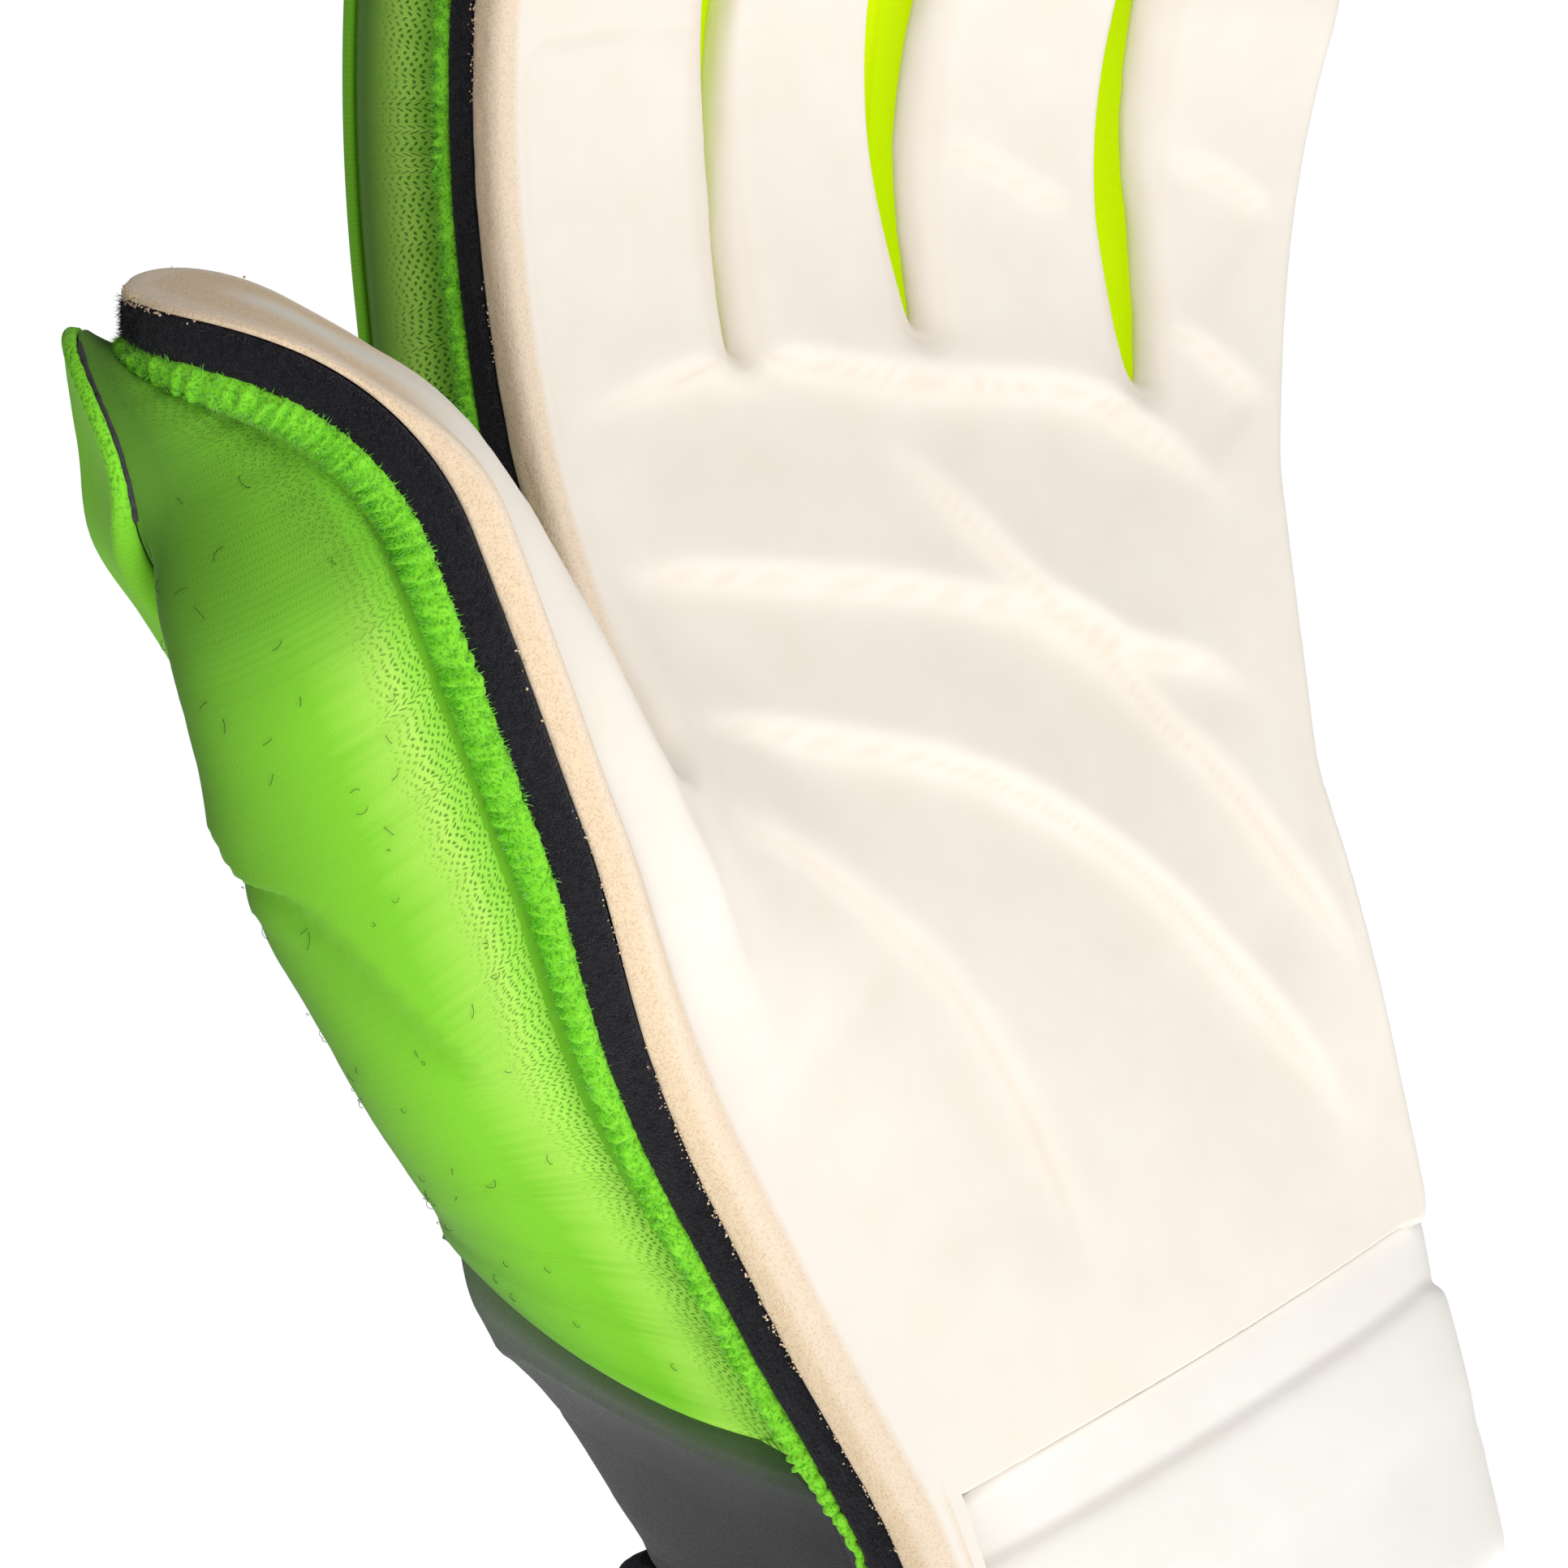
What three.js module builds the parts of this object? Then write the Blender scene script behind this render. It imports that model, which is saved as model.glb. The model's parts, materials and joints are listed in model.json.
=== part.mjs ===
// A left-hand football goalkeeper's glove, held in the form that a hand gives it.
// Every piece is first laid out in a flat hand space: u runs across the hand to the little finger,
// v runs from the wrist to the fingertips and w comes out of the palm. One smooth bend then cups the
// palm, flexes the fingers and folds the thumb, so pieces that stay apart in hand space stay apart.
// The object's own frame has Z along the forearm to the fingertips and the palm facing -Y.
import * as THREE from 'three';

// Driving dimensions, in millimetres
const CUFF_LENGTH = 65;
const SEAM_ALLOWANCE = 3.5;
const LATEX_THICKNESS = 4;
const FOAM_THICKNESS = 3.5;
const FLANGE_THICKNESS = 1.5;
const KNIT_THICKNESS = 1.2;
const BACK_THICKNESS = 3;
const LAYER_GAP = 0.3;
const END_GAP = 0.5;

// How far the shape is bent, in degrees and millimetres
const BEND = {
  wristCurve: -1 / 190,
  palmCurve: 1 / 700,
  palmCurveFullAt: 57,
  curveStraightPast: 60,
  mouthStraightOver: 40,
  flexAngle: 52,
  flexFrom: 88,
  flexLength: 100,
  foldAngle: 56,
  foldShareAtWrist: 0.6,
  foldLineU: -29,
  foldLineLean: 15,
  foldBefore: 6,
  foldAfter: 39,
};

// Heights of the layers in w, from the palm's face to the back of the palm's seam
const PALM_FACE = LATEX_THICKNESS;
const FOAM_FACE = -LAYER_GAP;
const FOAM_BACK = FOAM_FACE - FOAM_THICKNESS;
const FLANGE_FACE = FOAM_BACK - LAYER_GAP;
const FLANGE_BACK = FLANGE_FACE - FLANGE_THICKNESS;

// Seam line of the thumb side and of the little-finger side, from the wrist up
const RADIAL_SEAM = [
  { u: -33.6, v: -17 },
  { u: -39.6, v: 1 },
  { u: -46, v: 17 },
  { u: -56.3, v: 33 },
  { u: -70.4, v: 48 },
  { u: -85.4, v: 64 },
];
const ULNAR_SEAM = [
  { u: 46.7, v: 2.5 },
  { u: 44, v: 17.5 },
  { u: 41.2, v: 35 },
  { u: 39, v: 54 },
];

// Seam lines inside the palm where they cross the wrist, the thumb web and the finger bases
const COLUMNS = [
  { name: 'radial', wristU: -33.6, webU: -85.4, webV: 64, follow: 1, cells: 3 },
  { name: 'thumbInner', wristU: -24, webU: -62, webV: 61, follow: 0.75, cells: 1 },
  { name: 'indexOuter', wristU: -20, webU: -52.5, webV: 61.5, baseU: -54, baseV: 96, follow: 0.6, cells: 3 },
  { name: 'indexInner', wristU: -9, webU: -27.5, webV: 61, baseU: -31, baseV: 101.5, follow: 0.35, cells: 1 },
  { name: 'middleOuter', wristU: -6, webU: -18.5, webV: 60.5, baseU: -21.3, baseV: 101.5, follow: 0.28, cells: 2 },
  { name: 'middleInner', wristU: 6, webU: -3, webV: 60, baseU: -4.7, baseV: 103, follow: 0.15, cells: 1 },
  { name: 'ringOuter', wristU: 10, webU: 5.5, webV: 59.5, baseU: 4.7, baseV: 103, follow: 0.1, cells: 3 },
  { name: 'ringInner', wristU: 25, webU: 23, webV: 57, baseU: 25.3, baseV: 96.5, follow: 0, cells: 1 },
  { name: 'littleOuter', wristU: 30, webU: 30.5, webV: 56, baseU: 34.8, baseV: 95, follow: 0, cells: 2 },
  { name: 'ulnar', wristU: 46.7, webU: 39, webV: 54, baseU: 44.5, baseV: 90, follow: 0, cells: 0 },
];

// The wrist edge of the palm slants, and that of the back of the hand is level
const PALM_WRIST = { radialV: -17, ulnarV: 2.5, tabTo: -35 };
const BACK_WRIST = { radialV: -4, ulnarV: -5, tabTo: null };

// Digits: where the straight sides end, how far each side bows out, the round cap's length, the
// radius and length over which the palm curls back at the tip, and the shift backwards
const DIGITS = [
  { name: 'thumb', from: 'radial', to: 'thumbInner', leftU: -108.4, leftV: 97.7, rightU: -90.2,
    rightV: 111.3, bowLeft: 2, bowRight: 1, cap: 14, curlRadius: 29, curlLength: 36, shrink: 0.74,
    shift: 0, rows: 5 },
  { name: 'index', from: 'indexOuter', to: 'indexInner', leftU: -55, leftV: 165, rightU: -32,
    rightV: 166, bowLeft: -1.3, bowRight: 0, cap: 13.5, curlRadius: 30, curlLength: 24, shrink: 0.78,
    shift: 0, rows: 8 },
  { name: 'middle', from: 'middleOuter', to: 'middleInner', leftU: -21.5, leftV: 176, rightU: -4.5,
    rightV: 176, bowLeft: 0, bowRight: 0.4, cap: 12, curlRadius: 30, curlLength: 24, shrink: 0.78,
    shift: 3, rows: 8 },
  { name: 'ring', from: 'ringOuter', to: 'ringInner', leftU: 9.5, leftV: 168, rightU: 30.5,
    rightV: 167, bowLeft: 0.8, bowRight: -1.2, cap: 12.5, curlRadius: 30, curlLength: 24, shrink: 0.78,
    shift: 0, rows: 7 },
  { name: 'little', from: 'littleOuter', to: 'ulnar', leftU: 41, leftV: 150, rightU: 60.5,
    rightV: 149, bowLeft: 0, bowRight: 1, cap: 12, curlRadius: 28, curlLength: 22, shrink: 0.78,
    shift: 0, rows: 6 },
];
// Bulge of each side wall at mid depth. Two walls meet at a tip, each ending short of half way.
const GUSSET_BULGE = {
  thumb_outer: 6,
  thumb_index: 3,
  index_middle: 2.8,
  middle_ring: 2.8,
  ring_little: 2.8,
  little_outer: 5,
};
const TIP_SHARE = 0.47;

const CAP_ROWS = 2;
const CAP_END = 0.95;
const CAP_POWER = 2.3;
const LOWER_ROWS = 9;
const UPPER_ROWS = 4;
const TAB_ROWS = 2;
const TAB_SHIFT = 3;

// Depth of the hand's hollow at the edge and the rise of the back of the hand over it
const PALM_DEPTH = 26;
const FINGER_DEPTH = 22.5;
const WRIST_DEPTH = 33;
const BACK_RISE = 11;
const WRIST_EXTRA_RISE = 7;
const RISE_RUN = 35;
const THUMB_RISE_SHARE = 0.2;

// The thumb's own directions in the flat pattern, and its depth along that direction
const THUMB_ALONG = { u: -0.588, v: 0.809 };
const THUMB_ACROSS = { u: 0.809, v: 0.588 };
const THUMB_DEPTHS = [
  { at: 8, value: 41 },
  { at: 19, value: 42 },
  { at: 27, value: 43.5 },
  { at: 34, value: 46.5 },
  { at: 42, value: 46 },
  { at: 50, value: 41 },
  { at: 60, value: 34 },
  { at: 80, value: 30 },
  { at: 102, value: 28 },
  { at: 134, value: 27 },
  { at: 152, value: 25 },
];
// On the thumb side the gusset wraps round to the back, so the back's edge is drawn in there
const DRAWN_IN = [
  { at: -4, value: 5 },
  { at: 5, value: 4 },
  { at: 14, value: 1 },
  { at: 30, value: 7 },
];
const THUMB_WRAP = { full: 7, from: -6, run: 28, tipAt: 150, tipRun: 25 };
const THUMB_SHARE = { from: 6, run: 36 };
const TIP_THINNING = 0.5;
// Between the fingers the latex rolls over the foam's edge and the foam stops at the seam line
const ROLLED_SIDES = ['index_middle', 'middle_ring', 'ring_little'];
const ROLLED_FOAM_REACH = 0.2;
const ROLLED_LIP = 3;

// The wrist's section: a round-cornered loop with its own half sizes and squareness each way.
// It turns into a plain oval at the mouth.
const WRIST_CENTRE = { u: 7.5, w: -26 };
const WRIST_LOOP = { ulnar: 47, radial: 41, front: 26.4, back: 30 };
const MOUTH_LOOP = { ulnar: 42, radial: 42, front: 28, back: 28 };
const WRIST_SQUARENESS = { frontUlnar: 6, frontRadial: 4, backUlnar: 2.4, backRadial: 7 };
const MOUTH_SQUARENESS = { frontUlnar: 2.2, frontRadial: 2.2, backUlnar: 2.2, backRadial: 2.2 };
const MOUTH_BLEND = { from: -22, length: 43 };
const CUFF_WALL = 2.5;
const CUFF_ARC = { from: 145, to: -205, steps: 35 };
const CUFF_ROWS = 5;
// Under the plain panel the cuff's upper edge drops, between these angles of the loop
const CUFF_DROP = { front: 17, back: 9.5, from: 133, to: 237, run: 10 };

// The strap's section: how far below its top edge, and how far out from the cuff
const STRAP_SECTION = [
  { drop: 0, out: 0.8 },
  { drop: 0, out: 2.8 },
  { drop: 7.5, out: 2.8 },
  { drop: 9, out: 3.8 },
  { drop: 24, out: 3.8 },
  { drop: 38.5, out: 3.8 },
  { drop: 40, out: 3 },
  { drop: 40, out: 0.8 },
  { drop: 26, out: 0.8 },
  { drop: 12, out: 0.8 },
];
const STRAP_CAPS = [
  [0, 9, 2, 1],
  [9, 8, 3, 2],
  [8, 7, 4, 3],
  [7, 6, 5, 4],
];
const STRAP_ARC = { from: 145, to: -135, steps: 28 };
const CLOSURE_SECTION = [
  { drop: 9.5, out: 4.6 },
  { drop: 9.5, out: 6.3 },
  { drop: 36, out: 6.3 },
  { drop: 36, out: 4.6 },
];
const CLOSURE_ARC = { from: -85, to: -125, steps: 4 };

// The thumb's gusset ends on a slant: its first rows meet the back's seam further up than their own
// row. The plain panel between it and the cuff follows, from its upper to its lower edge. A place
// on a seam counts the net's rows from the wrist, and a negative one lies below the first row.
const SLANT = { fromRow: 1, toRow: 5, backFrom: 3.9 };
const THUMB_GUSSET_END = { palmRow: 0.93, backRow: 3.85 };
const WRIST_PANEL = [
  { palmRow: 0.86, backRow: 3.78 },
  { palmRow: 0.5, backRow: 2.8 },
  { palmRow: 0, backRow: 1.5 },
  { palmRow: -1, backRow: 0 },
  { palmRow: -1.5, backRow: -0.6 },
];
const WRIST_PANEL_BULGE = 5;

const COLOURS = {
  latex: { color: 0xf5eee4, roughness: 0.75 },
  foam: { color: 0x1a191e, roughness: 1 },
  knit: { color: 0x78c81e, roughness: 0.8 },
  wrist: { color: 0x505055, roughness: 0.6 },
  cuff: { color: 0x1e1c28, roughness: 0.85 },
  strap: { color: 0xfaf9f6, roughness: 0.6 },
};

// Plain helpers

const RADIANS = Math.PI / 180;
const clamp = (x, low, high) => Math.min(high, Math.max(low, x));
const mix = (a, b, t) => a + (b - a) * t;
function ease(t) {
  const x = clamp(t, 0, 1);
  return x * x * (3 - 2 * x);
}

// Means of the cosine and the sine of an angle that eases in from 0 to full over 0 to t
function turnMeans(angle, t) {
  const steps = 14;
  let cosine = 0;
  let sine = 0;
  for (let i = 0; i < steps; i += 1) {
    const a = angle * ease((t * (i + 0.5)) / steps);
    cosine += Math.cos(a) / steps;
    sine += Math.sin(a) / steps;
  }
  return { cosine, sine };
}

// Hand space to the object's frame: cup across, flex the fingers, fold the thumb side forward
function bend(u, v, w, isThumb) {
  const wristCurve = BEND.wristCurve * ease((v + CUFF_LENGTH) / BEND.mouthStraightOver);
  const curve = mix(wristCurve, BEND.palmCurve, ease((v + 5) / BEND.palmCurveFullAt));
  const k = Math.abs(curve) < 1e-5 ? 1e-5 : curve;
  const inner = clamp(u, -BEND.curveStraightPast, BEND.curveStraightPast);
  const across = Math.sin(k * inner) / k + (u - inner) * Math.cos(k * inner);
  const front = w + (1 - Math.cos(k * inner)) / k + (u - inner) * Math.sin(k * inner);
  let z = v;
  let y = front;
  const t = (v - BEND.flexFrom) / BEND.flexLength;
  if (t > 0 && !isThumb) {
    const angle = BEND.flexAngle * RADIANS;
    const means = turnMeans(angle, t);
    const end = angle * ease(t);
    z = BEND.flexFrom + means.cosine * t * BEND.flexLength - front * Math.sin(end);
    y = means.sine * t * BEND.flexLength + front * Math.cos(end);
  }
  const lean = BEND.foldLineLean * RADIANS;
  const along = (across - BEND.foldLineU) * -Math.sin(lean) + z * Math.cos(lean);
  const past = (across - BEND.foldLineU) * -Math.cos(lean) - z * Math.sin(lean);
  const share = BEND.foldShareAtWrist * ease((along + 75) / 50)
    + (1 - BEND.foldShareAtWrist) * ease((along + 10) / 60);
  const run = BEND.foldBefore + BEND.foldAfter;
  const q = (past + BEND.foldBefore) / run;
  let side = past;
  let out = y;
  if (q > 0) {
    const angle = BEND.foldAngle * RADIANS * share;
    const means = turnMeans(angle, Math.min(q, 1));
    const end = angle * ease(q);
    const over = Math.max(q - 1, 0) * run;
    const arc = Math.min(q, 1) * run;
    side = -BEND.foldBefore + means.cosine * arc + over * Math.cos(angle) - y * Math.sin(end);
    out = means.sine * arc + over * Math.sin(angle) + y * Math.cos(end);
  }
  return new THREE.Vector3(
    BEND.foldLineU - along * Math.sin(lean) - side * Math.cos(lean) - WRIST_CENTRE.u,
    -out + WRIST_CENTRE.w,
    along * Math.cos(lean) - side * Math.sin(lean) + CUFF_LENGTH,
  );
}

// The pattern: one net of four-sided cells shared by the layers

function splineThrough(rows) {
  const curve = new THREE.SplineCurve(rows.map((row) => new THREE.Vector2(row.u, row.v)));
  return (s) => curve.getPoint(clamp(s, 0, 1));
}

function wristPoint(column, wrist) {
  const first = COLUMNS[0].wristU;
  const last = COLUMNS[COLUMNS.length - 1].wristU;
  const t = (column.wristU - first) / (last - first);
  return { u: column.wristU, v: mix(wrist.radialV, wrist.ulnarV, t) };
}

// A point of one seam column between the wrist (s = 0) and the thumb web (s = 1)
function lowerPoint(column, s, wrist) {
  const start = wristPoint(column, wrist);
  const radial = splineThrough(RADIAL_SEAM)(s);
  const ulnar = splineThrough(ULNAR_SEAM)(s);
  const radialOff = radial.x - mix(RADIAL_SEAM[0].u, RADIAL_SEAM[RADIAL_SEAM.length - 1].u, s);
  const radialRise = radial.y - mix(RADIAL_SEAM[0].v, RADIAL_SEAM[RADIAL_SEAM.length - 1].v, s);
  const ulnarOff = ulnar.x - mix(ULNAR_SEAM[0].u, ULNAR_SEAM[ULNAR_SEAM.length - 1].u, s);
  const ulnarShare = column.name === 'ulnar' ? 1 : 0;
  return {
    u: mix(start.u, column.webU, s) + radialOff * column.follow + ulnarOff * ulnarShare,
    v: mix(start.v, column.webV, s) + radialRise * column.follow,
  };
}

function upperPoint(column, s) {
  return { u: mix(column.webU, column.baseU, s), v: mix(column.webV, column.baseV, s) };
}

function digitAxis(digit) {
  const du = digit.rightU - digit.leftU;
  const dv = digit.rightV - digit.leftV;
  const width = Math.hypot(du, dv);
  return { u: -dv / width, v: du / width, width };
}

// Straight rows of a digit, then the rows of its round cap
function digitPoint(digit, row, across, base) {
  const axis = digitAxis(digit);
  const side = across * 2 - 1;
  if (row <= digit.rows) {
    const r = row / digit.rows;
    const leftBow = digit.bowLeft * 4 * r * (1 - r);
    const rightBow = digit.bowRight * 4 * r * (1 - r);
    const left = { u: mix(base.left.u, digit.leftU, r) - leftBow, v: mix(base.left.v, digit.leftV, r) };
    const right = { u: mix(base.right.u, digit.rightU, r) + rightBow, v: mix(base.right.v, digit.rightV, r) };
    const skew = (1 - r) * (base.at.v - mix(base.left.v, base.right.v, across));
    return { u: mix(left.u, right.u, across), v: mix(left.v, right.v, across) + skew };
  }
  const q = CAP_END * Math.sin(((row - digit.rows) / CAP_ROWS) * Math.PI * 0.5);
  const half = 0.5 * axis.width * (1 - q ** CAP_POWER) ** (1 / CAP_POWER);
  const rise = digit.cap * q * (1 + 0.05 * q * (1 - side * side));
  const centre = { u: (digit.leftU + digit.rightU) / 2, v: (digit.leftV + digit.rightV) / 2 };
  return {
    u: centre.u + axis.v * half * side + axis.u * rise,
    v: centre.v - axis.u * half * side + axis.v * rise,
  };
}

function makeNet(wrist) {
  const points = [];
  const cells = [];
  const ids = new Map();
  const add = (key, point, digit) => {
    if (!ids.has(key)) {
      ids.set(key, points.length);
      points.push({ u: point.u, v: point.v, digit });
    }
    return ids.get(key);
  };
  const starts = {};
  let total = 0;
  COLUMNS.forEach((column) => {
    starts[column.name] = total;
    total += column.cells;
  });
  const blend = (k, part, make) => {
    const a = make(COLUMNS[k]);
    if (part === 0) return a;
    const b = make(COLUMNS[k + 1]);
    return { u: mix(a.u, b.u, part), v: mix(a.v, b.v, part) };
  };
  const eachColumn = (firstName, lastName, visit) => {
    const first = COLUMNS.findIndex((c) => c.name === firstName);
    const last = COLUMNS.findIndex((c) => c.name === lastName);
    for (let k = first; k < last; k += 1) {
      for (let i = 0; i < COLUMNS[k].cells; i += 1) visit(k, i / COLUMNS[k].cells, starts[COLUMNS[k].name] + i);
    }
    visit(last, 0, starts[lastName]);
  };
  const rowOf = (firstName, lastName, key, make, digit) => {
    const row = [];
    eachColumn(firstName, lastName, (k, part, j) => row.push(add(`${key}:${j}`, blend(k, part, make), digit)));
    return row;
  };
  const stitchRows = (low, high) => {
    for (let j = 0; j + 1 < low.length; j += 1) cells.push([low[j], low[j + 1], high[j + 1], high[j]]);
  };

  const lower = [];
  for (let i = 0; i <= LOWER_ROWS; i += 1) {
    const s = i / LOWER_ROWS;
    lower.push(rowOf('radial', 'ulnar', `palm${i}`, (c) => lowerPoint(c, s, wrist), null));
    if (i > 0) stitchRows(lower[i - 1], lower[i]);
  }
  const webRow = lower[LOWER_ROWS];
  const fromIndex = webRow.slice(starts.indexOuter);
  const upper = [fromIndex];
  for (let i = 1; i <= UPPER_ROWS; i += 1) {
    const s = i / UPPER_ROWS;
    upper.push(rowOf('indexOuter', 'ulnar', `upper${i}`, (c) => upperPoint(c, s), null));
    stitchRows(upper[i - 1], upper[i]);
  }
  const baseRow = upper[UPPER_ROWS];

  const tab = [];
  if (wrist.tabTo !== null) {
    let previous = [lower[0][0], lower[0][1]];
    for (let i = 1; i <= TAB_ROWS; i += 1) {
      const t = i / TAB_ROWS;
      const v = mix(wrist.radialV, wrist.tabTo, t);
      const left = add(`tab${i}:0`, { u: RADIAL_SEAM[0].u + TAB_SHIFT * t, v }, null);
      const right = add(`tab${i}:1`, { u: points[lower[0][1]].u + 1.5 * t, v: v + 0.8 }, null);
      cells.push([left, right, previous[1], previous[0]]);
      previous = [left, right];
      tab.push(previous);
    }
  }

  const sides = {};
  DIGITS.forEach((digit) => {
    const isThumb = digit.name === 'thumb';
    const source = isThumb ? webRow : baseRow;
    const offset = isThumb ? 0 : starts.indexOuter;
    const base = source.slice(starts[digit.from] - offset, starts[digit.to] - offset + 1);
    const ends = { left: points[base[0]], right: points[base[base.length - 1]] };
    const rows = [base];
    for (let i = 1; i <= digit.rows + CAP_ROWS; i += 1) {
      const row = base.map((id, j) => {
        const across = j / (base.length - 1);
        const at = digitPoint(digit, i, across, { ...ends, at: points[id] });
        return add(`${digit.name}${i}:${j}`, at, digit);
      });
      stitchRows(rows[i - 1], row);
      rows.push(row);
    }
    const last = rows[rows.length - 1];
    sides[digit.name] = {
      up: rows.slice(1).map((row) => row[0]),
      top: last.slice(1, -1),
      down: rows.slice(1).map((row) => row[row.length - 1]).reverse(),
    };
  });

  const line = [];
  const push = (ids2, digit, part) => ids2.forEach((id) => line.push({ id, digit, part }));
  push([...tab].reverse().map((pair) => pair[0]), null, 'thumb_outer');
  push(lower.map((row) => row[0]), null, 'thumb_outer');
  const gussets = ['thumb_outer', 'thumb_index', 'index_middle', 'middle_ring', 'ring_little', 'little_outer'];
  DIGITS.forEach((digit, n) => {
    const side = sides[digit.name];
    const half = Math.ceil(side.top.length / 2);
    push(side.up, digit, gussets[n]);
    push(side.top.slice(0, half), digit, gussets[n]);
    line[line.length - 1].tip = true;
    push(side.top.slice(half), digit, gussets[n + 1]);
    push(side.down, digit, gussets[n + 1]);
    if (digit.name === 'thumb') {
      push([webRow[starts.thumbInner]], digit, gussets[n + 1]);
      push(upper.slice(0, -1).map((row) => row[0]), null, gussets[n + 1]);
      push([baseRow[0]], null, gussets[n + 1]);
    } else if (digit.name !== 'little') {
      const next = DIGITS[n + 1];
      push([baseRow[starts[digit.to] - starts.indexOuter]], digit, gussets[n + 1]);
      push([baseRow[starts[next.from] - starts.indexOuter]], next, gussets[n + 1]);
    } else {
      push([baseRow[baseRow.length - 1]], null, gussets[n + 1]);
      push(upper.slice(0, -1).map((row) => row[row.length - 1]).reverse(), null, gussets[n + 1]);
      push(lower.slice(0, -1).map((row) => row[row.length - 1]).reverse(), null, gussets[n + 1]);
    }
  });

  // The ring of cells outside the seam line, one seam allowance wide
  line.forEach((station, i) => {
    const here = points[station.id];
    const before = points[line[Math.max(i - 1, 0)].id];
    const after = points[line[Math.min(i + 1, line.length - 1)].id];
    const inDir = new THREE.Vector2(here.u - before.u, here.v - before.v).normalize();
    const outDir = new THREE.Vector2(after.u - here.u, after.v - here.v).normalize();
    if (i === 0) inDir.copy(outDir);
    if (i === line.length - 1) outDir.copy(inDir);
    const normal = new THREE.Vector2(-(inDir.y + outDir.y), inDir.x + outDir.x).normalize();
    const halfCos = clamp(Math.sqrt((1 + inDir.dot(outDir)) / 2), 0.72, 1);
    const reach = SEAM_ALLOWANCE / halfCos;
    station.normal = { u: normal.x, v: normal.y };
    station.outer = points.length;
    points.push({
      u: here.u + normal.x * reach,
      v: here.v + normal.y * reach,
      digit: station.digit,
      isRolled: ROLLED_SIDES.includes(station.part),
    });
    if (i > 0) cells.push([line[i - 1].outer, line[i - 1].id, station.id, station.outer]);
  });
  return { points, cells, line };
}

// How far a point lies past the start of its digit's curl
function pastCurl(point) {
  const digit = point.digit;
  if (!digit) return 0;
  const axis = digitAxis(digit);
  const centreU = (digit.leftU + digit.rightU) / 2;
  const centreV = (digit.leftV + digit.rightV) / 2;
  const end = centreU * axis.u + centreV * axis.v + digit.cap + SEAM_ALLOWANCE;
  return Math.max(0, point.u * axis.u + point.v * axis.v - (end - digit.curlLength));
}

const isThumbPoint = (point) => Boolean(point.digit) && point.digit.name === 'thumb';
const thumbAlong = (p) => p.u * THUMB_ALONG.u + p.v * THUMB_ALONG.v;
const thumbAcross = (p) => p.u * THUMB_ACROSS.u + p.v * THUMB_ACROSS.v;

// A value read from a table of rows, straight between them
function valueAt(rows, at) {
  let { value } = rows[0];
  for (let i = 0; i + 1 < rows.length; i += 1) {
    const t = clamp((at - rows[i].at) / (rows[i + 1].at - rows[i].at), 0, 1);
    if (t > 0) value = mix(rows[i].value, rows[i + 1].value, t);
  }
  return value;
}

// How far the back's edge is drawn in on the thumb side
function wrapAt(point) {
  const side = ease((THUMB_WRAP.from - thumbAcross(point)) / THUMB_WRAP.run);
  const tip = ease((THUMB_WRAP.tipAt - thumbAlong(point)) / THUMB_WRAP.tipRun);
  return valueAt(DRAWN_IN, point.v) * side * tip;
}

// The digit's shift backwards, which eases in above the finger's base
function shiftAt(point) {
  return point.digit ? point.digit.shift * ease((point.v - 100) / 45) : 0;
}

// A point on the palm's side of the glove, whose layers curl back together at each tip
function onPalm(point, w) {
  let { u, v } = point;
  let height = w;
  const over = pastCurl(point);
  if (over > 0) {
    const axis = digitAxis(point.digit);
    const angle = over / point.digit.curlRadius;
    const run = (point.digit.curlRadius + w) * Math.sin(angle) - over;
    height = (point.digit.curlRadius + w) * Math.cos(angle) - point.digit.curlRadius;
    u += axis.u * run;
    v += axis.v * run;
  }
  return { u, v, w: height - shiftAt(point), isThumb: isThumbPoint(point) };
}

// A point on the back of the hand, whose digits end a little short of the palm's
function onBack(point, w) {
  let { u, v } = point;
  const over = pastCurl(point);
  if (over > 0) {
    const axis = digitAxis(point.digit);
    u -= axis.u * over * (1 - point.digit.shrink);
    v -= axis.v * over * (1 - point.digit.shrink);
  }
  const drawnIn = wrapAt(point);
  u += THUMB_ACROSS.u * drawnIn;
  v += THUMB_ACROSS.v * drawnIn;
  return { u, v, w: w - shiftAt(point), isThumb: isThumbPoint(point) };
}

// 1 on the thumb side of the hand, falling to 0 towards the middle
function thumbShare(point) {
  return ease((THUMB_SHARE.from - thumbAcross(point)) / THUMB_SHARE.run);
}

function edgeDepth(point) {
  const palm = mix(WRIST_DEPTH, PALM_DEPTH, ease(point.v / 50));
  const hand = mix(palm, FINGER_DEPTH, ease((point.v - 85) / 30));
  return mix(hand, valueAt(THUMB_DEPTHS, thumbAlong(point)), thumbShare(point));
}

function distanceToLine(point, outline) {
  const p = new THREE.Vector2(point.u, point.v);
  let best = Infinity;
  for (let i = 0; i + 1 < outline.length; i += 1) {
    const a = outline[i];
    const ab = outline[i + 1].clone().sub(a);
    const t = clamp(p.clone().sub(a).dot(ab) / Math.max(ab.lengthSq(), 1e-9), 0, 1);
    best = Math.min(best, a.clone().add(ab.multiplyScalar(t)).distanceTo(p));
  }
  return best;
}

function backRise(point, outline) {
  const d = clamp(distanceToLine(point, outline) / RISE_RUN, 0, 1);
  const height = BACK_RISE + WRIST_EXTRA_RISE * ease((30 - point.v) / 40);
  return height * (1 - (1 - d) ** 2) * mix(1, THUMB_RISE_SHARE, thumbShare(point));
}

// Meshes

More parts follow.
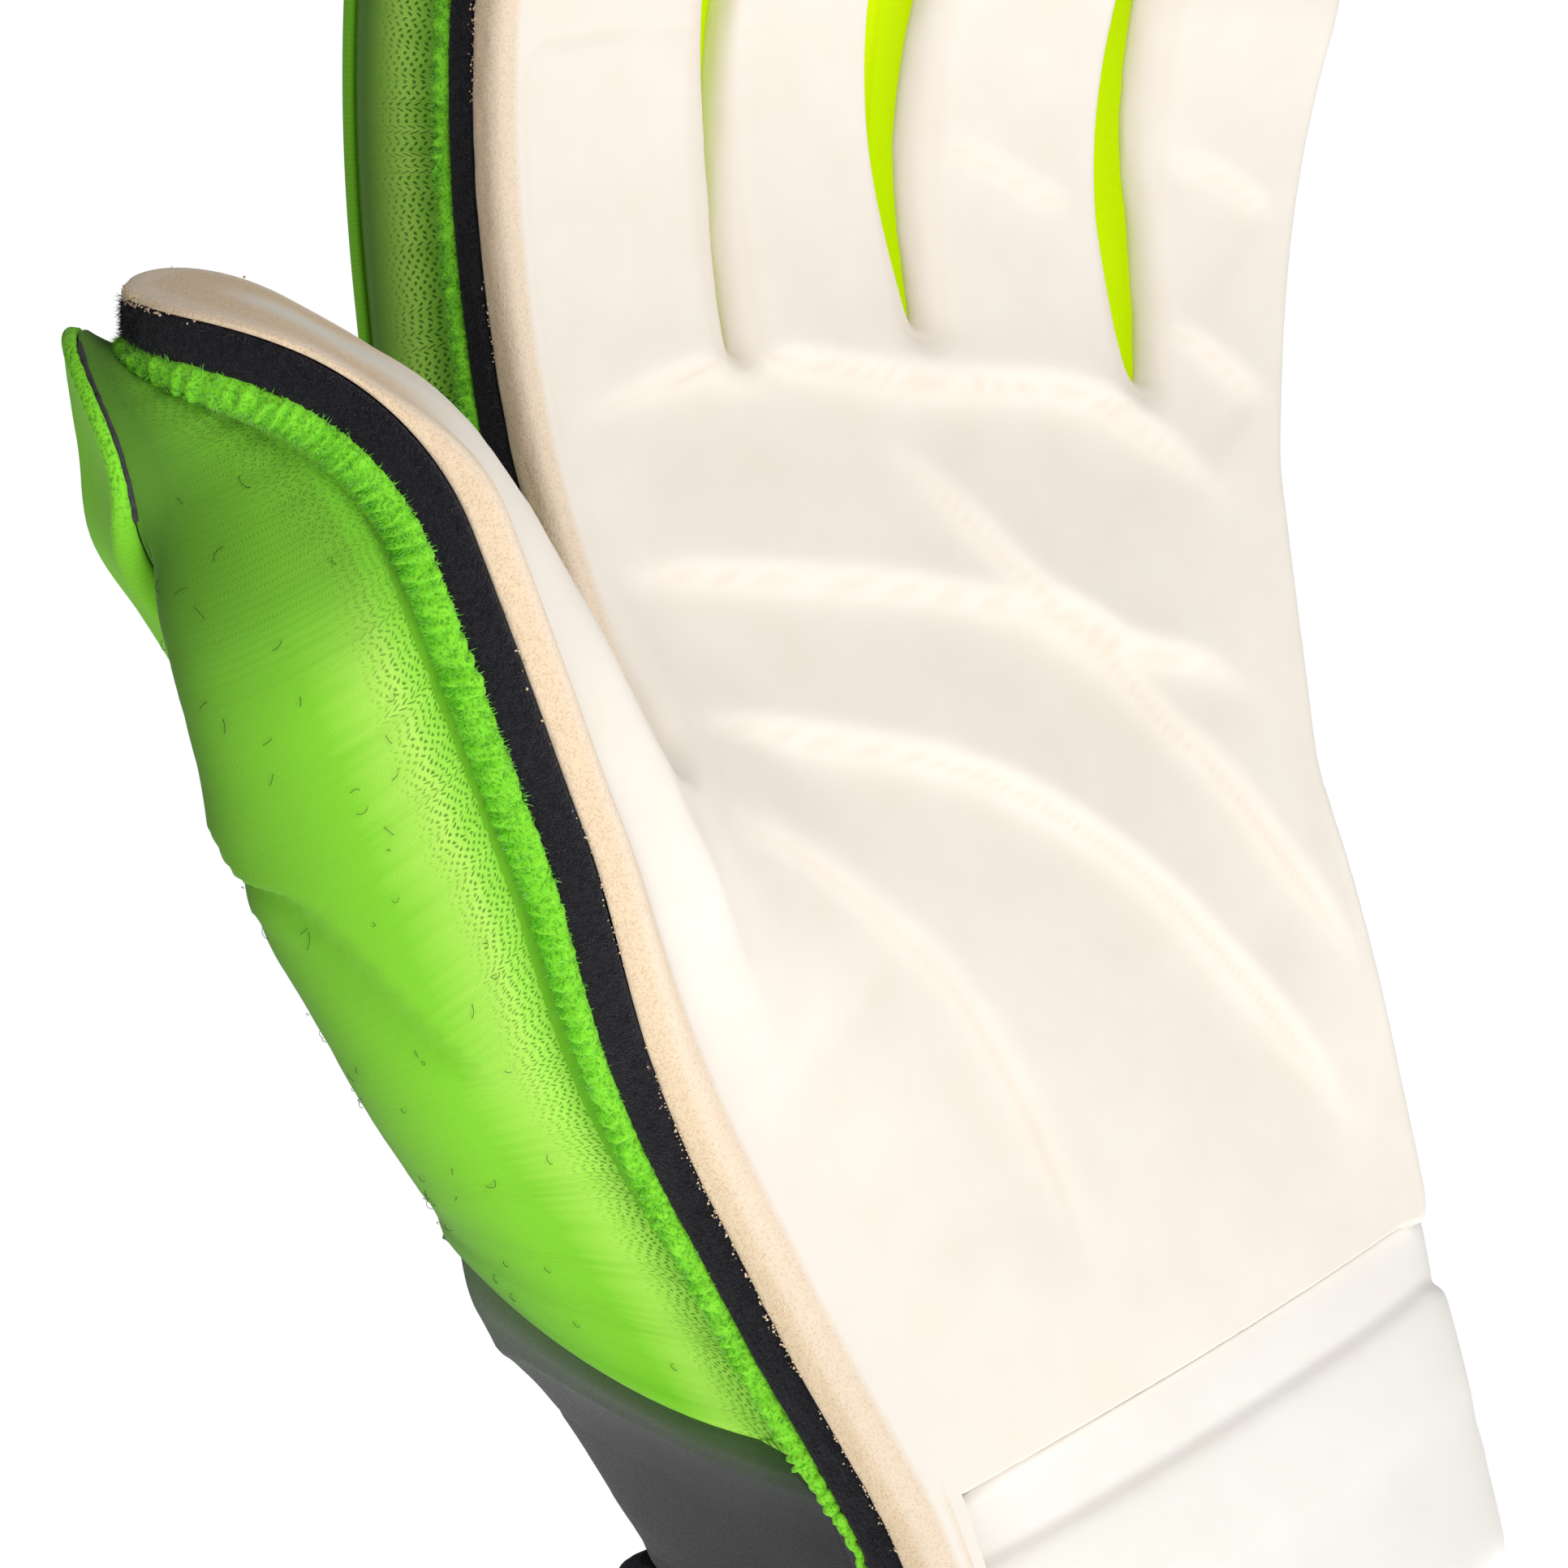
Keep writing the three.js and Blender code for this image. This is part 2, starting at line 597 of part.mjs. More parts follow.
function closedMesh(name, look, vertices, triangles) {
  const corners = vertices.map((p) => bend(p.u, p.v, p.w, p.isThumb));
  let volume = 0;
  triangles.forEach(([a, b, c]) => {
    volume += corners[a].dot(corners[b].clone().cross(corners[c])) / 6;
  });
  const faces = volume < 0 ? triangles.map(([a, b, c]) => [a, c, b]) : triangles;
  const geometry = new THREE.BufferGeometry();
  geometry.setAttribute('position', new THREE.Float32BufferAttribute(corners.flatMap((p) => [p.x, p.y, p.z]), 3));
  geometry.setIndex(faces.flat());
  geometry.computeVertexNormals();
  const mesh = new THREE.Mesh(geometry, new THREE.MeshStandardMaterial({ ...look, metalness: 0 }));
  mesh.name = name;
  return mesh;
}

// A sheet between two faces that share the net
function sheet(name, look, net, front, back) {
  const count = net.points.length;
  const vertices = [...net.points.map(front), ...net.points.map(back)];
  const triangles = [];
  const edges = new Map();
  net.cells.forEach(([a, b, c, d]) => {
    triangles.push([a, b, c], [a, c, d]);
    triangles.push([count + a, count + c, count + b], [count + a, count + d, count + c]);
    [[a, b], [b, c], [c, d], [d, a]].forEach(([p, q]) => {
      if (edges.has(`${q},${p}`)) edges.delete(`${q},${p}`);
      else edges.set(`${p},${q}`, [p, q]);
    });
  });
  edges.forEach(([p, q]) => {
    triangles.push([p, count + p, count + q], [p, count + q, q]);
  });
  return closedMesh(name, look, vertices, triangles);
}

// A closed outline carried along stations. caps lists the four-sided cells that close each end.
// turned names the strip whose cells are split along their other diagonal.
function sweep(name, look, sections, caps, turned) {
  const size = sections[0].length;
  const vertices = sections.flat();
  const triangles = [];
  const isRing = caps === null;
  const spans = isRing ? sections.length : sections.length - 1;
  for (let i = 0; i < spans; i += 1) {
    const next = ((i + 1) % sections.length) * size;
    for (let j = 0; j < size; j += 1) {
      const k = (j + 1) % size;
      const a = i * size + j;
      const b = i * size + k;
      if (j === turned) triangles.push([a, b, next + k], [a, next + k, next + j]);
      else triangles.push([a, b, next + j], [b, next + k, next + j]);
    }
  }
  const last = (sections.length - 1) * size;
  (caps || []).forEach(([p, q, r, s]) => {
    triangles.push([p, q, r], [p, r, s]);
    triangles.push([last + r, last + q, last + p], [last + s, last + r, last + p]);
  });
  return closedMesh(name, look, vertices, triangles);
}

// The side wall of a gusset with its two seam flanges, at one station.
// The outline goes down the outside of the wall and comes back up its inside.
const WALL_STEPS = [0.2, 0.5, 0.8];
const GUSSET_CAPS = [
  [0, 13, 2, 1],
  [13, 12, 3, 2],
  [12, 11, 4, 3],
  [11, 10, 5, 4],
  [10, 9, 6, 5],
  [9, 8, 7, 6],
];
const GUSSET_BACK_FLANGE = 8;

// The wall rounds over toward the back, and a slant along the seam is spread evenly over its depth
function gussetSection(palmPoint, palmOuter, backPoint, backOuter, normal, bulge) {
  const out = (p, distance) => ({ ...p, u: p.u + normal.u * distance, v: p.v + normal.v * distance });
  const innerBack = LAYER_GAP - backPoint.depth;
  const outerBack = LAYER_GAP - backOuter.depth;
  const start = onPalm(palmPoint, FLANGE_BACK);
  const end = onBack(backPoint, innerBack + FLANGE_THICKNESS);
  const wrap = wrapAt(backPoint) / THUMB_WRAP.full;
  const slide = (end.v - start.v) * normal.u - (end.u - start.u) * normal.v;
  const wall = (t, inset) => {
    const deep = mix(t, Math.sin(t * Math.PI * 0.5), wrap);
    const side = mix(t, 1 - Math.cos(t * Math.PI * 0.5), wrap);
    const early = slide * (deep - side);
    const p = {
      u: mix(start.u, end.u, side) - normal.v * early,
      v: mix(start.v, end.v, side) + normal.u * early,
      w: mix(start.w, end.w, deep) + inset * wrap * t,
      isThumb: start.isThumb,
    };
    return out(p, bulge * 4 * t * (1 - t) - inset);
  };
  const outside = WALL_STEPS.map((t) => wall(t, 0));
  const inside = WALL_STEPS.map((t) => wall(t, KNIT_THICKNESS)).reverse();
  return [
    onPalm(palmOuter, FLANGE_FACE),
    onPalm(palmOuter, FLANGE_BACK),
    start,
    ...outside,
    end,
    onBack(backOuter, outerBack + FLANGE_THICKNESS),
    onBack(backOuter, outerBack),
    out(onBack(backPoint, innerBack), -KNIT_THICKNESS),
    ...inside,
    out(onPalm(palmPoint, FLANGE_FACE), -KNIT_THICKNESS),
  ];
}

// A point of the wrist's loop, out from the cuff's surface, in the direction of an angle
function loopPoint(degrees, v, out) {
  const t = ease((MOUTH_BLEND.from - v) / MOUTH_BLEND.length);
  const c = Math.cos(degrees * RADIANS);
  const s = Math.sin(degrees * RADIANS);
  const sideName = c > 0 ? 'ulnar' : 'radial';
  const faceName = s > 0 ? 'front' : 'back';
  const quarter = faceName + (c > 0 ? 'Ulnar' : 'Radial');
  const a = mix(WRIST_LOOP[sideName], MOUTH_LOOP[sideName], t) + out;
  const b = mix(WRIST_LOOP[faceName], MOUTH_LOOP[faceName], t) + out;
  const n = mix(WRIST_SQUARENESS[quarter], MOUTH_SQUARENESS[quarter], t);
  const radius = ((Math.abs(c) / a) ** n + (Math.abs(s) / b) ** n) ** (-1 / n);
  return { u: WRIST_CENTRE.u + c * radius, v, w: WRIST_CENTRE.w + s * radius, isThumb: false };
}

// The line just under the glove's lower edge, which slants at the front and is level at the back
function wristTop(degrees, out) {
  const at = loopPoint(degrees, 0, out);
  const first = RADIAL_SEAM[0].u;
  const across = clamp((at.u - first) / (ULNAR_SEAM[0].u - first), 0, 1);
  const front = mix(PALM_WRIST.radialV, PALM_WRIST.ulnarV, across);
  const back = mix(BACK_WRIST.radialV, BACK_WRIST.ulnarV, across);
  const share = clamp((at.w + WRIST_DEPTH) / (WRIST_DEPTH + FLANGE_BACK), 0, 1);
  return mix(back, front, share) - END_GAP;
}

function bandAlong(name, look, profile, arc, caps) {
  const sections = [];
  for (let i = 0; i <= arc.steps; i += 1) {
    const degrees = mix(arc.from, arc.to, i / arc.steps);
    sections.push(profile.map((p) => loopPoint(degrees, wristTop(degrees, p.out) - p.drop, p.out)));
  }
  return sweep(name, look, sections, caps, null);
}

function cuffDrop(degrees) {
  const around = ((degrees % 360) + 360) % 360;
  const start = ease((around - CUFF_DROP.from) / CUFF_DROP.run);
  const drop = mix(CUFF_DROP.front, CUFF_DROP.back, clamp((around - 170) / 45, 0, 1));
  return drop * start * ease((CUFF_DROP.to - around) / CUFF_DROP.run);
}

function makeCuff() {
  const sections = [];
  for (let i = 0; i <= CUFF_ARC.steps; i += 1) {
    const degrees = mix(CUFF_ARC.from, CUFF_ARC.to, i / CUFF_ARC.steps);
    const wall = (out) => {
      const top = wristTop(degrees, out) - cuffDrop(degrees);
      const rows = [];
      for (let j = 0; j <= CUFF_ROWS; j += 1) rows.push(mix(top, -CUFF_LENGTH, j / CUFF_ROWS));
      return rows.map((v) => loopPoint(degrees, v, out));
    };
    sections.push([...wall(0), ...wall(-CUFF_WALL).reverse()]);
  }
  return sweep('cuff', COLOURS.cuff, sections, null, null);
}

const palmNet = makeNet(PALM_WRIST);
const backNet = makeNet(BACK_WRIST);
const glove = new THREE.Group();

const thinned = (p) => 1 - TIP_THINNING * ease(pastCurl(p) / 20);
glove.add(sheet('palm_latex', COLOURS.latex, palmNet, (p) => onPalm(p, PALM_FACE * thinned(p)),
  (p) => onPalm(p, p.isRolled ? -ROLLED_LIP : 0)));

const foamNet = makeNet(PALM_WRIST);
foamNet.line.forEach((station, i, line) => {
  const around = [line[Math.max(i - 1, 0)], station, line[Math.min(i + 1, line.length - 1)]];
  if (!around.some((near) => ROLLED_SIDES.includes(near.part))) return;
  const seam = foamNet.points[station.id];
  const outer = foamNet.points[station.outer];
  outer.u = seam.u + station.normal.u * ROLLED_FOAM_REACH;
  outer.v = seam.v + station.normal.v * ROLLED_FOAM_REACH;
});
glove.add(sheet('palm_foam', COLOURS.foam, foamNet, (p) => onPalm(p, FOAM_FACE), (p) => onPalm(p, FOAM_BACK)));

const backOutline = backNet.line.map((s) => {
  const p = backNet.points[s.outer];
  return new THREE.Vector2(p.u, p.v);
});
const backFace = (p) => -edgeDepth(p) - backRise(p, backOutline);
glove.add(sheet(
  'back_panel',
  COLOURS.knit,
  backNet,
  (p) => onBack(p, backFace(p)),
  (p) => onBack(p, backFace(p) - BACK_THICKNESS),
));

// A place on a net's seam line and its partner on the outer edge, with the depth at each
const tabStations = palmNet.line.length - backNet.line.length;
function placeOn(net, row) {
  const stations = net.line;
  const at = net === palmNet ? row + tabStations : row;
  const i = clamp(Math.floor(at), 0, stations.length - 2);
  const t = at - i;
  const between = (key) => {
    const a = net.points[stations[i][key]];
    const b = net.points[stations[i + 1][key]];
    return {
      u: mix(a.u, b.u, t),
      v: mix(a.v, b.v, t),
      depth: mix(edgeDepth(a), edgeDepth(b), t),
      digit: (t > 0.5 ? b : a).digit,
    };
  };
  const before = stations[i].normal;
  const after = stations[i + 1].normal;
  const normal = { u: mix(before.u, after.u, t), v: mix(before.v, after.v, t) };
  return { seam: between('id'), outer: between('outer'), normal };
}

// Side walls: one gusset from each tip to the next
const wallSections = backNet.line.map((back, i) => {
  const station = palmNet.line[i + tabStations];
  const palmPoint = palmNet.points[station.id];
  const slant = (i - SLANT.fromRow) / (SLANT.toRow - SLANT.fromRow);
  const place = placeOn(backNet, i < SLANT.toRow ? mix(SLANT.backFrom, SLANT.toRow, slant) : i);
  const tip = ease(pastCurl(palmPoint) / 26);
  const bulge = mix(GUSSET_BULGE[station.part], -KNIT_THICKNESS, tip);
  return {
    part: station.part,
    outline: gussetSection(palmPoint, palmNet.points[station.outer], place.seam, place.outer,
      station.normal, bulge),
  };
});
function lowerSection(place, bulge) {
  const palm = placeOn(palmNet, place.palmRow);
  const back = placeOn(backNet, place.backRow);
  return gussetSection(palm.seam, palm.outer, back.seam, back.outer, palm.normal, bulge);
}

const between = (a, b, t) => a.map((p, j) => ({
  u: mix(p.u, b[j].u, t),
  v: mix(p.v, b[j].v, t),
  w: mix(p.w, b[j].w, t),
  isThumb: p.isThumb,
}));
Object.keys(GUSSET_BULGE).forEach((part) => {
  const first = wallSections.findIndex((s) => s.part === part);
  const own = wallSections.filter((s, i) => s.part === part && i >= SLANT.fromRow);
  const after = wallSections[wallSections.indexOf(own[own.length - 1]) + 1];
  const sections = own.map((s) => s.outline);
  if (first > 0) sections.unshift(between(sections[0], wallSections[first - 1].outline, TIP_SHARE));
  else {
    sections.unshift(lowerSection(THUMB_GUSSET_END, GUSSET_BULGE[part]));
  }
  if (after) sections.push(between(sections[sections.length - 1], after.outline, TIP_SHARE));
  glove.add(sweep(`${part}_gusset`, COLOURS.knit, sections, GUSSET_CAPS, GUSSET_BACK_FLANGE));
});

glove.add(sweep(
  'wrist_gusset',
  COLOURS.wrist,
  WRIST_PANEL.map((row) => lowerSection(row, WRIST_PANEL_BULGE)),
  GUSSET_CAPS,
  GUSSET_BACK_FLANGE,
));
glove.add(makeCuff());
glove.add(bandAlong('wrist_strap', COLOURS.strap, STRAP_SECTION, STRAP_ARC, STRAP_CAPS));
glove.add(bandAlong('strap_closure', COLOURS.strap, CLOSURE_SECTION, CLOSURE_ARC, [[0, 3, 2, 1]]));

export default glove;
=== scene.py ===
"""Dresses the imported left-hand goalkeeper's glove: fine cloth, foam and latex over the CAD frame."""
import json
import math

import bpy
import numpy as np
from bpy.props import FloatProperty, FloatVectorProperty, IntProperty, PointerProperty
from mathutils import Matrix, Vector

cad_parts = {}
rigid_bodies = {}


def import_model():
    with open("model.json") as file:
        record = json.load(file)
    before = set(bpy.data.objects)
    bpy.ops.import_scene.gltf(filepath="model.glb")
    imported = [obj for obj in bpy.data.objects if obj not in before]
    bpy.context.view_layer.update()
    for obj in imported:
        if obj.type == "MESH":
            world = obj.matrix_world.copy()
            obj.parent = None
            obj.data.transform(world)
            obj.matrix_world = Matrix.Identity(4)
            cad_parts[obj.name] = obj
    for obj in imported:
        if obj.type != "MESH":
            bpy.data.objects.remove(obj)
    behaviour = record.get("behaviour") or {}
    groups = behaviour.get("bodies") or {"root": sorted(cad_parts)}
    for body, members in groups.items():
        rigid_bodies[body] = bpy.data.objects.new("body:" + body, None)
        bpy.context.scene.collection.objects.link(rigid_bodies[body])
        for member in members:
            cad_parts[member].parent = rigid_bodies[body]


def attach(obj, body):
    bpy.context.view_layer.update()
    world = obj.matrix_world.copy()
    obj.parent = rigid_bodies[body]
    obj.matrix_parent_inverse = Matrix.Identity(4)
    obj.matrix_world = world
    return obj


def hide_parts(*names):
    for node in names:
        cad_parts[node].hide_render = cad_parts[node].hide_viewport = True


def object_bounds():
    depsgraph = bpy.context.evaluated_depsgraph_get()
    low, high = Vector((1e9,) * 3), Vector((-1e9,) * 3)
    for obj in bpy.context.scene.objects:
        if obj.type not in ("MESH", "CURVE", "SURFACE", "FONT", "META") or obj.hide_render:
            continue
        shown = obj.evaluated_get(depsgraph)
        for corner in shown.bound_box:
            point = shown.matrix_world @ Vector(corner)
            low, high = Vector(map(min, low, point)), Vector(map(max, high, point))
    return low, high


bl_info = {
    "name": "Goalkeeper glove",
    "version": (1, 0, 0),
    "blender": (4, 5, 0),
    "location": "View3D > Sidebar > Glove",
    "description": "Builds a goalkeeper's glove over its CAD frame",
    "category": "Object",
}

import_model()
FIRST_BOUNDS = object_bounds()

MM = 0.001
RADIANS = math.pi / 180

# Driving dimensions in millimetres; the solids follow the same pattern
CUFF_LENGTH = 65
SEAM_ALLOWANCE = 3.5
LATEX_THICKNESS = 4.0
FOAM_FACE = -0.3
FOAM_BACK = -3.8
FLANGE_BACK = -5.6
KNIT_THICKNESS = 1.2
BACK_THICKNESS = 3.0
END_GAP = 0.5

BEND = {
    "wrist_curve": -1 / 190,
    "palm_curve": 1 / 700,
    "palm_curve_from": -5,
    "palm_curve_run": 57,
    "straight_past": 60,
    "mouth_straight_over": 40,
    "flex_angle": 52,
    "flex_from": 88,
    "flex_length": 100,
    "fold_angle": 56,
    "fold_share_at_wrist": 0.6,
    "fold_starts": {"from": -75, "run": 50},
    "fold_fills": {"from": -10, "run": 60},
    "fold_line_u": -29,
    "fold_line_lean": 15,
    "fold_before": 6,
    "fold_after": 39,
}
WRIST_CENTRE = {"u": 7.5, "w": -26}

RADIAL_SEAM = [(-33.6, -17), (-39.6, 1), (-46, 17), (-56.3, 33), (-70.4, 48), (-85.4, 64)]
ULNAR_SEAM = [(46.7, 2.5), (44, 17.5), (41.2, 35), (39, 54)]

# name, u at the wrist, u and v at the thumb web, u and v at the finger bases, the share of the thumb
# seam's bow that it follows, cells to the next column
COLUMNS = [
    ("radial", -33.6, -85.4, 64, None, None, 1, 3),
    ("thumb_inner", -24, -62, 61, None, None, 0.75, 1),
    ("index_outer", -20, -52.5, 61.5, -54, 96, 0.6, 3),
    ("index_inner", -9, -27.5, 61, -31, 101.5, 0.35, 1),
    ("middle_outer", -6, -18.5, 60.5, -21.3, 101.5, 0.28, 2),
    ("middle_inner", 6, -3, 60, -4.7, 103, 0.15, 1),
    ("ring_outer", 10, 5.5, 59.5, 4.7, 103, 0.1, 3),
    ("ring_inner", 25, 23, 57, 25.3, 96.5, 0, 1),
    ("little_outer", 30, 30.5, 56, 34.8, 95, 0, 2),
    ("ulnar", 46.7, 39, 54, 44.5, 90, 0, 0),
]
NAMES = [c[0] for c in COLUMNS]

PALM_WRIST = {"radial_v": -17, "ulnar_v": 2.5, "tab_to": -35}
BACK_WRIST = {"radial_v": -4, "ulnar_v": -5, "tab_to": None}

# name, first and last columns, ends of the straight sides, their bows, height of the round cap, curl of
# the tip toward the palm, share of the curled length kept by the back, shift toward the back, rows
DIGITS = [
    dict(name="thumb", start="radial", end="thumb_inner", left=(-108.4, 97.7), right=(-90.2, 111.3),
         bows=(2, 1), cap=14.3, curl_radius=32, curl_length=38.4, shrink=0.74, shift=0, rows=5),
    dict(name="index", start="index_outer", end="index_inner", left=(-55, 165), right=(-32, 166),
         bows=(-1.3, 0), cap=13.5, curl_radius=30, curl_length=24, shrink=0.78, shift=0, rows=8),
    dict(name="middle", start="middle_outer", end="middle_inner", left=(-21.5, 176), right=(-4.5, 176),
         bows=(0, 0.4), cap=12, curl_radius=30, curl_length=24, shrink=0.78, shift=3, rows=8),
    dict(name="ring", start="ring_outer", end="ring_inner", left=(9.5, 168), right=(30.5, 167),
         bows=(0.8, -1.2), cap=12.5, curl_radius=30, curl_length=24, shrink=0.78, shift=0, rows=7),
    dict(name="little", start="little_outer", end="ulnar", left=(41, 150), right=(60.5, 149),
         bows=(0, 1), cap=12, curl_radius=28, curl_length=22, shrink=0.78, shift=0, rows=6),
]
GUSSETS = ["thumb_outer", "thumb_index", "index_middle", "middle_ring", "ring_little", "little_outer"]
GUSSET_BULGE = dict(thumb_outer=9, thumb_index=3, index_middle=2.8, middle_ring=2.8, ring_little=2.8,
                    little_outer=5)
ROLLED = ("index_middle", "middle_ring", "ring_little")

CAP_ROWS = 2
CAP_END = 0.985
CAP_POWER = 2.3
CAP_CROWN = 0.05
TIP_PASSES = 4
TIP_MARGIN = 2
CROTCH_DEPTH = 0.96
# How far a smoothed seam carries the points near it along
SEAM_PULL = 9
# How far the directions out of the seam are smoothed, and over how many cells its other fields are
NORMAL_SPREAD = 10
BLEND = {"rolled": 6, "seamed": 2, "bare": 8}
WRIST_EDGE_REACH = 0.5
LOWER_ROWS = 9
UPPER_ROWS = 4
TAB_ROWS = 2
# How far the palm's tab beside the strap moves over, how much wider it gets, and its lower edge's rise
TAB_SHIFT = 3
TAB_FLARE = 1.5
TAB_RISE = 0.8

PALM_DEPTH = 26
FINGER_DEPTH = 22.5
WRIST_DEPTH = 33
PALM_DEPTH_RUN = {"from": 0, "run": 50}
FINGER_DEPTH_RUN = {"from": 85, "run": 30}
SHIFT_RUN = {"from": 100, "run": 45}
BACK_RISE = 11
WRIST_EXTRA_RISE = 7
WRIST_RISE_RUN = {"from": -10, "run": 40}
RISE_RUN = 35
THUMB_ALONG = (-0.588, 0.809)
THUMB_ACROSS = (0.809, 0.588)
THUMB_DEPTHS = [(8, 45), (19, 44), (27, 43), (34, 42.5), (42, 38.5), (50, 33), (60, 28), (70, 26),
                (80, 26), (95, 27), (108, 26), (120, 26), (134, 29.5), (152, 27.5)]
THUMB_DEPTHS_SOFT = 14
DRAWN_IN = [(-4, 5), (5, 4), (14, 1), (30, 7)]
THUMB_WRAP = {"full": 7, "from": -6, "run": 28, "tip_at": 150, "tip_run": 25}
THUMB_SHARE = {"from": 6, "run": 36}
TIP_THINNING = 0.5
THUMB_THINNING = 0.75
THINNING_RUN = 20
# How far the thumb's wall swells past its back seam along the thumb, the share of it that is left at the
# wrist panel's lower edge, and the height of the thumb's pad
BELLY = [(50, 2.5), (60, 4.5), (80, 7.5), (95, 9), (108, 8.5), (118, 8), (127, 5), (138, 0)]
PANEL_BELLY = 0.4
BELLY_SOFT = 8
PAD = [(46, 0), (60, 3), (72, 5.5), (85, 6.5), (100, 6), (115, 4.5), (126, 2), (138, 0.5), (157, 0)]
PAD_RUN = {"up": 11, "from": 16, "run": 26, "from_rim": 8}

SLANT = {"from_row": 1, "to_row": 7, "back_from": 3.9}
THUMB_GUSSET_END = (0.93, 3.85)
# Lengths along a wall are measured this far outside the palm's seam, on this many points
MEASURED_OUT = 2
MEASURED_POINTS = 4000
# A row of the seam past all others
FAR_ROW = 1000
# How far each wall's end stays from the middle of a digit's tip, in stations of the seam
TIP_GAP = 0.03
# Rows of the palm's and of the back's seam that the wrist panel joins, from the thumb's wall down
WRIST_PANEL = [THUMB_GUSSET_END, (0.5, 2.8), (0, 1.5), (-1, 0), (-1.5, -0.6)]
WRIST_PANEL_BULGE = 5
PANEL_BULGE_RUN = 0.5
WRIST_PANEL_STATIONS = 60
# How far the panel's upper edge is tucked under the thumb's wall, and the share of the panel that is
PANEL_TUCK = {"depth": 1.1, "until": 0.25}
# The hem of the thumb's wall slides up to the back seam's level by this share of its depth, this much of
# the way evenly and the rest eased, which fades along the seam. Its first stations share one direction of
# displacement, and it rolls outward
HEM = {"up_by": 0.65, "straight": 0.5, "steady": 30, "fade": 16, "roll": 1.1, "roll_at": 1.6}

# How far each finger's lip reaches into the gap beside it, by v
LIPS = {
    "index_middle": [(104, 4.5), (123, 4.5), (129, 4.1), (145, 2.9), (165, 2.5)],
    "middle_ring": [(104, 4.5), (114, 4.0), (128, 3.4), (145, 2.5), (165, 2)],
    "ring_little": [(97, 4.3), (108, 3.3), (120, 2.7), (132, 3.5), (148, 4.4)],
}
# How far each gap is moved toward the little finger, eased in past a v
LIP_LEAN = {"index_middle": -1.0, "middle_ring": 1.9, "ring_little": 1.9}
LIP_LEAN_RUN = {"from": 108, "run": 25}

WRIST_LOOP = dict(ulnar=47, radial=41, front=26.4, back=30)
MOUTH_LOOP = {"side": 42, "face": 28}
WRIST_SQUARENESS = dict(front_ulnar=6, front_radial=4, back_ulnar=2.4, back_radial=7)
MOUTH_SQUARENESS = 2.2
MOUTH_BLEND = {"from": -22, "length": 43}
CUFF_WALL = 2.5
# How far the cuff's edge lies lower on the thumb's side, in front and behind, between two angles
CUFF_DROP = {"front": 17, "back": 9.5, "from": 133, "to": 237, "run": 10}
DROP_TURNS = {"from": 170, "run": 45}
CUFF_ARC = (145, -215)
STRAP_ARC = (145, -135)
TAB_ARC = (-85, -125)

# The photo's camera
PHOTO_PIXELS = 1932
FOCAL_PIXELS = 6076.58
SENSOR = 36
LOOK_AT = (-0.03752, -0.026, 0.12499)
LIT_AT = (-0.03, -0.01, 0.14)
# Places of the lights from the camera, to its right, up and backward, and their sizes
KEY_LIGHT = {"right": 0.3, "up": 0.3, "back": -0.02, "size": 0.4}
FILL_LIGHT = {"right": -0.5, "up": 0.25, "back": 0, "size": 0.8}
FLOOR = {"size": 0.9, "under": 0.0005}


# Plain helpers

def ease(t):
    t = np.clip(t, 0, 1)
    return t * t * (3 - 2 * t)


def over(value, run):
    """Rises softly from 0 to 1 as the value goes from the run's start over its length"""
    return ease((value - run["from"]) / run["run"])


def mix(a, b, t):
    return a + (b - a) * t


def value_at(rows, at):
    """A value read from a table of rows, straight between them"""
    return np.interp(at, [r[0] for r in rows], [r[1] for r in rows])


def soft_value_at(rows, at, width):
    """The same without kinks: the mean over a width"""
    return sum(value_at(rows, at + width * k / 6) for k in range(-3, 4)) / 7


def soften(loop):
    """One pass of smoothing along a closed loop of values or points"""
    return 0.25 * np.roll(loop, 1, 0) + 0.5 * loop + 0.25 * np.roll(loop, -1, 0)


def lengths_along(points):
    """The length of a line of points up to each of them"""
    return np.concatenate([[0], np.cumsum(np.linalg.norm(np.diff(points, axis=0), axis=1))])


# Points are compared in blocks of this many, to save memory
BLOCK = 2000


def nearest_on(points, line):
    """The number of the line's point nearest to each point, and the gap between the two"""
    nearest = np.empty(len(points), int)
    gaps = np.empty(len(points))
    for start in range(0, len(points), BLOCK):
        block = slice(start, start + BLOCK)
        gap = np.linalg.norm(points[block, None] - line[None], axis=2)
        nearest[block] = gap.argmin(1)
        gaps[block] = gap.min(1)
    return nearest, gaps


def unit(vectors):
    return vectors / np.maximum(np.linalg.norm(vectors, axis=-1, keepdims=True), 1e-9)


def turn_means(angle, t):
    """Means of the cosine and sine of an angle that eases in from 0 to full over 0 to t"""
    steps = (np.arange(14) + 0.5) / 14
    a = angle[..., None] * ease(t[..., None] * steps)
    return np.cos(a).mean(-1), np.sin(a).mean(-1)


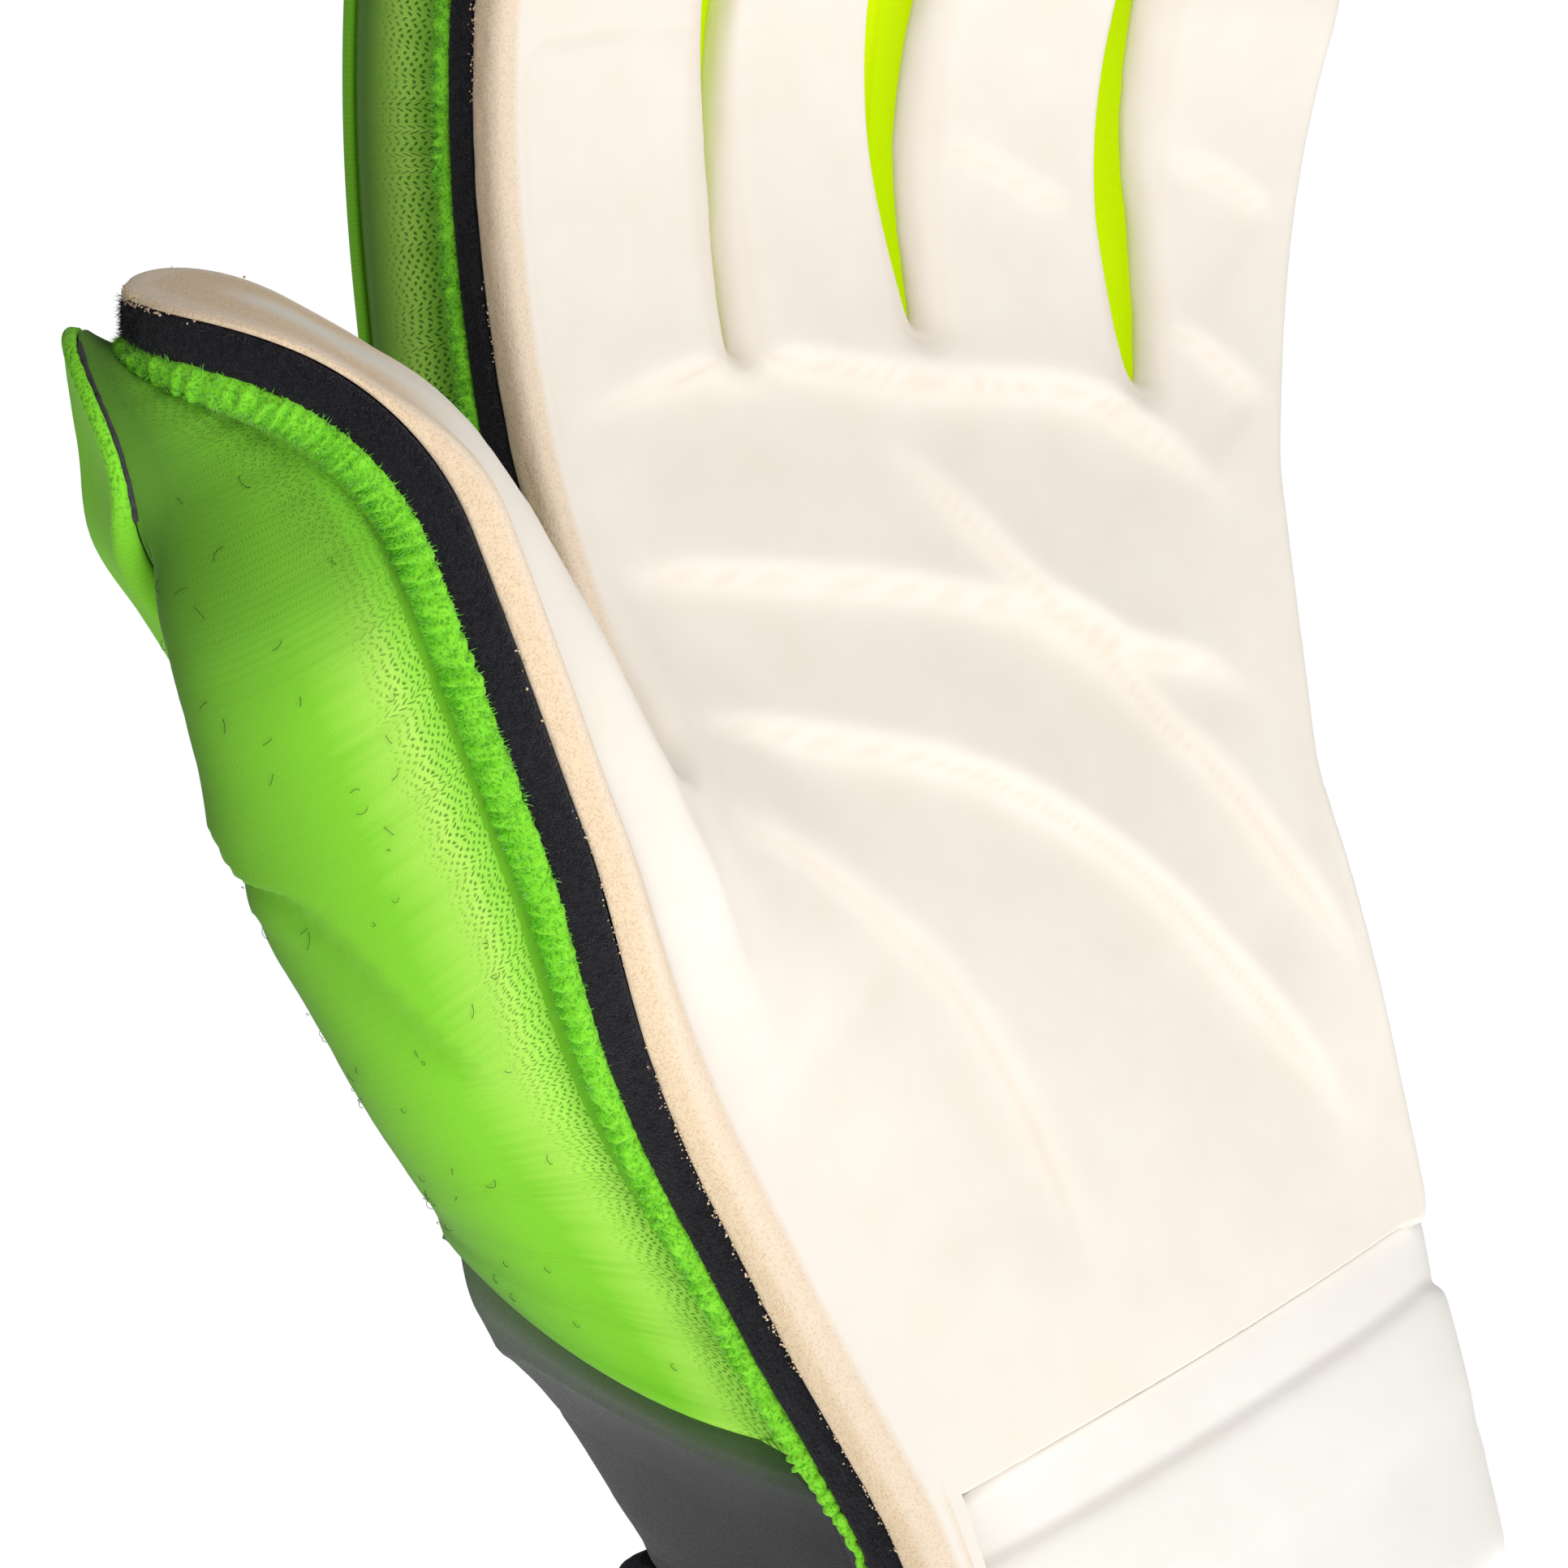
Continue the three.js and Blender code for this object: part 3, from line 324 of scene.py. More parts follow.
def bend(points, is_thumb):
    """Hand space to the object's frame, in millimetres: cup, flex the fingers, fold the thumb side"""
    points = np.asarray(points, float)
    shape = points.shape
    u, v, w = points.reshape(-1, 3).T
    thumb = np.broadcast_to(is_thumb, shape[:-1]).reshape(-1)
    wrist = BEND["wrist_curve"] * ease((v + CUFF_LENGTH) / BEND["mouth_straight_over"])
    k = mix(wrist, BEND["palm_curve"], ease((v - BEND["palm_curve_from"]) / BEND["palm_curve_run"]))
    k = np.where(np.abs(k) < 1e-5, 1e-5, k)
    inner = np.clip(u, -BEND["straight_past"], BEND["straight_past"])
    across = np.sin(k * inner) / k + (u - inner) * np.cos(k * inner)
    front = w + (1 - np.cos(k * inner)) / k + (u - inner) * np.sin(k * inner)

    length = BEND["flex_length"]
    t = (v - BEND["flex_from"]) / length
    flexed = (t > 0) & ~thumb
    t = np.where(flexed, t, 0)
    full = np.full(u.shape, BEND["flex_angle"] * RADIANS)
    cosine, sine = turn_means(full, t)
    end = full * ease(t)
    z = np.where(flexed, BEND["flex_from"] + cosine * t * length - front * np.sin(end), v)
    y = np.where(flexed, sine * t * length + front * np.cos(end), front)

    lean = BEND["fold_line_lean"] * RADIANS
    line_u = BEND["fold_line_u"]
    along = (across - line_u) * -math.sin(lean) + z * math.cos(lean)
    past = (across - line_u) * -math.cos(lean) - z * math.sin(lean)
    at_wrist = BEND["fold_share_at_wrist"]
    share = at_wrist * over(along, BEND["fold_starts"]) + (1 - at_wrist) * over(along, BEND["fold_fills"])
    before = BEND["fold_before"]
    run = before + BEND["fold_after"]
    q = (past + before) / run
    folded = q > 0
    angle = BEND["fold_angle"] * RADIANS * share
    inside = np.clip(q, 0, 1)
    cosine, sine = turn_means(angle, inside)
    end = angle * ease(inside)
    beyond = np.maximum(q - 1, 0) * run
    arc = inside * run
    side = np.where(folded, -before + cosine * arc + beyond * np.cos(angle) - y * np.sin(end), past)
    out = np.where(folded, sine * arc + beyond * np.sin(angle) + y * np.cos(end), y)
    return np.stack([
        line_u - along * math.sin(lean) - side * math.cos(lean) - WRIST_CENTRE["u"],
        -out + WRIST_CENTRE["w"],
        along * math.cos(lean) - side * math.sin(lean) + CUFF_LENGTH,
    ], axis=-1).reshape(shape)


# The pattern: one net of four-sided cells shared by the layers

def spline(rows, s):
    """A smooth curve through the rows at the share s of its length in rows"""
    rows = np.array(rows, float)
    at = min(max(s, 0), 1) * (len(rows) - 1)
    i = min(int(at), len(rows) - 2)
    t = at - i
    p0, p1, p2 = rows[max(i - 1, 0)], rows[i], rows[i + 1]
    p3 = rows[min(i + 2, len(rows) - 1)]
    slope_1 = (p2 - p0) / 2
    slope_2 = (p3 - p1) / 2
    return ((2 * p1 - 2 * p2 + slope_1 + slope_2) * t ** 3
            + (-3 * p1 + 3 * p2 - 2 * slope_1 - slope_2) * t ** 2 + slope_1 * t + p1)


def lower_point(column, s, wrist):
    """A column's point at the share s of the way from the wrist to the thumb's web"""
    name, wrist_u, web_u, web_v, _, _, follow, _ = column
    share = (wrist_u - COLUMNS[0][1]) / (COLUMNS[-1][1] - COLUMNS[0][1])
    start_v = mix(wrist["radial_v"], wrist["ulnar_v"], share)
    radial = spline(RADIAL_SEAM, s) - mix(np.array(RADIAL_SEAM[0]), np.array(RADIAL_SEAM[-1]), s)
    ulnar = spline(ULNAR_SEAM, s)[0] - mix(ULNAR_SEAM[0][0], ULNAR_SEAM[-1][0], s)
    u = mix(wrist_u, web_u, s) + radial[0] * follow + (ulnar if name == "ulnar" else 0)
    return np.array([u, mix(start_v, web_v, s) + radial[1] * follow])


def upper_point(column, s):
    """A column's point at the share s of the way from the thumb's web to the fingers"""
    return np.array([mix(column[2], column[4], s), mix(column[3], column[5], s)])


def digit_axis(digit):
    """The direction toward a digit's tip, and the digit's width"""
    side = np.subtract(digit["right"], digit["left"])
    width = np.hypot(*side)
    return np.array([-side[1], side[0]]) / width, width


def digit_point(digit, row, rows, cap_rows, across, base):
    """Straight rows of a digit, then the rows of its round cap"""
    axis, width = digit_axis(digit)
    left_end, right_end = np.array(digit["left"]), np.array(digit["right"])
    if row <= rows:
        r = row / rows
        hump = 4 * r * (1 - r)
        left = mix(base["left"], left_end, r) - [digit["bows"][0] * hump, 0]
        right = mix(base["right"], right_end, r) + [digit["bows"][1] * hump, 0]
        skew = (1 - r) * (base["at"][1] - mix(base["left"][1], base["right"][1], across))
        return mix(left, right, across) + [0, skew]
    side = across * 2 - 1
    q = CAP_END * math.sin((row - rows) / cap_rows * math.pi / 2)
    half = 0.5 * width * (1 - q ** CAP_POWER) ** (1 / CAP_POWER)
    rise = digit["cap"] * q * (1 + CAP_CROWN * q * (1 - side * side))
    centre = (left_end + right_end) / 2
    return centre + np.array([axis[1], -axis[0]]) * half * side + axis * rise


class Net:
    """Points in u and v, the digit of each (-1 for the palm), cells, and the loop round the edge"""

    def __init__(self, wrist, fine):
        self.fine = fine
        self.points = []
        self.digits = []
        self.cells = []
        self.ids = {}
        self.starts = {}
        total = 0
        for column in COLUMNS:
            self.starts[column[0]] = total
            total += column[7] * fine
        self._fill(wrist)
        self.uv = np.array(self.points)
        self.digit = np.array(self.digits)
        self.cells = np.array(self.cells)
        self._finish_loop()
        self._even_tips()

    def _add(self, key, point, digit):
        if key not in self.ids:
            self.ids[key] = len(self.points)
            self.points.append(point)
            self.digits.append(digit)
        return self.ids[key]

    def _row(self, first, last, key, make, digit):
        row = []
        for k in range(NAMES.index(first), NAMES.index(last)):
            cells = COLUMNS[k][7] * self.fine
            a, b = make(COLUMNS[k]), make(COLUMNS[k + 1])
            for i in range(cells):
                name = (key, self.starts[NAMES[k]] + i)
                row.append(self._add(name, mix(a, b, i / cells), digit))
        row.append(self._add((key, self.starts[last]), make(COLUMNS[NAMES.index(last)]), digit))
        return row

    def _stitch(self, low, high):
        for j in range(len(low) - 1):
            self.cells.append((low[j], low[j + 1], high[j + 1], high[j]))

    def _fill(self, wrist):
        fine = self.fine
        rows = LOWER_ROWS * fine
        lower = []
        for i in range(rows + 1):
            s = i / rows
            lower.append(self._row("radial", "ulnar", f"palm{i}", lambda c: lower_point(c, s, wrist), -1))
            if i:
                self._stitch(lower[-2], lower[-1])
        web = lower[-1]
        upper = [web[self.starts["index_outer"]:]]
        for i in range(1, UPPER_ROWS * fine + 1):
            s = i / (UPPER_ROWS * fine)
            upper.append(self._row("index_outer", "ulnar", f"upper{i}", lambda c: upper_point(c, s), -1))
            self._stitch(upper[-2], upper[-1])
        base_row = upper[-1]

        tab = []
        if wrist["tab_to"] is not None:
            tab = self._fill_tab(wrist, lower[0])
        sides = [self._fill_digit(n, digit, web, base_row) for n, digit in enumerate(DIGITS)]
        self._walk_edge(tab, lower, upper, web, base_row, sides)

    def _fill_tab(self, wrist, first_row):
        fine = self.fine
        previous = first_row[:fine + 1]
        right_top = self.points[first_row[fine]]
        rows = []
        for i in range(1, TAB_ROWS * fine + 1):
            t = i / (TAB_ROWS * fine)
            v = mix(wrist["radial_v"], wrist["tab_to"], t)
            left = np.array([RADIAL_SEAM[0][0] + TAB_SHIFT * t, v])
            rise = mix(right_top[1] - wrist["radial_v"], TAB_RISE, t)
            right = np.array([right_top[0] + TAB_FLARE * t, v + rise])
            row = [self._add((f"tab{i}", j), mix(left, right, j / fine), -1) for j in range(fine + 1)]
            self._stitch(row, previous)
            previous = row
            rows.append(row)
        return rows

    def _fill_digit(self, n, digit, web, base_row):
        source = web if digit["name"] == "thumb" else base_row
        offset = 0 if digit["name"] == "thumb" else self.starts["index_outer"]
        base = source[self.starts[digit["start"]] - offset:self.starts[digit["end"]] - offset + 1]
        ends = {"left": self.points[base[0]], "right": self.points[base[-1]]}
        rows = [base]
        straight = digit["rows"] * self.fine
        cap_rows = CAP_ROWS * self.fine
        for i in range(1, straight + cap_rows + 1):
            row = []
            for j, start in enumerate(base):
                across = j / (len(base) - 1)
                at = digit_point(digit, i, straight, cap_rows, across, {**ends, "at": self.points[start]})
                row.append(self._add((digit["name"], i, j), at, n))
            self._stitch(rows[-1], row)
            rows.append(row)
        last = rows[-1]
        return {"up": [r[0] for r in rows[1:]], "top": last[1:-1], "down": [r[-1] for r in rows[1:]][::-1]}

    def _walk_edge(self, tab, lower, upper, web, base_row, sides):
        """The edge as stations (point, digit, part), first the seam and then the wrist's edge"""
        line = []

        def push(ids, digit, part):
            line.extend((i, digit, part) for i in ids)

        push([row[0] for row in tab[::-1]], -1, "thumb_outer")
        push([row[0] for row in lower], -1, "thumb_outer")
        offset = self.starts["index_outer"]
        self.tips = []
        for n, digit in enumerate(DIGITS):
            side = sides[n]
            half = math.ceil(len(side["top"]) / 2)
            push(side["up"], n, GUSSETS[n])
            push(side["top"][:half], n, GUSSETS[n])
            self.tips.append(len(line))
            push(side["top"][half:], n, GUSSETS[n + 1])
            push(side["down"], n, GUSSETS[n + 1])
            if digit["name"] == "thumb":
                push([web[self.starts["thumb_inner"]]], n, GUSSETS[n + 1])
                first = self.starts["thumb_inner"] + 1
                push(web[first:self.starts["index_outer"]], n, GUSSETS[n + 1])
                push([row[0] for row in upper], -1, GUSSETS[n + 1])
            elif digit["name"] != "little":
                first = self.starts[digit["end"]] - offset
                last = self.starts[DIGITS[n + 1]["start"]] - offset
                middle = (first + last) // 2
                push(base_row[first:middle + 1], n, GUSSETS[n + 1])
                push(base_row[middle + 1:last + 1], n + 1, GUSSETS[n + 1])
            else:
                push([row[-1] for row in upper[::-1]], -1, GUSSETS[n + 1])
                push([row[-1] for row in lower[-2::-1]], -1, GUSSETS[n + 1])
        self.seam_count = len(line)
        inner = lower[0][1:-1][::-1]
        if tab:
            inner = lower[0][self.fine:-1][::-1]
            inner += [row[-1] for row in tab] + tab[-1][1:-1][::-1]
        push(inner, -1, "wrist")
        self.loop = line
        self.tab_stations = len(tab)

    def _finish_loop(self):
        ids = np.array([s[0] for s in self.loop])
        self.loop_ids = ids
        self.loop_digit = np.array([s[1] for s in self.loop])
        self.loop_part = [s[2] for s in self.loop]
        self._smooth_seam(ids)
        seam = self.uv[ids]
        forward = np.roll(seam, -1, 0) - np.roll(seam, 1, 0)
        normal = unit(np.stack([-forward[:, 1], forward[:, 0]], 1))
        step = np.linalg.norm(np.roll(seam, -1, 0) - seam, axis=1)
        passes = max(2, int(round(NORMAL_SPREAD / step.mean())))
        for _ in range(passes):
            normal = unit(soften(normal))
        self.normal = normal
        self.rolled = self._loop_blend(lambda part: part in ROLLED, BLEND["rolled"])
        seamed = self._loop_blend(lambda part: part != "wrist", BLEND["seamed"])
        self.bare = self._loop_blend(lambda part: part in GUSSETS[:2], BLEND["bare"])
        lip = np.full(len(ids), SEAM_ALLOWANCE, float)
        for part, rows in LIPS.items():
            mine = np.array([own == part for own in self.loop_part])
            lip[mine] = value_at(rows, seam[mine, 1])
            nearer = self.loop_digit == GUSSETS.index(part)
            lean = LIP_LEAN[part] * over(seam[mine, 1], LIP_LEAN_RUN)
            lip[mine] += np.where(nearer[mine], lean, -lean)
        self.reach = mix(WRIST_EDGE_REACH, mix(SEAM_ALLOWANCE, lip, self.rolled), seamed)

    def _smooth_seam(self, ids):
        """Takes the kinks out of the seam line, and carries the points near it along"""
        seam = self.uv[ids].copy()
        moved = seam.copy()
        held = np.zeros(len(ids), bool)
        held[0] = held[self.seam_count - 1] = True
        held[self.seam_count:] = True
        for part in ROLLED:
            self._round_crotch(moved, np.flatnonzero([own == part for own in self.loop_part]))
        for _ in range(max(2, 3 * self.fine // 2)):
            moved = np.where(held[:, None], moved, soften(moved))
        nearest, gap = nearest_on(self.uv, seam)
        fade = np.clip(1 - gap / SEAM_PULL, 0, 1) ** 2
        self.uv = self.uv + (moved - seam)[nearest] * fade[:, None]

    def _even_tips(self):
        """Evens out the points inside the round tips, so that no cell there is folded"""
        free = np.zeros(len(self.uv), bool)
        for n, digit in enumerate(DIGITS):
            axis, _ = digit_axis(digit)
            middle = (np.array(digit["left"]) + digit["right"]) / 2
            free |= (self.digit == n) & ((self.uv - middle) @ axis > -TIP_MARGIN)
        free[self.loop_ids] = False
        cells = self.cells[free[self.cells].any(1)]
        a = cells.ravel()
        b = np.roll(cells, -1, 1).ravel()
        ends, others = np.concatenate([a, b]), np.concatenate([b, a])
        count = np.maximum(np.bincount(ends, minlength=len(free)), 1)
        for _ in range(TIP_PASSES * self.fine):
            total = [np.bincount(ends, self.uv[others, k], len(free)) for k in (0, 1)]
            self.uv = np.where(free[:, None], np.stack(total, 1) / count[:, None], self.uv)

    def _round_crotch(self, seam, ids):
        """Makes the bottom of a finger gap a half circle between the two fingers' edges"""
        line = seam[ids]
        low = int(line[:, 1].argmin())
        half = np.linalg.norm(line[min(low + 3 * self.fine, len(line) - 1)] - line[low - 3 * self.fine]) / 2
        base = line[:, 1].min()
        near = np.flatnonzero(line[:, 1] < base + half)
        first, last = near[0], near[-1]
        part = line[first:last + 1]
        run = lengths_along(part)
        turn = run / run[-1] * math.pi
        middle = (part[0] + part[-1]) / 2
        side = (part[-1] - part[0]) / 2
        down = np.array([side[1], -side[0]])
        bottom = np.outer(np.sin(turn), down) * CROTCH_DEPTH
        seam[ids[first:last + 1]] = middle - np.outer(np.cos(turn), side) + bottom

    def _loop_blend(self, value, passes):
        field = np.array([float(value(part)) for part in self.loop_part])
        for _ in range(passes * self.fine // 2):
            field = soften(field)
        return field

    def beside(self, distance):
        """Points beside the loop, a distance outward in the pattern"""
        return self.uv[self.loop_ids] + self.normal * np.asarray(distance).reshape(-1, 1)


# Where a point of the pattern lies in hand space

def past_curl(uv, digit):
    """How far each point lies past the place where its digit starts to curl"""
    past = np.zeros(len(uv))
    for n, row in enumerate(DIGITS):
        axis, _ = digit_axis(row)
        centre = (np.array(row["left"]) + row["right"]) / 2
        end = centre @ axis + row["cap"] + SEAM_ALLOWANCE
        mine = digit == n
        past[mine] = np.maximum(0, uv[mine] @ axis - (end - row["curl_length"]))
    return past


def digit_values(digit, key, other=0.0):
    table = np.array([row[key] for row in DIGITS] + [other], float)
    return table[digit]


def digit_axes(digit):
    table = np.array([digit_axis(row)[0] for row in DIGITS] + [np.zeros(2)])
    return table[digit]


def shift_at(uv, digit):
    return digit_values(digit, "shift") * over(uv[:, 1], SHIFT_RUN)


def wrap_at(uv):
    """How far the back's edge is drawn in on the thumb side"""
    side = ease((THUMB_WRAP["from"] - uv @ THUMB_ACROSS) / THUMB_WRAP["run"])
    tip = ease((THUMB_WRAP["tip_at"] - uv @ THUMB_ALONG) / THUMB_WRAP["tip_run"])
    return value_at(DRAWN_IN, uv[:, 1]) * side * tip


def thumb_share(uv):
    return ease((THUMB_SHARE["from"] - uv @ THUMB_ACROSS) / THUMB_SHARE["run"])


def edge_depth(uv):
    """How deep the hand is at its edge: at the wrist, palm, fingers and thumb"""
    palm = mix(WRIST_DEPTH, PALM_DEPTH, over(uv[:, 1], PALM_DEPTH_RUN))
    hand = mix(palm, FINGER_DEPTH, over(uv[:, 1], FINGER_DEPTH_RUN))
    return mix(hand, soft_value_at(THUMB_DEPTHS, uv @ THUMB_ALONG, THUMB_DEPTHS_SOFT), thumb_share(uv))


def on_palm(uv, digit, w):
    """Points on the palm's side, whose layers curl back together at each tip"""
    past = past_curl(uv, digit)
    radius = digit_values(digit, "curl_radius", 30)
    w = np.broadcast_to(w, past.shape)
    angle = past / radius
    run = np.where(past > 0, (radius + w) * np.sin(angle) - past, 0)
    height = np.where(past > 0, (radius + w) * np.cos(angle) - radius, w)
    place = uv + digit_axes(digit) * run[:, None]
    return np.column_stack([place, height - shift_at(uv, digit)])


def on_back(uv, digit, w):
    """Points on the back of the hand, whose digits end a little short of the palm's"""
    past = past_curl(uv, digit)
    place = uv - digit_axes(digit) * (past * (1 - digit_values(digit, "shrink", 1)))[:, None]
    place = place + np.outer(wrap_at(uv), THUMB_ACROSS)
    return np.column_stack([place, w - shift_at(uv, digit)])


def thinned(uv, digit):
    """The share of the latex's thickness that is left toward the tips"""
    lost = np.where(digit == 0, THUMB_THINNING, TIP_THINNING)
    return 1 - lost * ease(past_curl(uv, digit) / THINNING_RUN)


def distance_to(points, outline):
    """Distance from each point to a line of points, the share of its length there, and the point's side"""
    outline = np.asarray(outline, float)
    a, b = outline[:-1], outline[1:]
    ab = b - a
    square = np.maximum((ab ** 2).sum(1), 1e-9)
    lengths = np.concatenate([[0], np.cumsum(np.sqrt(square))])
    best = np.full(len(points), 1e9)
    share = np.zeros(len(points))
    side = np.zeros(len(points))
    for start in range(0, len(points), BLOCK):
        block = slice(start, start + BLOCK)
        p = points[block]
        t = np.clip(((p[:, None] - a) * ab).sum(2) / square, 0, 1)
        gap = p[:, None] - (a + t[..., None] * ab)
        distance = np.linalg.norm(gap, axis=2)
        k = distance.argmin(1)
        rows = np.arange(len(p))
        best[block] = distance[rows, k]
        share[block] = (lengths[k] + t[rows, k] * np.sqrt(square[k])) / lengths[-1]
        side[block] = np.sign(ab[k, 0] * gap[rows, k, 1] - ab[k, 1] * gap[rows, k, 0])
    return best, share, side


def back_rise(uv, outline):
    """How far the back of the hand rises behind its seam"""
    near = np.clip(distance_to(uv, outline)[0] / RISE_RUN, 0, 1)
    height = BACK_RISE + WRIST_EXTRA_RISE * (1 - over(uv[:, 1], WRIST_RISE_RUN))
    return height * (1 - (1 - near) ** 2) * (1 - thumb_share(uv))


# Smooth noise along a line and over a surface, always the same

def wander(x, seed, period):
    """A smooth random line between -1 and 1 with features of about one period"""
    x = np.asarray(x, float) / period
    i = np.floor(x).astype(int)
    t = x - i
    t = t * t * (3 - 2 * t)

    def knot(n):
        return np.modf(np.abs(np.sin(n * 127.1 + seed * 311.7) * 43758.5453))[0] * 2 - 1

    return mix(knot(i), knot(i + 1), t)


def ripple(uv, seed, period):
    """Smooth random bumps over the pattern: two wandering lines across each other"""
    a = 0.6 + seed
    x = uv[:, 0] * math.cos(a) - uv[:, 1] * math.sin(a)
    y = uv[:, 0] * math.sin(a) + uv[:, 1] * math.cos(a)
    first = wander(x + 1.7 * period * wander(y, seed + 3, period * 1.4), seed, period)
    second = wander(y + 1.3 * period * wander(x, seed + 5, period * 1.6), seed + 1, period)
    return first * second


# The soft unevenness of each surface: height, seed and period of its bumps
UNEVEN = {
    "latex": [(0.25, 1, 19), (0.06, 4, 8)],
    "back": [(0.35, 7, 14)],
    "wall": [(0.3, 2, 15), (0.1, 9, 5)],
    "frill": [(1.5, 21, 1.1), (0.9, 25, 0.55)],
    "strap": [(0.14, 12, 13), (0.05, 15, 4)],
}


def uneven(kind, place):
    return sum(height * ripple(place, seed, period) for height, seed, period in UNEVEN[kind])


# Meshes

def make_piece(name, vertices, faces, uv=None, values=None):
    """A smooth mesh object from points in millimetres, with its pattern map and point values"""
    faces = np.asarray(faces)
    uv = np.zeros((len(vertices), 2)) if uv is None else np.asarray(uv, float)
    size = faces.shape[1]
    mesh = bpy.data.meshes.new(name)
    mesh.vertices.add(len(vertices))
    mesh.vertices.foreach_set("co", (np.asarray(vertices, float) * MM).ravel())
    mesh.loops.add(faces.size)
    mesh.loops.foreach_set("vertex_index", faces.ravel().astype(np.int32))
    mesh.polygons.add(len(faces))
    mesh.polygons.foreach_set("loop_start", np.arange(0, faces.size, size, dtype=np.int32))
    mesh.polygons.foreach_set("loop_total", np.full(len(faces), size, np.int32))
    mesh.polygons.foreach_set("use_smooth", np.ones(len(faces), bool))
    mesh.update(calc_edges=True)
    mesh.validate()
    layer = mesh.uv_layers.new(name="pattern")
    corners = np.empty(len(mesh.loops), np.int32)
    mesh.loops.foreach_get("vertex_index", corners)
    layer.data.foreach_set("uv", uv[corners].ravel())
    for key, field in (values or {}).items():
        attribute = mesh.attributes.new(key, "FLOAT", "POINT")
        attribute.data.foreach_set("value", np.asarray(field, np.float32))
    piece = bpy.data.objects.new(name, mesh)
    bpy.context.scene.collection.objects.link(piece)
    return piece


def index_faces(index, closed):
    """Four-sided faces between rows of point numbers"""
    right = np.roll(index, -1, 1)
    if not closed:
        index, right = index[:, :-1], right[:, :-1]
    return np.stack([index[:-1], right[:-1], right[1:], index[1:]], -1).reshape(-1, 4)


def closed_volume(points, faces):
    a, b, c, d = (points[faces[:, k]] for k in range(4))
    first, second = np.einsum("ij,ij->i", a, np.cross(b, c)), np.einsum("ij,ij->i", a, np.cross(c, d))
    return (first + second).sum() / 6


def facing_out(points, faces):
    """The faces of a closed surface, turned round if they look inward"""
    return faces[:, ::-1] if closed_volume(points, faces) < 0 else faces


def dress(piece, slot, material, *nodes):
    """Gives a piece its material, its body and the solids that it takes the place of; the slot is not used"""
    piece.data.materials.append(material)
    if nodes:
        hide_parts(*nodes)
    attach(piece, "root")
    return piece


# Lines and folds pressed in the palm, in u and v
CREASES = [
    # points, depth of the step, half width of the step
    ([(-53, 98), (-49, 100), (-40, 103), (-31.5, 105), (-27, 106), (-17, 105), (0, 102), (13, 101), (22, 99),
      (27, 96), (35, 89), (40, 83)], 1.5, 1.1),
    ([(-53, 80), (-50, 82), (-40, 82.5), (-24, 81), (-8, 79), (6, 76), (13, 73.5), (18, 70), (28, 67),
      (37.5, 61)], 1.3, 1.0),
    ([(-11, 98.5), (-4, 92), (2, 84), (8, 77), (16, 70), (23, 60), (27, 55), (35, 42), (44.5, 27)], 1.1, 1.2),
    ([(-51, 67), (-39, 66), (-28.5, 64), (-6, 58), (12, 46), (26.5, 29), (39, 10)], 1.4, 1.1),
    ([(-51, 58), (-42.5, 55), (-32.5, 51), (-19, 39), (-12, 25.5), (-8, 11), (-8, 0)], 0.8, 1.8),
    ([(4, 130), (9.5, 128), (24, 121)], 0.7, 1.1),
    ([(37, 127), (45, 125), (53, 119)], 0.7, 1.1),
    ([(34, 107), (41, 102.5), (47, 96)], 0.8, 1.1),
    ([(-24, 142), (-14, 143), (-6, 142)], 0.4, 1.3),
]
# The form of a fold, with its depth as 1: the share of its length over which it ends, the swelling above
# its step and how far that runs, and the hollow under the step
FOLD_FORM = {"ends": 0.2, "swell": 0.55, "swell_run": 9, "hollow": 0.4, "hollow_deepens": 5,
             "hollow_run": 5.5}
# Painted shade of the folds: a dark line along each groove, where it lies and how wide it is, and a softer
# shade below the step and how far it runs
FOLD_SHADE = {"groove": 0.8, "groove_at": -0.4, "groove_width": 0.45, "below": 0.3, "below_run": 7}
PRESSED_LINES = [
    ([(-52.5, 139), (-52.6, 119), (-53.3, 98)], 0.45, 0.4),
    ([(-52.5, 139.5), (-50.5, 141.3), (-47, 142), (-29, 143)], 0.45, 0.4),
]


def smooth_line(points, steps=60):
    return np.array([spline(points, i / steps) for i in range(steps + 1)])


def crease_fields(uv, scale):
    """Height of the folds and pressed lines, and the painted shade in and below them: each fold steps down
    toward the wrist
    """
    height = np.zeros(len(uv))
    shade = np.zeros(len(uv))
    for points, depth, width in CREASES:
        distance, share, side = distance_to(uv, smooth_line(points))
        ends = ease(share / FOLD_FORM["ends"]) * ease((1 - share) / FOLD_FORM["ends"])
        above = distance * side
        step = 0.5 + 0.5 * np.tanh(above / width)
        swell = FOLD_FORM["swell"] * np.exp(-np.maximum(above, 0) / FOLD_FORM["swell_run"])
        low = np.maximum(-above, 0)
        hollow = FOLD_FORM["hollow"] + low / FOLD_FORM["hollow_deepens"]
        hollow = hollow * np.exp(-low / FOLD_FORM["hollow_run"])
        height += ends * depth * scale * (step * swell - (1 - step) * hollow)
        from_groove = (above - FOLD_SHADE["groove_at"] * width) / (FOLD_SHADE["groove_width"] * width)
        groove = FOLD_SHADE["groove"] * np.exp(-from_groove ** 2)
        shadow = FOLD_SHADE["below"] * (1 - step) * np.exp(-low / FOLD_SHADE["below_run"])
        shade = np.maximum(shade, ends * np.maximum(groove, shadow) * min(depth, 1))
    for points, depth, width in PRESSED_LINES:
        distance, share, _ = distance_to(uv, smooth_line(points))
        open_end = (share > 0.002) & (share < 0.998)
        groove = np.exp(-(distance / width) ** 2) * open_end
        height -= depth * groove
        shade = np.maximum(shade, 0.4 * groove)
    return height, shade


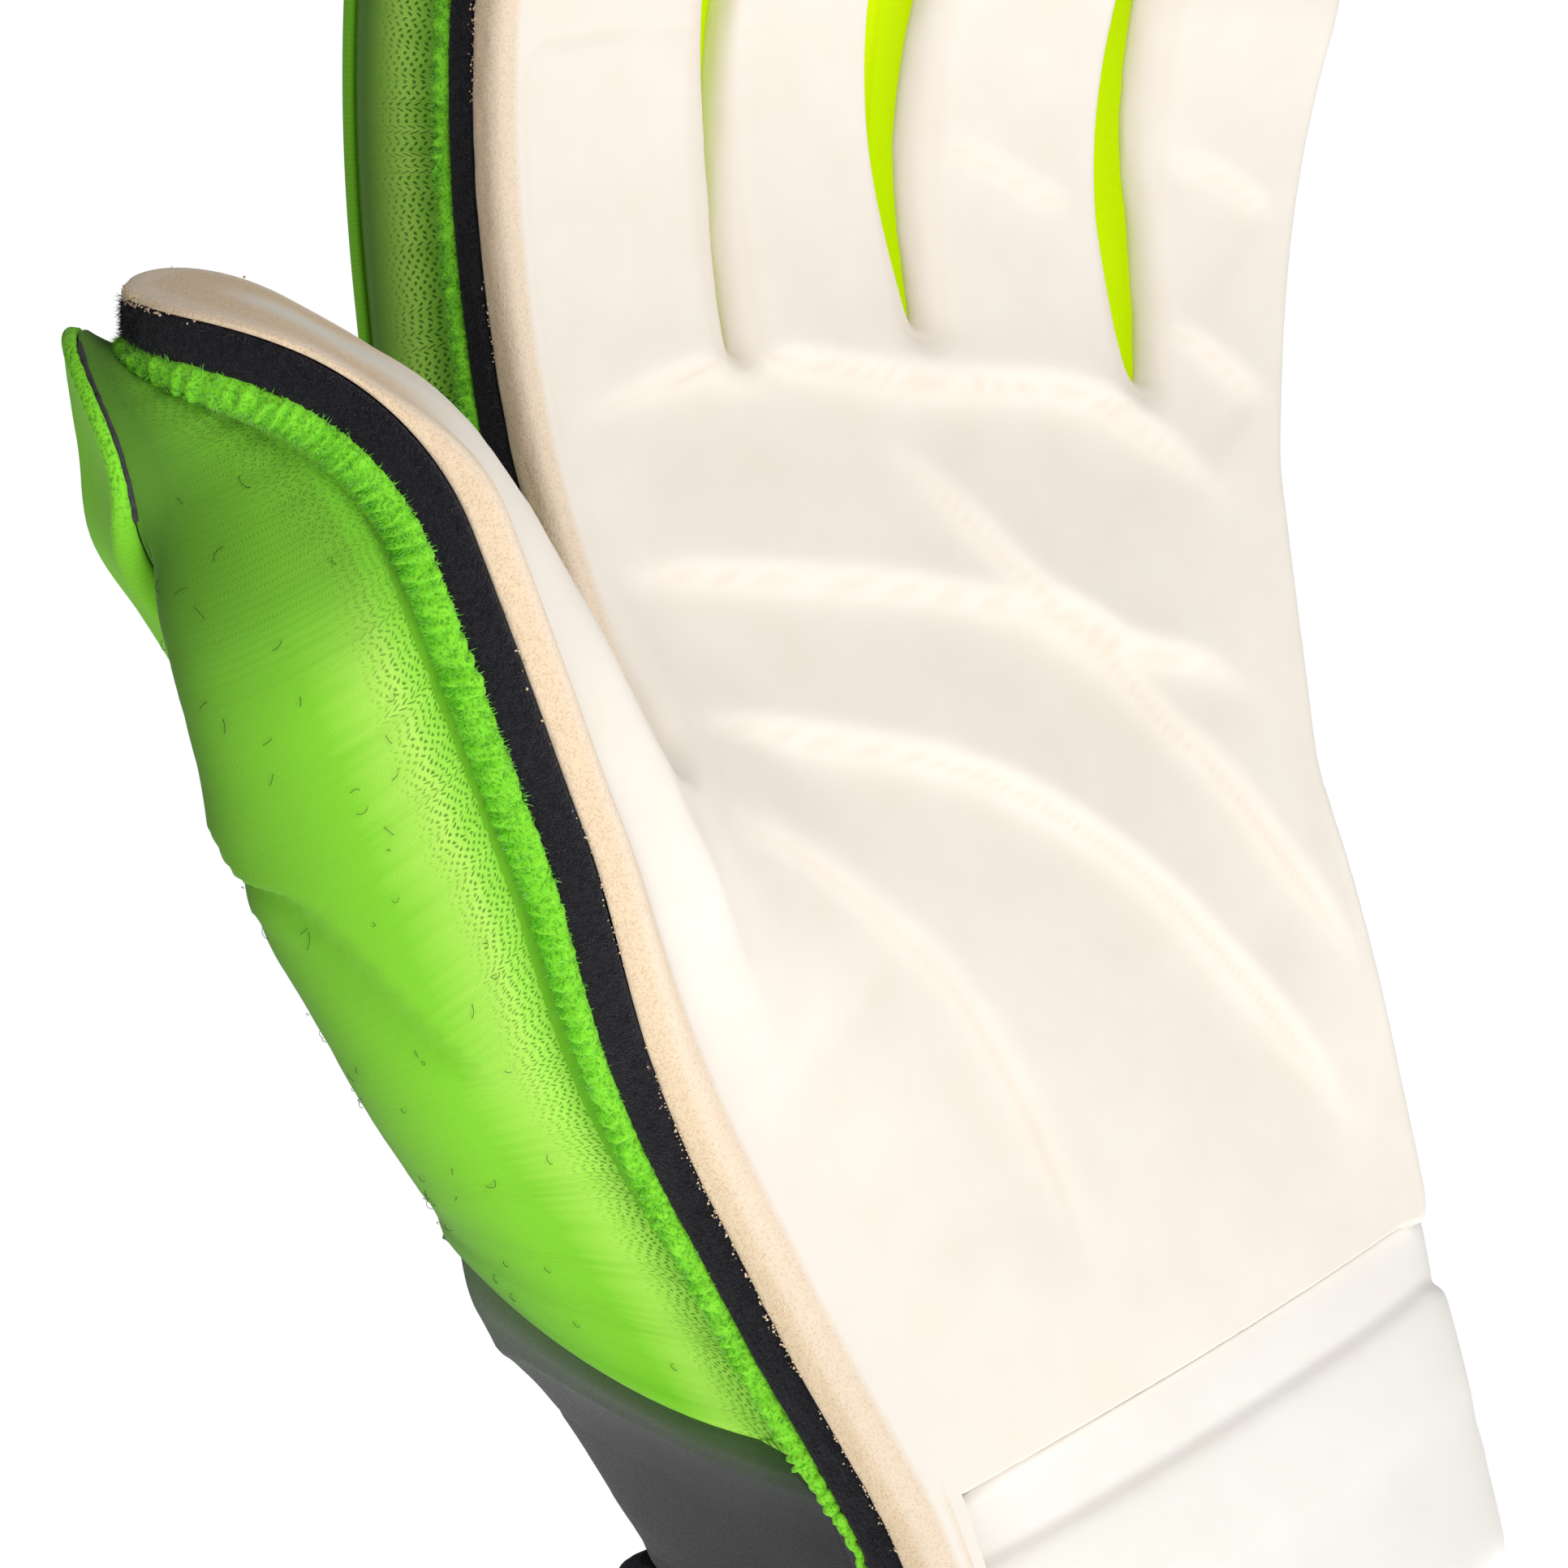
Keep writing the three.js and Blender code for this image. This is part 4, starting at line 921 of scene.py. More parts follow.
def pad_height(uv, from_rim):
    """The soft swelling of the thumb's pad beside its outer seam"""
    outer = RADIAL_SEAM + [DIGITS[0]["left"]]
    from_seam = distance_to(uv, outer)[0]
    swell = ease(from_seam / PAD_RUN["up"]) * (1 - over(from_seam, PAD_RUN))
    return value_at(PAD, uv @ THUMB_ALONG) * swell * ease(from_rim / PAD_RUN["from_rim"])


# Sheets: latex, foam and the back of the hand

_nets = {}


def nets(fine):
    """The palm's and the back's nets, made once for each fineness"""
    if fine not in _nets:
        _nets[fine] = (Net(PALM_WRIST, fine), Net(BACK_WRIST, fine))
    return _nets[fine]


def rim_rows(net, place, crisp, rolled, rough=None):
    """Rows of points round a sheet's edge: each profile row is (share of the reach, height)"""
    rows = []
    for k, (c, r) in enumerate(zip(crisp, rolled)):
        share = mix(c[0], r[0], net.rolled)
        height = mix(c[1], r[1], net.rolled)
        extra = 0 if rough is None else rough(k)
        uv = net.beside(net.reach * share + extra)
        rows.append(place(uv, net.loop_digit, height))
    return rows


def sheet_piece(name, net, front, back, rows, values=None):
    """A closed sheet of a front, a rim and a back"""
    count = len(net.uv)
    hand = np.concatenate([front, back] + rows)
    loop = len(net.loop_ids)
    thumb = np.concatenate([net.digit == 0] * 2 + [net.loop_digit == 0] * len(rows))
    index = [net.loop_ids]
    for k in range(len(rows)):
        index.append(2 * count + k * loop + np.arange(loop))
    index.append(net.loop_ids + count)
    back_cells = net.cells[:, ::-1] + count
    faces = np.concatenate([net.cells, back_cells, index_faces(np.array(index), True)])
    uv = np.concatenate([net.uv, net.uv] + [net.beside(net.reach)] * len(rows))
    return make_piece(name, bend(hand, thumb), faces, uv, values)


# Profiles of the sheets' rims from the front to the back: share of the reach, and height. They are crisp,
# or rolled at the lips of the finger gaps. Then the share of the latex's raw cut colour in each row
LATEX_CRISP = [(0.3, 4), (0.5, 3.96), (0.66, 3.82), (0.78, 3.55), (0.87, 3.15), (0.94, 2.65), (0.98, 2.1),
               (1.0, 1.6), (1.01, 1.1), (1.01, 0.7), (0.99, 0.35), (0.96, 0.05), (0.6, 0), (0.3, 0)]
LATEX_ROLLED = [(0.3, 3.9), (0.46, 3.7), (0.6, 3.4), (0.72, 3.02), (0.82, 2.55), (0.9, 2.0), (0.95, 1.5),
                (0.98, 1.0), (0.985, 0.6), (0.97, 0.3), (0.93, 0.1), (0.8, 0), (0.6, 0), (0.3, 0)]
LATEX_CUT = [0, 0.05, 0.2, 0.45, 0.7, 0.9, 1, 1, 1, 1, 1, 0.8, 0, 0]
FOAM_CRISP = [(0.4, -0.3), (0.8, -0.2), (0.92, -0.15), (0.97, -0.45), (1.0, -0.9), (1.02, -1.4),
              (1.03, -1.9), (1.035, -2.4), (1.04, -3.0), (1.03, -3.6), (1.0, -4.1), (0.94, -4.35),
              (0.8, -4.3), (0.4, -3.85)]
FOAM_ROLLED = [(0.01, -0.3), (0.02, -0.3), (0.03, -0.35), (0.04, -0.6), (0.05, -0.95), (0.055, -1.4),
               (0.06, -1.9), (0.06, -2.4), (0.055, -2.9), (0.05, -3.3), (0.04, -3.65), (0.03, -3.8),
               (0.02, -3.8), (0.01, -3.8)]
# share of the reach and height of a raw edge, then of an edge that is turned in, and its frill
BACK_RIM = [
    (0.4, 0, 0.4, 0.05, 0.3),
    (0.75, 0, 0.65, 0, 0.8),
    (0.92, -0.05, 0.74, -0.1, 1),
    (1.02, -0.4, 0.82, -0.35, 1),
    (1.06, -0.9, 0.86, -0.75, 1),
    (1.07, -1.5, 0.87, -1.25, 1),
    (1.06, -2.1, 0.85, -1.8, 1),
    (1.01, -2.6, 0.78, -2.3, 1),
    (0.92, -2.95, 0.66, -2.7, 1),
    (0.75, -3, 0.48, -2.92, 0.8),
    (0.4, -3, 0.3, -3, 0.3),
]


LATEX_RIM = 7
# Where the suede shows on the latex's face: at the thumb's tip, from its rim inward, and at every raw rim
SUEDE_TIP = {"from": 4, "run": 12}
SUEDE_TIP_RIM = {"from": 7, "run": 7}
SUEDE_RIM = {"share": 0.7, "from": 1.4, "run": 1.8}
# Painted shade on the rolled lips of the finger gaps, as a share of the folds' shade tone
LIP_SHADE = 0.45
LATEX_ROUGH = {"height": 0.07, "period": 2.3}
FOAM_ROUGH = {"fine": 0.12, "fine_period": 1.1, "coarse": 0.1, "coarse_period": 4.3}
BACK_FRILL = {"height": 0.3, "turn": 2.9, "wander": 9}
BACK_SOFT_RUN = 6


def build_latex(settings):
    net, _ = nets(settings.palm_cells)
    thin = thinned(net.uv, net.digit)
    rise, shade = crease_fields(net.uv, settings.crease_depth)
    from_rim = distance_to(net.uv, net.beside(net.reach))[0]
    inside = ease(from_rim / LATEX_RIM)
    height = LATEX_THICKNESS * thin + (rise + uneven("latex", net.uv)) * inside * thin
    height += pad_height(net.uv, from_rim)
    tip = over(past_curl(net.uv, net.digit), SUEDE_TIP) * (net.digit == 0)
    suede = tip * (1 - over(from_rim, SUEDE_TIP_RIM)) + SUEDE_RIM["share"] * (1 - over(from_rim, SUEDE_RIM))
    front = on_palm(net.uv, net.digit, height)
    back = on_palm(net.uv, net.digit, 0)
    edge_uv = net.beside(net.reach)
    edge_thin = thinned(edge_uv, net.loop_digit)
    around = np.arange(len(net.loop_ids)) * 1.0

    def place(uv, digit, w):
        return on_palm(uv, digit, np.where(w > 0, w * edge_thin, w))

    def rough(k):
        return LATEX_CUT[k] * LATEX_ROUGH["height"] * wander(around, 11 + k // 2, LATEX_ROUGH["period"])

    rows = rim_rows(net, place, LATEX_CRISP, LATEX_ROLLED, rough)
    nearest, _ = nearest_on(net.uv, net.uv[net.loop_ids])
    on_face = np.clip(suede, 0, 1) * net.bare[nearest]
    cut = [on_face, np.zeros(len(net.uv))] + [np.maximum(c, SUEDE_RIM["share"]) * net.bare for c in LATEX_CUT]
    # Painted shade in the palm's folds and on the rolled lips, carried to the material
    folds = [shade, np.zeros(len(net.uv))] + [LIP_SHADE * net.rolled] * len(rows)
    values = {"cut": np.concatenate(cut), "painted_fold_shade": np.concatenate(folds)}
    piece = sheet_piece("palm_face", net, front, back, rows, values)
    return dress(piece, "latex", latex_material(settings), "palm_latex")


def build_foam(settings):
    net, _ = nets(settings.sheet_cells)
    front = on_palm(net.uv, net.digit, FOAM_FACE)
    back = on_palm(net.uv, net.digit, FOAM_BACK)
    around = np.arange(len(net.loop_ids)) * 1.0

    def rough(k):
        middle = (len(FOAM_CRISP) - 1) / 2
        fine = FOAM_ROUGH["fine"] * wander(around, 31 + k, FOAM_ROUGH["fine_period"])
        coarse = FOAM_ROUGH["coarse"] * wander(around, 51 + k // 3, FOAM_ROUGH["coarse_period"])
        return (1 - abs(k - middle) / (middle + 0.5)) * (fine + coarse)

    rows = rim_rows(net, on_palm, FOAM_CRISP, FOAM_ROLLED, rough)
    piece = sheet_piece("palm_backing", net, front, back, rows)
    return dress(piece, "foam", foam_material(settings), "palm_foam")


def build_back(settings):
    _, net = nets(settings.sheet_cells)
    outline = net.beside(net.reach)[:net.seam_count]
    face = -edge_depth(net.uv) - back_rise(net.uv, outline)
    soft = uneven("back", net.uv) * ease(distance_to(net.uv, outline)[0] / BACK_SOFT_RUN)
    thick = 1 - RAW_BACK["thinner"] * (1 - turned_share(net.uv, net.digit))
    front = on_back(net.uv, net.digit, face)
    back = on_back(net.uv, net.digit, face - BACK_THICKNESS * thick + soft)
    edge = net.beside(net.reach)
    edge_face = -edge_depth(edge) - back_rise(edge, outline)
    seam_face = face[net.loop_ids]
    station = np.arange(len(net.loop_ids))

    turned = turned_share(net.uv[net.loop_ids], net.loop_digit)
    rows = []
    frill = [np.zeros(len(net.uv) * 2)]
    middle = len(BACK_RIM) // 2
    for k, (share, height, turned_reach, turned_height, rim) in enumerate(BACK_RIM):
        phase = station * BACK_FRILL["turn"] + wander(station, 61, BACK_FRILL["wander"])
        wave = BACK_FRILL["height"] * np.sin(phase) * (1 - abs(k - middle) / (middle + 1)) * (1 - turned)
        reach = mix(share, turned_reach, turned)
        uv = net.beside(net.reach * reach + wave)
        face_there = mix(seam_face, edge_face, np.minimum(reach, 1))
        step = mix(height, turned_height, turned) * thick[net.loop_ids]
        rows.append(on_back(uv, net.loop_digit, face_there + step))
        frill.append(rim * (1 - turned))
    values = {"frill": np.concatenate(frill)}
    piece = sheet_piece("hand_back", net, front, back, rows, values)
    return dress(piece, "knit", knit_material(settings, "back knit", banded=False), "back_panel")


# Gussets: the side walls with their raw, frilled seams

_walls = {}


def turned_share(uv, digit):
    """1 where the back's seam is turned in, 0 round the thumb's tip, where it is left raw"""
    raw = over(uv @ THUMB_ALONG, RAW_BACK)
    return np.where(digit == 0, 1 - raw, 1.0)


def at_index(values, q):
    """Values between the stations of a loop; beyond its ends they go straight on"""
    i = np.clip(np.floor(q).astype(int), 0, len(values) - 2)
    t = (q - i)[:, None]
    return values[i] * (1 - t) + values[i + 1] * t


class Stations:
    """Places along the seam: the palm's point, the back's point, and all that the wall needs"""

    def __init__(self, fine, palm_index, back_index, bulge):
        palm, back = nets(fine)
        nearest = np.clip(np.round(palm_index).astype(int), 0, palm.seam_count - 1)
        self.digit = palm.loop_digit[nearest]
        self.rolled = palm.rolled[nearest]
        self.reach = palm.reach[nearest]
        self.palm = at_index(palm.uv[palm.loop_ids[:palm.seam_count]], palm_index)
        self.normal = unit(at_index(palm.normal[:palm.seam_count], palm_index))
        self.back = at_index(back.uv[back.loop_ids[:back.seam_count]], back_index)
        self.back_normal = unit(at_index(back.normal[:back.seam_count], back_index))
        past = past_curl(self.palm, self.digit)
        self.bulge = mix(bulge, -KNIT_THICKNESS, ease(past / TIP_FLATTENS))
        self.depth = edge_depth(self.back)
        self.outer_depth = edge_depth(self.back + self.back_normal * SEAM_ALLOWANCE)
        self.wrap = wrap_at(self.back) / THUMB_WRAP["full"]
        self.start = on_palm(self.palm, self.digit, FLANGE_BACK)
        self.raw = 1 - turned_share(self.back, self.digit)
        self.belly = np.zeros(len(self.palm))
        self.hem = np.zeros(len(self.palm))
        self.tuck = np.zeros(len(self.palm))
        self.roll = 0
        end_uv = self.back + self.back_normal * BACK_REACH
        self.end = on_back(end_uv, self.digit, BACK_ROWS[0][1] + 0.1 - self.outer_depth)
        self.length = lengths_along(self.palm + self.normal * MEASURED_OUT)

    def palm_row(self, n, w):
        return on_palm(self.palm + self.normal * np.reshape(n, (-1, 1)), self.digit, w)

    def back_row(self, n, w):
        depth = mix(self.depth, self.outer_depth, np.clip(n / SEAM_ALLOWANCE, 0, 1))
        return on_back(self.back + self.back_normal * np.reshape(n, (-1, 1)), self.digit, w - depth)

    def wall(self, t):
        deep = mix(t, np.sin(t * math.pi / 2), self.wrap)
        side = mix(t, 1 - np.cos(t * math.pi / 2), self.wrap)
        point = self.start + (self.end - self.start) * np.column_stack([side, side, deep])
        along = np.stack([-self.normal[:, 1], self.normal[:, 0]], 1)
        risen = np.minimum(t / HEM["up_by"], 1)
        early = mix(deep, mix(ease(risen), risen, HEM["straight"]), self.hem)
        slide = ((self.end - self.start)[:, :2] * along).sum(1) * (early - side)
        point[:, :2] += along * slide[:, None]
        point[:, 2] += self.tuck * self.wrap * t - self.belly * 27 / 4 * t * t * (1 - t)
        point[:, :2] += self.normal * (self.bulge * 4 * t * (1 - t) - self.tuck)[:, None]
        return point


# The raw seam beside the palm: n, w, wave of the first row, wave of the row over the tip, frill share
PALM_FRILL = [
    (0.3, -4.1, 0, 0, 0),
    (2.2, -4.2, 0.1, 0, 0.5),
    (3.2, -4.3, 0.4, 0, 1),
    (3.9, -4.55, 0.8, 0, 1),
    (4.25, -5.0, 1, 0, 1),
    (4.3, -5.5, 1, 0.2, 1),
    (4.15, -6.0, 1, 0.4, 1),
    (3.9, -6.45, 0.9, 0.7, 1),
    (3.6, -6.85, 0.9, 0.9, 1),
    (3.2, -7.2, 0.9, 1, 1),
    (2.7, -7.45, 0.7, 1, 1),
    (2.2, -7.6, 0.5, 0.8, 0.9),
    (1.8, -7.8, 0.2, 0.4, 0.5),
    (1.6, -8.2, 0, 0.1, 0.2),
]
# Where a finger's lip is rolled, its wall starts right under the lip, this far out and this deep
LIP_WALL = {"share": 0.55, "from": -0.1}
# n, w of the wall's edge, turned in over the back's seam
BACK_ROWS = [(2.95, 0.35), (2.95, 0.22), (2.85, 0.12), (2.65, 0.08), (2.4, 0.08), (2.1, 0.12), (1.9, 0.18),
             (1.75, 0.28)]
BACK_REACH = 2.9
TIP_FLATTENS = 26
RAW_BACK = {"from": 133, "run": 15, "thinner": 0.5}
WALL_ROWS = 30
# The wall starts this far under its flange, as a share of a span of at least this much
WALL_TOP = {"gap": 2.9, "least_span": 8, "least": 0.03, "most": 0.3}
FRILL_ROW_STEP = 0.42
GATHERS = {"period": 4.1, "height": 0.16, "fade": 2.5, "stray": 2, "stray_run": 8}
# Where the tones of the thumb's tip, and of the tips where walls meet, come in
THUMB_TIP = {"from": 112, "run": 14}
MEET = {"from": 4, "run": 18}


# The scallops of a frill: how far they stray from even spacing and height, over which lengths, and how
# far the second wave lags
SCALLOPS = {"stray": 5, "stray_run": 5.3, "height": 0.65, "uneven": 0.6, "uneven_run": 3.1, "lag": 1.9}
# How much a flange's rows follow the first wave out and down, the second wave down and the lumps, and
# the frill's share in the wall's first row
FRILL_SHARES = {"across": 0.7, "down": 0.4, "second": 1.3, "lump": 0.7, "first_row": 0.25}
SECOND_PERIOD = 1.13
PLAIN_FLANGE = 2.4
# The share of a wall's depth over which its displacement fades at the palm's and at the back's seam
WALL_EDGES = {"palm": 0.12, "back": 0.1}
HEM_ROLL_RUN = {"from": 0.15, "run": 0.25}
# A fold's swelling on one side of its line and its dip on the other, and how fast each fades away
WALL_FOLD = {"swell": 0.6, "swell_fade": 7, "dip": 0.7, "dip_fade": 3, "end": 0.3}


def frill_wave(length, seed, period):
    """The crimped edge of a stretched knit: uneven scallops along its length"""
    stray = SCALLOPS["stray"] * wander(length, seed, SCALLOPS["stray_run"])
    phase = length * 2 * math.pi / period + stray
    height = SCALLOPS["height"] + SCALLOPS["uneven"] * wander(length, seed + 1, SCALLOPS["uneven_run"])
    return np.sin(phase) * height, np.sin(phase + SCALLOPS["lag"]) * height


def wall_surface(name, at, settings, folds=(), frills=True):
    """The section of a gusset carried along its stations, bent, and displaced by its folds"""
    rows, frill, wall_share = [], [], []

    def add(row, raw=0, share=0):
        rows.append(row)
        frill.append(np.broadcast_to(raw, len(at.length)))
        wall_share.append(share)

    wave, follow = settings.frill_height, FRILL_SHARES
    first_n, first_w = frill_wave(at.length, 71, settings.frill_period)
    _, second_w = frill_wave(at.length, 83, settings.frill_period * SECOND_PERIOD)
    shown = (1 - at.rolled) * (1.0 if frills else 0.0)
    lowest = PALM_FRILL[-1][1]
    for k, (n, w, a, b, share) in enumerate(PALM_FRILL):
        place = np.column_stack([at.length, np.full(len(at.length), FRILL_ROW_STEP * k)])
        lump = uneven("frill", place) * max(a, b)
        across = (a * first_n * follow["across"] + lump) * wave * shown
        waves = a * first_w * follow["down"] + b * second_w * follow["second"]
        down = (waves + follow["lump"] * lump) * wave * shown
        flat_n = n if frills else min(n, PLAIN_FLANGE)
        under = mix(LIP_WALL["from"], lowest, k / (len(PALM_FRILL) - 1))
        out = mix(at.reach * LIP_WALL["share"], PALM_FRILL[-1][0], ease(k / (len(PALM_FRILL) - 1)))
        n, w = mix(flat_n, out, at.rolled) + across, mix(w, under, at.rolled) + down
        add(at.palm_row(n, w), share * shown)
    span = at.start[:, 2] - at.end[:, 2]
    top = WALL_TOP["gap"] / np.maximum(span, WALL_TOP["least_span"])
    top = np.clip(top, WALL_TOP["least"], WALL_TOP["most"])
    for k in range(WALL_ROWS + 1):
        add(at.wall(mix(top, 1, k / WALL_ROWS)), 0 if k else follow["first_row"], k / WALL_ROWS)
    for n, w in BACK_ROWS:
        add(at.back_row(np.full(len(at.length), n), w), share=1)
    for k in range(WALL_ROWS, -1, -1):
        add(at.wall(mix(top, 1, k / WALL_ROWS)))
    hand = np.stack(rows, 1)
    stations, size = hand.shape[:2]
    thumb = np.repeat((at.digit == 0)[:, None], size, 1)
    points = bend(hand, thumb)
    outer = slice(len(PALM_FRILL), len(PALM_FRILL) + WALL_ROWS + 1)
    displace_wall(points, outer, at, folds)
    index = np.arange(stations * size).reshape(stations, size)
    faces = index_faces(index, True)
    faces = np.concatenate([faces, end_faces(index[0]), end_faces(index[-1])[:, ::-1]])
    step = np.linalg.norm(np.diff(points, axis=1), axis=2)
    down = np.concatenate([np.zeros((stations, 1)), np.cumsum(step, 1)], 1)
    uv = np.stack([np.repeat(at.length[:, None], size, 1), down], -1).reshape(-1, 2)
    tip = np.repeat(over(at.palm @ THUMB_ALONG, THUMB_TIP) * (at.digit == 0), size)
    meet = np.repeat(over(past_curl(at.palm, at.digit), MEET), size)
    hem = np.repeat(at.hem, size)
    wall = np.tile(wall_share, stations)
    values = {"frill": np.stack(frill, 1).ravel(), "wall": wall, "tip": tip, "meet": meet, "hem": hem}
    _walls[name] = points[:, outer], at.raw
    flat = points.reshape(-1, 3)
    return make_piece(name, flat, facing_out(flat, faces), uv, values)


def ring_cells(ring):
    """Closes the end of a band with cells between the outline's two sides; the outline has an even count"""
    size = len(ring)
    return np.array([(ring[k], ring[-1 - k], ring[-2 - k], ring[k + 1]) for k in range(size // 2 - 1)])


def end_faces(ring):
    """Closes an end of a wall: cells between its outside and inside, then across the seam's two flanges"""
    flange = ring[:len(PALM_FRILL)]
    outside = ring[len(flange):len(flange) + WALL_ROWS + 1]
    edge = ring[len(flange) + WALL_ROWS + 1:-WALL_ROWS - 1]
    inside = ring[:-WALL_ROWS - 2:-1]

    def between(left, right):
        return [(left[k], left[k + 1], right[k + 1], right[k]) for k in range(len(left) - 1)]

    cells = between(outside, inside)
    half = len(flange) // 2
    cells += between(flange[half - 1::-1], flange[half:])
    cells.append((flange[0], flange[-1], outside[0], inside[0]))
    half = len(edge) // 2
    cells += between(edge[:half], edge[:half - 1:-1])
    cells.append((outside[-1], edge[0], edge[-1], inside[-1]))
    return np.array(cells)


def displace_wall(points, outer, at, folds):
    """Pushes a wall in and out for its bumps, gathers and folds; its inside follows, the knit's
    thickness behind"""
    grid = points[:, outer]
    along = np.gradient(grid, axis=0)
    down = np.gradient(grid, axis=1)
    normal = unit(np.cross(down, along))
    middle = grid.shape[1] // 2
    outward = grid[:, middle] - (grid[:, 0] + grid[:, -1]) / 2
    if (normal[:, middle] * outward).sum() < 0:
        normal = -normal
    if at.roll:
        normal[:HEM["steady"]] = normal[HEM["steady"]]
    step = np.linalg.norm(np.diff(grid, axis=1), axis=2)
    depth = np.concatenate([np.zeros((len(grid), 1)), np.cumsum(step, 1)], 1)
    s = np.repeat(at.length[:, None], grid.shape[1], 1)
    flat = np.stack([s.ravel(), depth.ravel()], 1)
    t = np.tile(np.linspace(0, 1, grid.shape[1]), len(grid))
    edge = ease(t / WALL_EDGES["palm"]) * ease((1 - t) / WALL_EDGES["back"])
    stray = GATHERS["stray"] * wander(flat[:, 0], 5, GATHERS["stray_run"])
    phase = flat[:, 0] * 2 * math.pi / GATHERS["period"] + stray
    height = uneven("wall", flat) + GATHERS["height"] * np.sin(phase) * np.exp(-flat[:, 1] / GATHERS["fade"])
    if at.roll:
        near_hem = np.exp(-((flat[:, 0] - HEM["roll_at"]) / HEM["roll_at"]) ** 2)
        height += at.roll * near_hem * (1 - over(t, HEM_ROLL_RUN))
    for line, rise, width in folds:
        distance, share, side = distance_to(flat, smooth_line(line))
        above = distance * side
        step = 0.5 + 0.5 * np.tanh(above / width)
        low = np.maximum(-above, 0)
        swell = WALL_FOLD["swell"] * np.exp(-np.maximum(above, 0) / WALL_FOLD["swell_fade"])
        dip = (1 - step) * WALL_FOLD["dip"] * np.exp(-low / WALL_FOLD["dip_fade"])
        height += ease((1 - share) / WALL_FOLD["end"]) * rise * (step * swell - dip)
    points[:, outer] = grid + normal * (height * edge).reshape(grid.shape[:2] + (1,))
    points[:, :-WALL_ROWS - 2:-1] = points[:, outer] - normal * KNIT_THICKNESS


def gusset_stations(settings, part):
    """Evenly spaced stations along one wall's part of the seam"""
    fine = settings.sheet_cells
    palm, _ = nets(fine)
    k = GUSSETS.index(part)
    tab = palm.tab_stations
    first = THUMB_GUSSET_END[0] * fine + tab if k == 0 else palm.tips[k - 1] - 0.5 + TIP_GAP
    last = palm.seam_count - 1 if k == len(GUSSETS) - 1 else palm.tips[k] - 0.5 - TIP_GAP
    dense = np.linspace(first, last, MEASURED_POINTS)
    line = palm.uv[palm.loop_ids[:palm.seam_count]] + MEASURED_OUT * palm.normal[:palm.seam_count]
    run = lengths_along(at_index(line, dense))
    count = int(run[-1] / settings.seam_step) + 1
    palm_index = np.interp(np.linspace(0, run[-1], count), run, dense)
    rows = (palm_index - tab) / fine
    back_rows = np.interp(rows, [THUMB_GUSSET_END[0], SLANT["from_row"], SLANT["to_row"], FAR_ROW],
                          [THUMB_GUSSET_END[1], SLANT["back_from"], SLANT["to_row"], FAR_ROW])
    at = Stations(fine, palm_index, back_rows * fine, GUSSET_BULGE[part])
    if k == 0:
        at.belly = soft_value_at(BELLY, at.back @ THUMB_ALONG, BELLY_SOFT)
        at.hem = np.exp(-at.length / HEM["fade"])
        at.roll = HEM["roll"]
    return at


WALL_FOLDS = {
    # folds of the thumb's outer wall: places along the seam and down the wall, height, half width
    "thumb_outer": [
        ([(92, 24), (88, 22.5), (85, 19), (80, 16.7), (70, 13.3), (58, 8.5), (46, 5)], 2.6, 0.55),
        ([(82, 24), (78, 20), (73, 16.5), (64, 12.5), (52, 8)], 0.7, 1.2),
    ],
}


def build_gusset(settings, part):
    at = gusset_stations(settings, part)
    piece = wall_surface(f"{part}_side", at, settings, WALL_FOLDS.get(part, ()))
    knit = finger_material(settings) if part in ROLLED else knit_material(settings, "side knit")
    return dress(piece, "knit", knit, f"{part}_gusset")


def build_wrist_panel(settings):
    fine = settings.sheet_cells
    palm, _ = nets(fine)
    steps = np.linspace(0, len(WRIST_PANEL) - 1, WRIST_PANEL_STATIONS)
    palm_rows = np.interp(steps, range(len(WRIST_PANEL)), [r[0] for r in WRIST_PANEL])
    back_rows = np.interp(steps, range(len(WRIST_PANEL)), [r[1] for r in WRIST_PANEL])
    at = Stations(fine, palm_rows * fine + palm.tab_stations, back_rows * fine, WRIST_PANEL_BULGE)
    share = steps / steps[-1]
    at.belly = soft_value_at(BELLY, at.back @ THUMB_ALONG, BELLY_SOFT) * mix(1, PANEL_BELLY, share)
    at.hem = 1 - ease(share)
    at.tuck = PANEL_TUCK["depth"] * (1 - ease(share / PANEL_TUCK["until"]))
    fuller = GUSSET_BULGE["thumb_outer"] / WRIST_PANEL_BULGE
    at.bulge = at.bulge * mix(fuller, 1, ease(share / PANEL_BULGE_RUN))
    piece = wall_surface("wrist_stretch_panel", at, settings, (), frills=False)
    return dress(piece, "wrist_knit", wrist_material(settings), "wrist_gusset")


# The wrist: cuff, strap and its closing tab

def loop_point(degrees, v, out):
    """Points of the wrist's rounded oblong, out from the cuff's surface, in the direction of an angle"""
    degrees, v, out = np.broadcast_arrays(np.asarray(degrees, float), v, out)
    t = ease((MOUTH_BLEND["from"] - v) / MOUTH_BLEND["length"])
    c = np.cos(degrees * RADIANS)
    s = np.sin(degrees * RADIANS)
    side = np.where(c > 0, WRIST_LOOP["ulnar"], WRIST_LOOP["radial"])
    face = np.where(s > 0, WRIST_LOOP["front"], WRIST_LOOP["back"])
    a = mix(side, MOUTH_LOOP["side"], t) + out
    b = mix(face, MOUTH_LOOP["face"], t) + out
    front = np.where(c > 0, WRIST_SQUARENESS["front_ulnar"], WRIST_SQUARENESS["front_radial"])
    back = np.where(c > 0, WRIST_SQUARENESS["back_ulnar"], WRIST_SQUARENESS["back_radial"])
    n = mix(np.where(s > 0, front, back), MOUTH_SQUARENESS, t)
    radius = ((np.abs(c) / a) ** n + (np.abs(s) / b) ** n) ** (-1 / n)
    return np.stack([WRIST_CENTRE["u"] + c * radius, v, WRIST_CENTRE["w"] + s * radius], -1)


